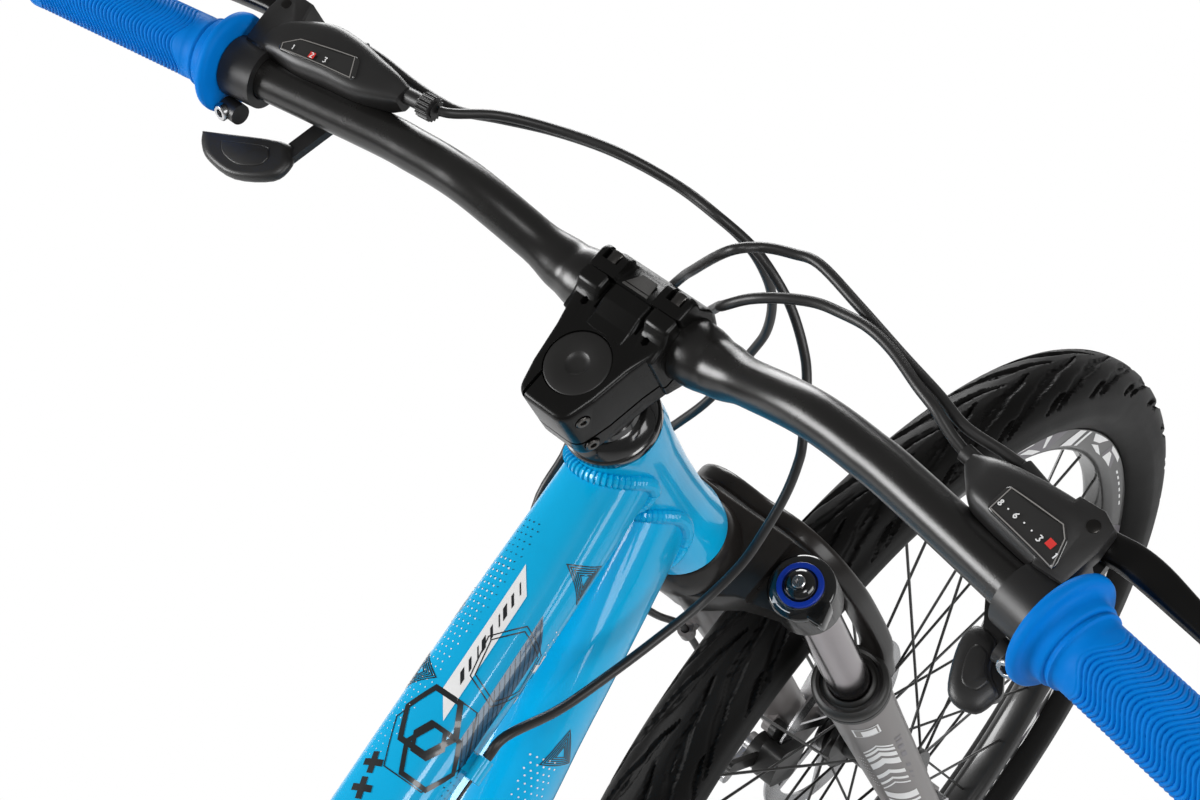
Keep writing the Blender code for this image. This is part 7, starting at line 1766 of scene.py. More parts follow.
def housing(name, points, parent, flex, wire=()):
    """A round housing along a smooth line, fixed in place in the frame; a bare wire may go on from its end."""
    line = curve(points, 3)
    sections = [circle(HOUSING_RADIUS, 6)] * len(line)
    if wire:
        tail = curve([line[-1], *wire], 2)
        line += [line[-1] + (tail[1] - line[-1]).normalized() * 0.0002] + tail[1:]
        sections += [circle(WIRE_RADIUS, 6)] * len(tail)
    made = place(sweep(line, sections), name, "black_plastic", parent, flex=flex)
    route = [parent @ p for p in line]
    length = sum((b - a).length for a, b in zip(route, route[1:]))
    tuple(route[0])
    [tuple(p) for p in route]


def steered(held, turned):
    """The frame's and the stem's bodies, and two (forward, up) points in steering coordinates between a cable's
    ends.
    """
    start, end = (steer_point(x, 0.0, u) for x, u in (held, turned))
    return BODY_OF["front_triangle"], BODY_OF["stem"], start, end


def beside_down_tube(above, below):
    """A cable's line along the down tube's left side, so far under the tube's own line above and below."""
    line = down_tube_line()[2:]
    return [p + Y * 0.0325 - UP * above for p in line[:3]] + [p + Y * 0.0335 - UP * below for p in line[3:]]


def rear_brake_cable(parent):
    """From the right lever round the stem's front, along the down tube and left chainstay."""
    points = steer_line([(65.2, -203.3, 25.6), (65.5, -193, 26.2), (65, -175, 29), (70, -158, 30), (77, -133, 27),
                         (87, -100, 22), (94, -72, 21), (92, -58, 20), (86, -45, 22), (76, -35, 24), (71, -8, -10),
                         (65, 12, -38), (20, 40, -75)])
    points += frame_line([(-11.6, 32.2, -97), (-45, 36.7, -114)]) + beside_down_tube(0.0, 0.0)
    points += [BB + Vector(p) for p in ((0.036, 0.0345, 0.056), (0.014, 0.0335, 0.0350), (-0.020, 0.0330, 0.0270))]
    points += [(0.385, 0.0380, 0.3205), (0.350, 0.0400, 0.3240), (0.300, 0.0455, 0.3295), (0.235, 0.0520, 0.3365),
               (0.180, 0.0580, 0.3435), (0.150, 0.0630, 0.3490), (0.128, 0.0700, 0.3580), (0.112, 0.0750, 0.3800)]
    plane = REAR_ROTOR + ARM_PLANE
    points += [(0.098, plane, 0.4120), (0.080, plane, 0.4360)]
    at = radial(REAR_AXLE + Y * REAR_ROTOR, REAR_CALIPER_ANGLE)
    points += stop_line(at, REAR_STOP, REAR_ARM)
    housing("rear_brake_cable", points, parent, steered(*REAR_FLEX), wire_line(at, REAR_STOP, REAR_ARM))


def cable_heading(at, stop, towards):
    """The stop, the arm's end and the direction between them, at the arm's plane."""
    begin = at @ Vector((*stop, ARM_PLANE))
    tip = at @ Vector((ACTUATOR[0] + towards[0], ACTUATOR[1] + towards[1], ARM_PLANE))
    return begin, tip, (begin - tip).normalized()


def stop_line(at, stop, towards):
    """The housing's last two points, in line with the wire that it holds."""
    begin, _, away = cable_heading(at, stop, towards)
    return [begin + away * 0.018, begin + away * 0.0048]


def wire_line(at, stop, towards):
    """The bare wire from the stop to the arm."""
    begin, tip, away = cable_heading(at, stop, towards)
    return [begin, tip + away * 0.0061]


def rear_shift_cable(parent):
    """From the right shifter across the head tube, along the down tube and right chainstay."""
    points = steer_line([(56.4, -181.0, 28.2), (58.6, -173, 30.5), (63, -162, 34), (67, -150, 34), (75, -130, 31),
                         (79, -113, 28), (79, -97, 25), (77, -84, 24), (71, -70, 23), (64, -56, 19), (58, -42, 8),
                         (66, -22, -25), (62, -5, -48), (38, 28, -85), (-5, 36, -115)])
    points += beside_down_tube(0.0090, 0.0110)
    under_shell = ((0.066, 0.0310, 0.0200), (0.044, 0.0200, -0.0120), (0.022, 0.0080, -0.0255),
                   (-0.004, -0.0060, -0.0262), (-0.036, -0.0240, -0.0190))
    points += [BB + Vector(p) for p in under_shell]
    points += [(0.350, -0.0400, 0.2900), (0.300, -0.0455, 0.2970), (0.235, -0.0520, 0.3060),
               (0.150, -0.0610, 0.3170), (0.110, -0.0700, 0.3200), (0.070, -0.0840, 0.3240),
               (0.020, -0.0990, 0.3280), (-0.030, -0.1010, 0.3280), (-0.066, -0.0960, 0.3200),
               (-0.068, -0.0880, 0.3110)]
    ferrule = REAR_AXLE + HANGER + Vector((-0.0284, -(REAR_OLD / 2 + DROPOUT) - 0.0100, -0.0082))
    points += [ferrule + Vector((-0.014, 0, -0.0025)), ferrule]
    housing("rear_shift_cable", points, parent, steered(*REAR_FLEX))


def front_shift_cable(parent):
    """From the left shifter to the top tube's stop, then a bare wire to the front derailleur."""
    points = steer_line([(56.0, 135.2, 27.8), (59.5, 129, 26), (74, 115, 17), (87, 90, 7), (96, 60, 0),
                         (102, 30, -13), (101, 5, -17), (101, -12, -27), (98, -25, -34), (93, -38, -48),
                         (84, -50, -62), (74, -58, -74), (52, -70, -89), (43, -72, -98), (30, -72, -110),
                         (13, -70, -123), (-6, -66, -137), (-33, -60, -144), (-63, -57, -137), (-92, -55, -126),
                         (-120, -53.5, -112)])
    stop, along = frame_point(*STOP_POINT), top_tube_direction()
    points += [stop - along * 0.0200 - Y * 0.0020, stop - along * 0.0066]
    ahead = Vector((math.sin(SEAT_ANGLE), 0, math.cos(SEAT_ANGLE)))
    wire = [stop, stop.lerp(seat_point(SEAT_JOINT + 0.006, -0.0230) + ahead * 0.0300, 0.5)]
    wire += [seat_point(at, left) + ahead * out for at, left, out in (
        (SEAT_JOINT + 0.004, -0.0220, 0.0300), (SEAT_JOINT - 0.004, -0.0215, 0.019),
        (SEAT_JOINT - 0.020, -0.0215, 0.0140), (0.300, -0.0220, 0.0120), (0.1640, -0.0260, 0.0020))]
    housing("front_shift_cable", points, parent, steered((-0.063, -0.137), (0.080, -0.040)), wire)


def front_brake_cable(parent):
    """From the left lever past the head tube and down behind the left leg, in steering coordinates."""
    line = [(67.2, 208.3, 12.4), (67.8, 198, 9.5), (67.5, 180, 5), (67.5, 160, 4), (69.5, 145, 3), (77, 123, 4),
            (89, 98, -3), (98, 68, -9), (104, 38, -20), (104, 12, -27), (103, -4, -33), (101, -14, -46),
            (98, -17, -68), (90, -15, -90), (80, -8, -107), (54, 5, -131), (37, 20, -150), (24, 36, -170),
            (7, 48, -187), (-12, 55, -202), (-26, 58, -250), (-29, 60, -320), (-22, 62.5, -375), (-13, 64.5, -412),
            (-10.2, 65, -428), (-10.2, 65, -437), (-10.2, 65, -446), (-11.5, 64.8, -480), (-18, 64.3, -520),
            (-31, 63.8, -558)]
    at = radial(Vector((AXLE_OFFSET, FRONT_ROTOR, AXLE_DEPTH)), FRONT_CALIPER_ANGLE)
    points = [Vector(p) / 1000 for p in line] + stop_line(at, FRONT_STOP, FRONT_ARM)
    flex = (BODY_OF["stem"], BODY_OF["fork_lowers"], steer_point(-0.020, 0.0, -0.290),
            steer_point(-0.020, 0.0, -0.400))
    housing("front_brake_cable", points, parent, flex, wire_line(at, FRONT_STOP, FRONT_ARM))


def socket_bolt(at, radius, height, hex_radius, depth):
    """A round-headed bolt with a hexagonal socket; Z points out of the head."""
    rim = radius * 0.88
    head = lathe([(0, -0.001), (radius, -0.001), (radius, height * 0.75), (rim, height), (0, height)], 12, at)
    bit = [(hex_radius * math.cos(math.pi * k / 3), hex_radius * math.sin(math.pi * k / 3)) for k in range(6)]
    return cut(head, prism(bit, height - depth, height + 0.001, at))


def flat_strip(points, width):
    """Quads along a flat line."""
    points = [Vector((p[0], p[1])) for p in points]
    sides = []
    for i, point in enumerate(points):
        before, after = points[max(i - 1, 0)], points[min(i + 1, len(points) - 1)]
        along = (after - before).normalized()
        across = Vector((-along.y, along.x)) * width / 2
        sides.append((point + across, point - across))
    return [[a[0], a[1], b[1], b[0]] for a, b in zip(sides, sides[1:])]


def sheet(faces, lift):
    """A thin printed mark: flat faces laid on a surface."""
    bm = bmesh.new()
    for face in faces:
        bm.faces.new([bm.verts.new(lift(p)) for p in face])
    bmesh.ops.remove_doubles(bm, verts=bm.verts, dist=0.00001)
    return to_object(bm)


def groove(along, across):
    """How deep the tread is cut at a place on the crown: 0 is the block's top and 1 the groove's floor."""
    pitch = 2 * math.pi * TYRE_RADIUS / TREAD_REPEATS
    deep = np.zeros_like(along)
    for start, end, length, shift, width, side, bend in TREAD:
        for copy in range(int(length / pitch) + 2):
            t = (np.mod(along - shift * pitch, pitch) + copy * pitch) / length
            inside = (t > 0) & (t < 1)
            t = np.clip(t, 0.0001, 0.9999)
            line = start + (end - start) * t ** 1.5 + bend * np.sin(2 * np.pi * t)
            half = width * np.sin(np.pi * t) ** 0.6
            near = np.abs(across * side - line) / np.maximum(half, 0.0002)
            cut_here = np.clip((1.25 - near) / 0.5, 0, 1) * inside
            deep = np.maximum(deep, cut_here * cut_here * (3 - 2 * cut_here))
    return deep


def grid_face(corners, across, along):
    """A four-cornered patch divided into cells, so that it can follow a curved surface."""
    a, b, c, d = [Vector(p) for p in corners]
    cells = []
    for i in range(across):
        for j in range(along):
            cell = []
            for u, v in ((i, j), (i + 1, j), (i + 1, j + 1), (i, j + 1)):
                u, v = u / across, v / along
                cell.append(tuple(a.lerp(b, u).lerp(d.lerp(c, u), v)))
            cells.append(cell)
    return cells


def rim_marks(name, parent):
    """Printed grey panels and white shards on both faces of a rim."""
    low, high = RIM_INNER + 0.0070, RIM_OUTER - 0.0006
    for side, tag in ((-1, "right"), (1, "left")):
        def lift(p, raise_by=0.0):
            """A place on the rim's face, from degrees round it and a share of its height."""
            point = wheel_point(low + (high - low) * p[1], math.radians(p[0]) * side)
            return Vector((point.x, side * (RIM_WIDTH / 2 + 0.00012 + raise_by), point.z))

        grey, white = [], []
        for k in range(5):
            base = 72 * k + 8 * side
            grey += grid_face([(base, 0.0), (base + 21, 0.0), (base + 25, 1.0), (base + 3, 1.0)], 22, 3)
            grey += grid_face([(base + 44, 0.1), (base + 52, 0.1), (base + 50, 0.9), (base + 46, 0.9)], 8, 3)
            for corners in SHARDS:
                white += grid_face([(base + a, b) for a, b in corners], 4, 3)
            for j in range(6):
                start = base + 55 + j * 2.2
                tick = [(start, 0.42), (start + 1.2, 0.42), (start + 1.5, 0.55), (start + 0.3, 0.55)]
                white += grid_face(tick, 2, 1)
        extra(sheet(grey, lift), name, "panels_" + tag, "rim_grey", parent)
        extra(sheet(white, lambda p: lift(p, 0.00012)), name, "shards_" + tag, "mark_white", parent)


def tube_stations(points, halves):
    """Finer stations of a tube's centre line and half-sizes."""
    line = curve(points, 2)
    sizes = curve([Vector((a, b, 0)) for a, b in halves], 2)
    return line, [(p.x, p.y) for p in sizes]


def tube_skin(points, halves):
    """A function that lays (along, round from the top to the right) on a tube's surface."""
    line, sizes = tube_stations(points, halves)
    power, steps = TUBE_POWER, 72
    reach = [0.0]
    for a, b in zip(line, line[1:]):
        reach.append(reach[-1] + (b - a).length)

    def lay(p, lift=0.00015):
        """The point at p, raised from the surface by lift."""
        along = min(max(p[0], 0.0), reach[-1] - 0.0001)
        i = max(k for k in range(len(line) - 1) if reach[k] <= along)
        t = (along - reach[i]) / (reach[i + 1] - reach[i])
        centre = line[i].lerp(line[i + 1], t)
        a, b = (near * (1 - t) + far * t for near, far in zip(sizes[i], sizes[i + 1]))
        tangent = (line[i + 1] - line[i]).normalized()
        down = tangent.cross(Y).normalized()
        want, travelled, spot = abs(p[1]), 0.0, (0.0, -b)
        for k in range(1, steps + 1):
            angle = math.pi * k / steps
            x = a * math.sin(angle) ** (2 / power)
            z = -b * math.copysign(abs(math.cos(angle)) ** (2 / power), math.cos(angle))
            step = math.hypot(x - spot[0], z - spot[1])
            if travelled + step >= want:
                share = (want - travelled) / step
                spot = (spot[0] + (x - spot[0]) * share, spot[1] + (z - spot[1]) * share)
                break
            travelled += step
            spot = (x, z)
        x, z = spot
        out = Vector(((abs(x) / a) ** (power - 1) / a, math.copysign((abs(z) / b) ** (power - 1) / b, z)))
        out.normalize()
        sign = 1 if p[1] >= 0 else -1
        return centre - Y * sign * (x + out.x * lift) + down * (z + out.y * lift)

    return lay


def loop_marks(corners, width):
    """Quads along a closed line of corners, fine enough to follow a tube."""
    count = len(corners)
    middle = middle_of(corners)
    inner, outer = [], []
    for i in range(count):
        here = Vector(corners[i])
        before = (here - Vector(corners[i - 1])).normalized()
        after = (Vector(corners[(i + 1) % count]) - here).normalized()
        across = Vector((-(before + after).y, (before + after).x)).normalized()
        if across.dot(here - middle) < 0:
            across.negate()
        spread = width / 2 / max(0.3, abs(across.dot(Vector((-after.y, after.x)))))
        inner.append(here - across * spread)
        outer.append(here + across * spread)
    faces = []
    for i in range(count):
        j = (i + 1) % count
        cells = max(1, round((inner[i] - inner[j]).length / MARK_CELL))
        faces += grid_face([inner[i], inner[j], outer[j], outer[i]], cells, 1)
    return faces


def regular(centre, radius, sides, turn=0.0, stretch=1.0):
    """A regular polygon's corners on a flat drawing."""
    made = []
    for k in range(sides):
        angle = turn + 2 * math.pi * k / sides
        made.append((centre[0] + radius * stretch * math.cos(angle), centre[1] + radius * math.sin(angle)))
    return made


def plus_marks(centre, size, width):
    """A plus sign turned a little."""
    faces = []
    for angle in (0.35, 0.35 + math.pi / 2):
        along = Vector((math.cos(angle), math.sin(angle)))
        across = Vector((-along.y, along.x)) * width / 2
        here = Vector(centre)
        faces += grid_face([here - along * size - across, here + along * size - across,
                            here + along * size + across, here - along * size + across], 5, 2)
    return faces


def dots(start, step, rows, columns, radius):
    """A staggered field of small diamonds that shrink along the rows."""
    faces = []
    for i in range(rows):
        for j in range(columns):
            size = radius * (1 - 0.55 * i / rows)
            x = start[0] + i * step
            y = start[1] + (j + (i % 2) / 2) * step
            faces.append(regular((x, y), size, 6))
    return faces


def slash(start, length, low, high, lean):
    """A slanted bar along the tube."""
    return grid_face([(start, low), (start + length, low), (start + length + lean, high), (start + lean, high)],
                     max(2, round(length / 0.005)), 4)


def outlined(centre, radius, sides, turn, stretch, width):
    """A regular shape drawn as a line."""
    return loop_marks(regular(centre, radius, sides, turn, stretch), width)


def nested(centre, sides, turn, start, count, step=0.0022, stretch=1.0):
    """Outlines of one shape inside the next."""
    faces = []
    for k in range(count):
        faces += outlined(centre, start + step * k, sides, turn, stretch, 0.0006)
    return faces


def wedges(start, count):
    """Small triangles in a climbing row."""
    return [regular((start[0] + 0.006 * k, start[1] + 0.0010 * k), 0.0022, 3) for k in range(count)]


def slashes(start, pitch, count, length, growth, low, high, lean):
    """A row of slanted bars, their lengths repeating in threes."""
    faces = []
    for k in range(count):
        faces += slash(start + pitch * k, length + growth * (k % 3), low, high, lean)
    return faces


# The artwork: the layer, the shape, and where it sits along a tube and round it from the top to the right
TOP_MARKS = (
    ("white", slash, 0.070, 0.070, -0.0010, 0.0085, 0.013),
    ("line", slashes, 0.0785, 0.0060, 9, 0.0012, 0.0011, 0.0020, 0.0056, 0.0050),
    ("line", nested, (0.0600, 0.0290), 3, 0.5, 0.0040, 5),
    ("shade", slash, 0.0860, 0.070, 0.0200, 0.0300, 0.014),
    ("line", slashes, 0.0880, 0.0044, 16, 0.0006, 0, 0.0205, 0.0295, 0.014),
    ("line", nested, (0.1150, 0.0200), 6, 0.2, 0.0150, 2, 0.0022, 1.2),
    ("white", plus_marks, (0.1060, 0.0400), 0.0068, 0.0040),
    ("white", plus_marks, (0.1230, 0.0435), 0.0068, 0.0040),
    ("line", outlined, (0.1560, 0.0030), 0.0150, 6, 0.5, 1.1, 0.0028),
    ("line", outlined, (0.1700, 0.0130), 0.0140, 6, 0.5, 1.1, 0.0024),
    ("line", outlined, (0.1640, 0.0080), 0.0080, 6, 0.5, 1.1, 0.0020),
    ("line", outlined, (0.1630, 0.0080), 0.0222, 6, 0.5, 1.15, 0.0006),
    ("line", plus_marks, (0.1860, -0.0100), 0.0054, 0.0034),
    ("line", plus_marks, (0.1985, -0.0070), 0.0054, 0.0034),
    ("white", dots, (0.0720, -0.0240), 0.0036, 32, 5, 0.00058),
    ("line", dots, (0.0500, -0.0180), 0.0036, 18, 4, 0.00045),
    ("white", dots, (0.1980, 0.0140), 0.0036, 24, 5, 0.00062),
    ("line", dots, (0.1560, 0.0270), 0.0036, 26, 5, 0.00048),
    ("white", dots, (0.0880, 0.0330), 0.0036, 7, 2, 0.00055),
    ("line", nested, (0.2380, 0.0290), 4, 0.4, 0.0036, 5, 0.0022, 1.2),
    ("line", nested, (0.1380, -0.0200), 3, 1.6, 0.0036, 5),
    ("line", outlined, (0.2560, 0.0080), 0.0150, 6, 0.1, 1.1, 0.0026),
    ("line", outlined, (0.2680, 0.0000), 0.0130, 6, 0.1, 1.1, 0.0022),
    ("line", outlined, (0.2620, 0.0040), 0.0205, 6, 0.1, 1.15, 0.0006),
    ("line", wedges, (0.2940, -0.0040), 3),
    ("white", slash, 0.3200, 0.050, -0.0160, -0.0080, 0.010),
    ("white", slash, 0.3780, 0.014, -0.0160, -0.0080, 0.010),
    ("line", outlined, (0.3400, 0.0140), 0.0120, 6, 0.2, 1.1, 0.0020),
    ("shade", slash, 0.2000, 0.060, -0.0380, -0.0290, 0.012),
    ("white", plus_marks, (0.1700, -0.0340), 0.0064, 0.0038),
    ("white", plus_marks, (0.1870, -0.0360), 0.0064, 0.0038),
    ("line", nested, (0.1000, -0.0330), 6, 0.3, 0.0040, 4, 0.0026, 1.1))
DOWN_MARKS = (
    ("line", nested, (0.1350, 0.0350), 3, 1.2, 0.0040, 5),
    ("white", plus_marks, (0.1780, 0.0330), 0.0072, 0.0042),
    ("white", plus_marks, (0.1960, 0.0370), 0.0072, 0.0042),
    ("line", plus_marks, (0.2180, 0.0300), 0.0054, 0.0034),
    ("white", dots, (0.1400, 0.0180), 0.0038, 16, 5, 0.00062),
    ("line", dots, (0.2050, 0.0200), 0.0038, 16, 6, 0.00048),
    ("line", outlined, (0.2800, 0.0380), 0.0220, 6, 0.2, 1.2, 0.0032),
    ("line", outlined, (0.3000, 0.0440), 0.0190, 6, 0.2, 1.2, 0.0008),
    ("white", slash, 0.3350, 0.110, 0.0330, 0.0460, 0.016),
    ("white", slash, 0.4530, 0.026, 0.0330, 0.0460, 0.016),
    ("shade", slash, 0.3200, 0.140, 0.0480, 0.0600, 0.016),
    ("line", slashes, 0.3420, 0.016, 6, 0.006, 0, 0.0365, 0.0425, 0.007),
    ("line", dots, (0.5000, 0.0360), 0.0036, 14, 6, 0.0007))


def frame_marks(parent):
    """The printed artwork of the top and down tubes: slanted bars, hexagons, nested shapes, plus signs, dots."""
    layers = {"shade": ("mark_deep", 0.00010), "white": ("mark_white", 0.00018), "line": ("mark_black", 0.00026)}
    top, down = tube_skin(*top_tube_stations(TUBE_INSET)), tube_skin(*down_tube_stations(True))
    for table, lay, side, tag in ((TOP_MARKS, top, 1, "top"), (DOWN_MARKS, down, 1, "down_right"),
                                  (DOWN_MARKS, down, -1, "down_left")):
        for kind, (paint, height) in layers.items():
            faces = [face for layer, draw, *values in table if layer == kind for face in draw(*values)]
            made = sheet(faces, lambda p: lay((p[0], p[1] * side), height))
            extra(made, "front_triangle", kind + "_" + tag, paint, parent)


def top_tube_stations(reach):
    """The top tube's centre line and half-sizes; reach is the distance of its ends from the other tubes' axes."""
    start = frame_point(-reach, TOP_TUBE_HEIGHT)
    seat = seat_point(SEAT_JOINT)
    end = seat - (seat - start).normalized() * reach
    points = [start.lerp(end, t) for t in (0, 0.18, 0.42, 0.7, 1)]
    wide, deep = TOP_TUBE_WIDTH / 2, TOP_TUBE_DEPTH / 2
    return points, [(wide * a, deep * b) for a, b in ((0.88, 1.25), (1, 1), (0.95, 0.97), (0.80, 1), (0.66, 1.02))]


def down_tube_stations(whole):
    """The down tube's centre line and half-sizes; the whole tube stops short of the bottom bracket's axis."""
    line = down_tube_line()
    end = line[-1].lerp(BB, 0.90 if whole else 1.0)
    wide, deep = DOWN_TUBE_WIDTH / 2, DOWN_TUBE_DEPTH / 2
    return line + [end], [(wide * a, deep * b) for a, b in ((0.80, 1), (0.92, 0.97), (1, 0.90), (1, 0.82),
                                                            (0.98, 0.78), (1, 0.74), (1.05, 0.70), (1.08, 0.62))]


def head_radius(up):
    """The head tube's outer radius at a height on the steering axis."""
    top, middle, bottom = HEAD_RADII
    low, high = up - HEAD_BOTTOM, HEAD_TOP - up
    if low < 0.030:
        return bottom + (middle + 0.001 - bottom) * min(1, max(0, (low - 0.012) / 0.018))
    if high < 0.030:
        return top + (middle + 0.0008 - top) * min(1, max(0, (high - 0.012) / 0.018))
    return middle


def seam_round(lay, girth, reach):
    """Points where a tube's surface meets the head tube, from one edge of the girth to the other."""
    ring = []
    count = 150
    for k in range(count):
        around = -girth / 2 + girth * k / count
        low, high = 0.0, reach
        for _ in range(24):
            middle = (low + high) / 2
            spot = lay((middle, around), 0.0) - STEM_TOP
            up = spot.dot(UP)
            if (spot - UP * up).length < head_radius(up):
                low = middle
            else:
                high = middle
        spot = lay((high + 0.0018, around), 0.0004)
        if not ring or (spot - ring[-1]).length > 0.0002:
            ring.append(spot)
    return ring


def weld(tag, lay, girth, reach, parent):
    """The band of overlapping puddles where a tube meets the head tube."""
    ring = seam_round(lay, girth, reach)
    travelled = [0.0]
    for a, b in zip(ring, ring[1:] + ring[:1]):
        travelled.append(travelled[-1] + (b - a).length)
    steps = round(travelled[-1] / PUDDLE) * PUDDLE_STEPS
    line, sections = [], []
    i = 0
    for k in range(steps):
        want = travelled[-1] * k / steps
        while travelled[i + 1] < want:
            i += 1
        share = (want - travelled[i]) / (travelled[i + 1] - travelled[i])
        line.append(ring[i].lerp(ring[(i + 1) % len(ring)], share))
        size = PUDDLE_RADIUS + PUDDLE_SWELL * math.sqrt((k % PUDDLE_STEPS) / PUDDLE_STEPS)
        sections.append(circle(size, 6, 0))
    extra(sweep(line, sections, closed=True), "front_triangle", tag, "frame_paint", parent, sharp=20)


def wiper(tag, side, parent):
    """The dark collar and stepped rubber lip at the top of a lower leg."""
    outer, inner = LEG_RADII[0], STANCHION_RADIUS + GAP
    lip = [(0.0003, -0.0134), (0.0003, -0.0004), (0.0010, 0), (0.0024, -0.0010), (0.0034, -0.0030),
           (0.0050, -0.0032), (0.0054, -0.0012)]
    collar = [(-0.0034, -0.0004), (-0.0022, -0.0008), (-0.0008, -0.0018), (0, -0.0034), (0, -0.0072),
              (-0.0009, -0.0078), (-0.0009, -0.0086), (0, -0.0092), (0, -0.0128), (-0.0006, -0.0136)]
    profile = [(base + r, LEG_TOP + h) for base, rows in ((inner, lip), (outer, collar)) for r, h in rows]
    extra(lathe(profile, 40, leg_place(side)), "fork_lowers", "wiper_" + tag, "wiper_black", parent, sharp=28)


def leg_marks(tag, side, parent):
    """Printed chevrons, slanted bars, dots and a plain label on the outer face of a lower leg."""
    def lift(p, raise_by=0.0):
        """A place on the leg, from degrees ahead of its outermost line and a height."""
        below = p[1] - LEG_SHOULDER
        share = min(1.0, max(0.0, below / (LEG_FOOT + LEG_TAPER - LEG_SHOULDER)))
        radius = (LEG_RADII[1] - 0.0005) * (1 - share) + LEG_RADII[2] * share
        radius = radius + max(0.0, below) / 0.041 * 0.0006 + 0.00015 + raise_by
        angle = math.radians(-90 - p[0]) if side < 0 else math.radians(90 + p[0])
        return Vector((LEG_X + radius * math.cos(angle), side * LEG_Y + radius * math.sin(angle), p[1]))

    def bar(left, right, low, tall, lean):
        """A slanted bar between two angles."""
        return grid_face([(left, low), (right, low + lean), (right, low + lean + tall), (left, low + tall)],
                         max(2, round(abs(right - left) / 5)), 2)

    white, grey = [], []
    for k, (low, tall) in enumerate(((-0.4560, 0.0030), (-0.4640, 0.0050), (-0.4760, 0.0080), (-0.4930, 0.0120),
                                     (-0.5150, 0.0080), (-0.5290, 0.0050), (-0.5390, 0.0030))):
        white += bar(8, 36, low, tall, 0.0140) + bar(36, 64, low + 0.0140, tall, -0.0140)
        grey += bar(-16 + 2 * k, 2, low, tall * 0.8, 0.0060)
    white += bar(4, 66, -0.5740, 0.0140, 0.0160) + bar(4, 66, -0.5840, 0.0050, 0.0160)
    grey += bar(4, 66, -0.5990, 0.0100, 0.0160) + bar(4, 40, -0.6060, 0.0030, 0.0093)
    for k in range(9):
        for j in range(3):
            white += bar(70 + 4 * j, 72 + 4 * j, -0.4700 - 0.0080 * k, 0.0012, 0.0)
    for faces, height, name, paint in (
            (white, 0.0, "bars_", "mark_white"), (grey, 0.00005, "shades_", "rim_grey"),
            (bar(16, 62, -0.4190, 0.0150, 0.0), 0.0, "label_", "mark_white"),
            (bar(19, 59, -0.4180, 0.0130, 0.0), 0.00012, "label_field_", "mark_grey"),
            (bar(22, 48, -0.4172, 0.0100, 0.0), 0.00024, "label_centre_", "mark_white")):
        extra(sheet(faces, lambda p: lift(p, height)), "fork_lowers", name + tag, paint, parent)


def pod_top(y, stations):
    """The height of a pod's top at a distance out along the bar."""
    rows = sorted((row[0], row[4]) for row in stations)
    return float(np.interp(y, [r[0] for r in rows], [r[1] for r in rows]))


DIGIT_HEIGHT = 0.0027
DIGITS = {"1": ((0.1, 0.8), (0.3, 1.0), (0.3, 0.0)),
          "2": ((0.0, 0.9), (0.3, 1.0), (0.6, 0.8), (0.0, 0.0), (0.6, 0.0)),
          "3": ((0.0, 1.0), (0.6, 1.0), (0.3, 0.55), (0.6, 0.3), (0.3, 0.0), (0.0, 0.1)),
          "6": ((0.5, 1.0), (0.1, 0.6), (0.0, 0.3), (0.3, 0.0), (0.6, 0.3), (0.3, 0.55), (0.05, 0.4)),
          "8": ((0.3, 0.52), (0.55, 0.78), (0.3, 1.0), (0.05, 0.78), (0.3, 0.52), (0.6, 0.25), (0.3, 0.0),
                (0.0, 0.25), (0.3, 0.52))}


def gear_window(name, stations, corners, digits, dots_at, square, parent):
    """The dark window in a pod's top with its pale border, figures and marker."""
    def lift(p, raise_by=0.0):
        """A place on the pod's top."""
        return Vector((p[0], p[1], pod_top(abs(p[1]), stations) + 0.0006 + raise_by))

    points = [Vector(p) for p in rounded([(x, y, 0.003) for x, y in corners], 2)]
    middle = middle_of(points)
    rings = []
    for share, height in ((1.0, -0.0050), (1.0, -0.0002), (0.985, 0.0002), (0.95, 0.0004)):
        rings.append([lift(middle + (p - middle) * share, height) for p in points])
    extra(skin(rings), name, "window", "glass_black", parent, sharp=40)
    inner = [tuple(middle + (Vector(p) - middle) * 0.90) for p in corners]
    right = (Vector(digits[-1][1]) - Vector(digits[0][1])).normalized()
    up = Vector((-right.y, right.x))
    figures = []
    for figure, at in digits:
        line = [Vector(at) + right * DIGIT_HEIGHT * (u - 0.3) + up * DIGIT_HEIGHT * (v - 0.5)
                for u, v in DIGITS[figure]]
        for a, b in zip(line, line[1:]):
            figures += flat_strip([a, b], 0.00050)
    figures += [regular(at, 0.0004, 8) for at in dots_at]
    ends = ((-1, -1), (1, -1), (1, 1), (-1, 1))
    patch = [tuple(Vector(square) + right * a * 0.0017 + up * b * 0.0017) for a, b in ends]
    for faces, height, tag, paint in ((loop_marks(inner, 0.0005), 0.0006, "border", "mark_grey"),
                                      (figures, 0.0008, "figures", "mark_white"),
                                      ([patch], 0.0007, "marker", "mark_red")):
        extra(sheet(faces, lambda p: lift(p, height)), name, tag, paint, parent)


def cam_lever(name, parent, seat_plane, angle):
    """Hang a cam lever on its pin, outside the dropout and square to the axle."""
    arm = Vector((math.cos(angle), 0, math.sin(angle)))
    pin = Vector((-math.sin(angle), 0, math.cos(angle)))
    at = Matrix((arm, Y, pin)).transposed().to_4x4()
    axle_lever(name, parent @ (Matrix.Translation((0, seat_plane + CAM_OUT, 0)) @ at))


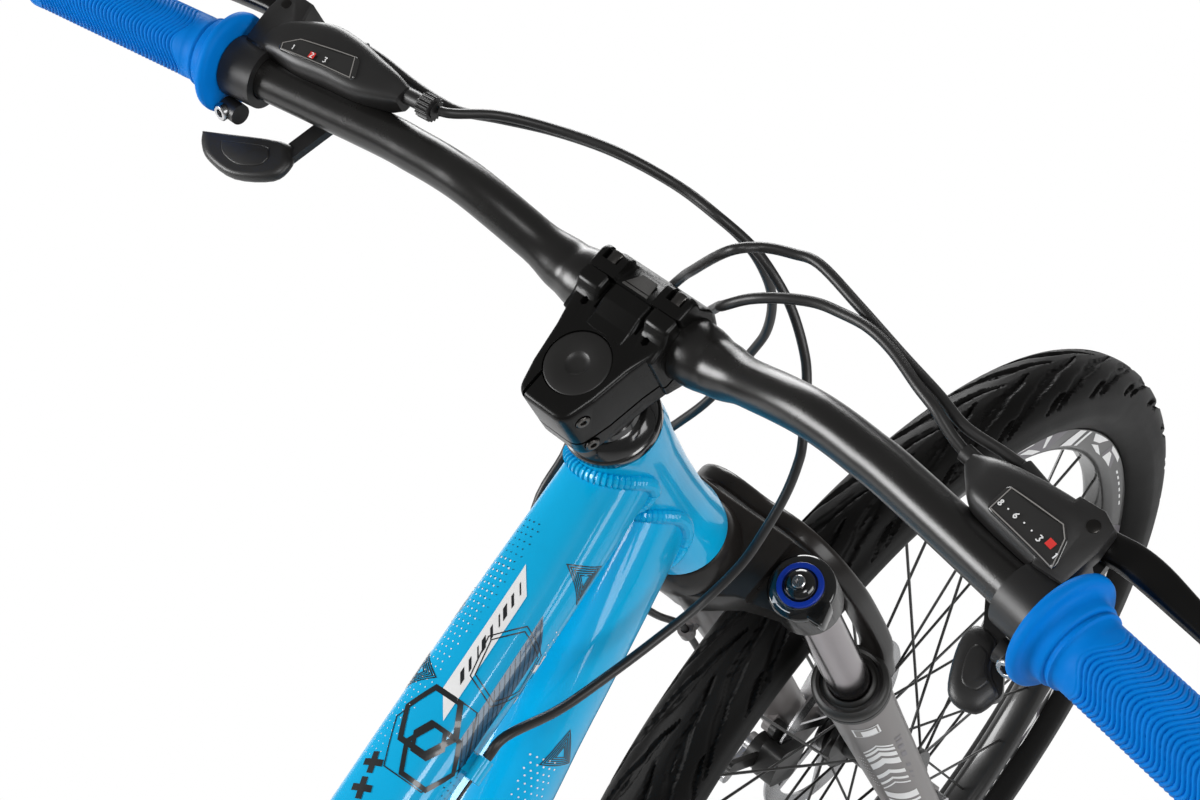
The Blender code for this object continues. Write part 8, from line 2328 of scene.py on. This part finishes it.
def build_frame(bike):
    """Everything that is fixed to the frame, its cables, and the saddle on its post."""
    front_triangle(bike)
    bearing("headset_upper_bearing", bike, HEAD_TOP - BEARING_HEIGHT)
    bearing("headset_lower_bearing", bike, HEAD_BOTTOM)
    rear_triangle(bike)
    bottom_bracket(bike)
    seat_clamp(bike)
    front_derailleur(bike)
    rear_derailleur(bike)
    derailleur_cage(bike)
    chain(bike)
    at = radial(REAR_AXLE + Y * REAR_ROTOR, REAR_CALIPER_ANGLE)
    caliper("rear_caliper", bike, at, REAR_STOP, REAR_ARM)
    caliper_arm("rear_caliper_arm", bike, at, REAR_ARM)
    rear_brake_cable(bike)
    rear_shift_cable(bike)
    front_shift_cable(bike)
    seat = bike @ axes(BB, X, SEAT_DIRECTION)
    seatpost(seat)
    rails = seat @ (saddle_level() @ Matrix.Translation((0, 0, RAIL_HEIGHT)))
    saddle_rails(rails)
    saddle(rails)


def build_drive(bike):
    """The rear wheel with its axle, the crank with its pedals, and the jockey wheels."""
    rear = bike @ Matrix.Translation(REAR_AXLE)
    wheel_body("rear", rear, REAR_FLANGES, *REAR_HUB, REAR_ROTOR, True)
    cassette(rear)
    axle("rear_axle", rear, REAR_OLD, DROPOUT)
    cam_lever("rear_axle_lever", rear, REAR_OLD / 2 + DROPOUT, REAR_LEVER_ANGLE)
    crank = bike @ Matrix.Translation(BB)
    crank_right(crank)
    crank_left(crank)
    chainrings(crank)
    for side, name in ((-1, "pedal_right"), (1, "pedal_left")):
        at = Matrix.Translation((CRANK_LENGTH * -side, side * (CRANK_PLANE + 0.0080), 0))
        pedal(name, crank @ at, side)
    for name, point in zip(("guide_pulley", "tension_pulley"), pulley_centres()):
        pulley(name, bike @ Matrix.Translation((point.x, CHAIN_PLANE, point.z)))


def build_steering(steering):
    """Everything above the lower legs that turns with the bar."""
    fork_crown(steering)
    stanchion("stanchion_left", steering, 1)
    stanchion("stanchion_right", steering, -1)
    lockout_dial(steering @ leg_place(-1))
    headset_cover(steering)
    stem(steering)
    stem_faceplate(steering)
    stem_top_cap(steering)
    handlebar(steering)
    front_brake_cable(steering)
    for side, name, stations, paddle in ((1, "left", POD_LEFT, PADDLE_LEFT),
                                         (-1, "right", POD_RIGHT, PADDLE_RIGHT)):
        grip("grip_" + name, steering, side)
        control("control_" + name, steering, side, stations)
        brake_lever("brake_lever_" + name, steering, side)
        thumb_lever("thumb_lever_" + name, steering, side, paddle)


def build_lowers(slide):
    """The lower legs with the front brake, axle and wheel."""
    fork_lowers(slide)
    axle_at = Vector((AXLE_OFFSET, 0, AXLE_DEPTH))
    at = radial(axle_at + Y * FRONT_ROTOR, FRONT_CALIPER_ANGLE)
    caliper("front_caliper", slide, at, FRONT_STOP, FRONT_ARM)
    caliper_arm("front_caliper_arm", slide, at, FRONT_ARM)
    fixed = slide @ Matrix.Translation(axle_at)
    axle("front_axle", fixed, FRONT_OLD, FORK_DROPOUT)
    cam_lever("front_axle_lever", fixed, FRONT_OLD / 2 + FORK_DROPOUT, FRONT_LEVER_ANGLE)
    upright = Matrix.Rotation(math.atan2(TURNED_FORWARD.z, UP.z), 4, "Y")
    front = slide @ (Matrix.Translation(axle_at) @ upright)
    wheel_body("front", front, FRONT_FLANGES, *FRONT_HUB, FRONT_ROTOR, False)


def camera():
    """The photograph's own view, from behind the rider's right shoulder."""
    def steer(x, y, u):
        """A direction or offset in steering coordinates."""
        return TURNED_FORWARD * x + TURNED_LEFT * y + UP * u

    right, ahead = steer(*CAMERA_RIGHT), steer(*CAMERA_AHEAD)
    ahead.normalize()
    right = (right - ahead * right.dot(ahead)).normalized()
    down = ahead.cross(right)
    data = bpy.data.cameras.new("camera")
    data.sensor_width = 36.0
    data.lens = data.sensor_width * FOCAL_PIXELS / PHOTO_WIDTH
    data.clip_start = 0.02
    data.clip_end = 60
    item = bpy.data.objects.new("camera", data)
    bpy.context.scene.collection.objects.link(item)
    turn = Matrix((right, -down, -ahead)).transposed().to_4x4()
    item.matrix_world = Matrix.Translation(STEM_TOP + steer(*CAMERA_AT)) @ turn
    bpy.context.scene.camera = item


def lamp(name, at, size, power):
    """A soft rectangular lamp, aimed at the bike's middle."""
    data = bpy.data.lights.new(name, "AREA")
    data.shape = "RECTANGLE"
    data.size, data.size_y = size
    data.energy = power
    item = bpy.data.objects.new(name, data)
    bpy.context.scene.collection.objects.link(item)
    item.location = at
    item.rotation_euler = (LAMP_AIM - Vector(at)).to_track_quat("-Z", "Y").to_euler()


def two_faced(tree, lighting, seen, surface):
    """Show the camera one shader and light the scene with another."""
    pick = node(tree, "ShaderNodeMixShader")
    path = node(tree, "ShaderNodeLightPath")
    tree.links.new(path.outputs["Is Camera Ray"], pick.inputs["Fac"])
    tree.links.new(lighting, pick.inputs[1])
    tree.links.new(seen, pick.inputs[2])
    tree.links.new(pick.outputs["Shader"], surface)


def floor_plane():
    """A square floor just under the tyres."""
    bm = bmesh.new()
    corners = [(-1, -1), (1, -1), (1, 1), (-1, 1)]
    bm.faces.new([bm.verts.new((x * FLOOR_HALF, y * FLOOR_HALF, FLOOR_LEVEL)) for x, y in corners])
    item = shape(bm)
    item.name = "floor"
    return item


def studio():
    """A white floor and surround, with soft lamps to the sides and a key lamp behind on the left."""
    world = bpy.data.worlds.new("studio")
    bpy.context.scene.world = world
    world.use_nodes = True
    tree = world.node_tree
    tree.nodes.clear()
    out = node(tree, "ShaderNodeOutputWorld")
    seen = node(tree, "ShaderNodeBackground", Color=WHITE, Strength=1.0)
    soft = node(tree, "ShaderNodeBackground", Color=WHITE, Strength=0.20)
    two_faced(tree, soft.outputs["Background"], seen.outputs["Background"], out.inputs["Surface"])
    floor = floor_plane()
    paint = bpy.data.materials.new("look_floor")
    paint.use_nodes = True
    tree = paint.node_tree
    shader = tree.nodes["Principled BSDF"]
    shader.inputs["Base Color"].default_value = (0.8, 0.8, 0.8, 1)
    shader.inputs["Roughness"].default_value = 0.7
    glow = node(tree, "ShaderNodeEmission", Color=WHITE, Strength=1.0)
    out = tree.nodes["Material Output"]
    two_faced(tree, shader.outputs["BSDF"], glow.outputs["Emission"], out.inputs["Surface"])
    floor.data.materials.append(paint)
    for row in LAMPS:
        lamp(*row)


build_frame(UPRIGHT)
build_drive(UPRIGHT)
STEERING = Matrix.Translation(STEM_TOP) @ Matrix((TURNED_FORWARD, TURNED_LEFT, UP)).transposed().to_4x4()
build_steering(STEERING)
build_lowers(STEERING)
camera()
studio()
bpy.context.scene.view_settings.view_transform = "Standard"
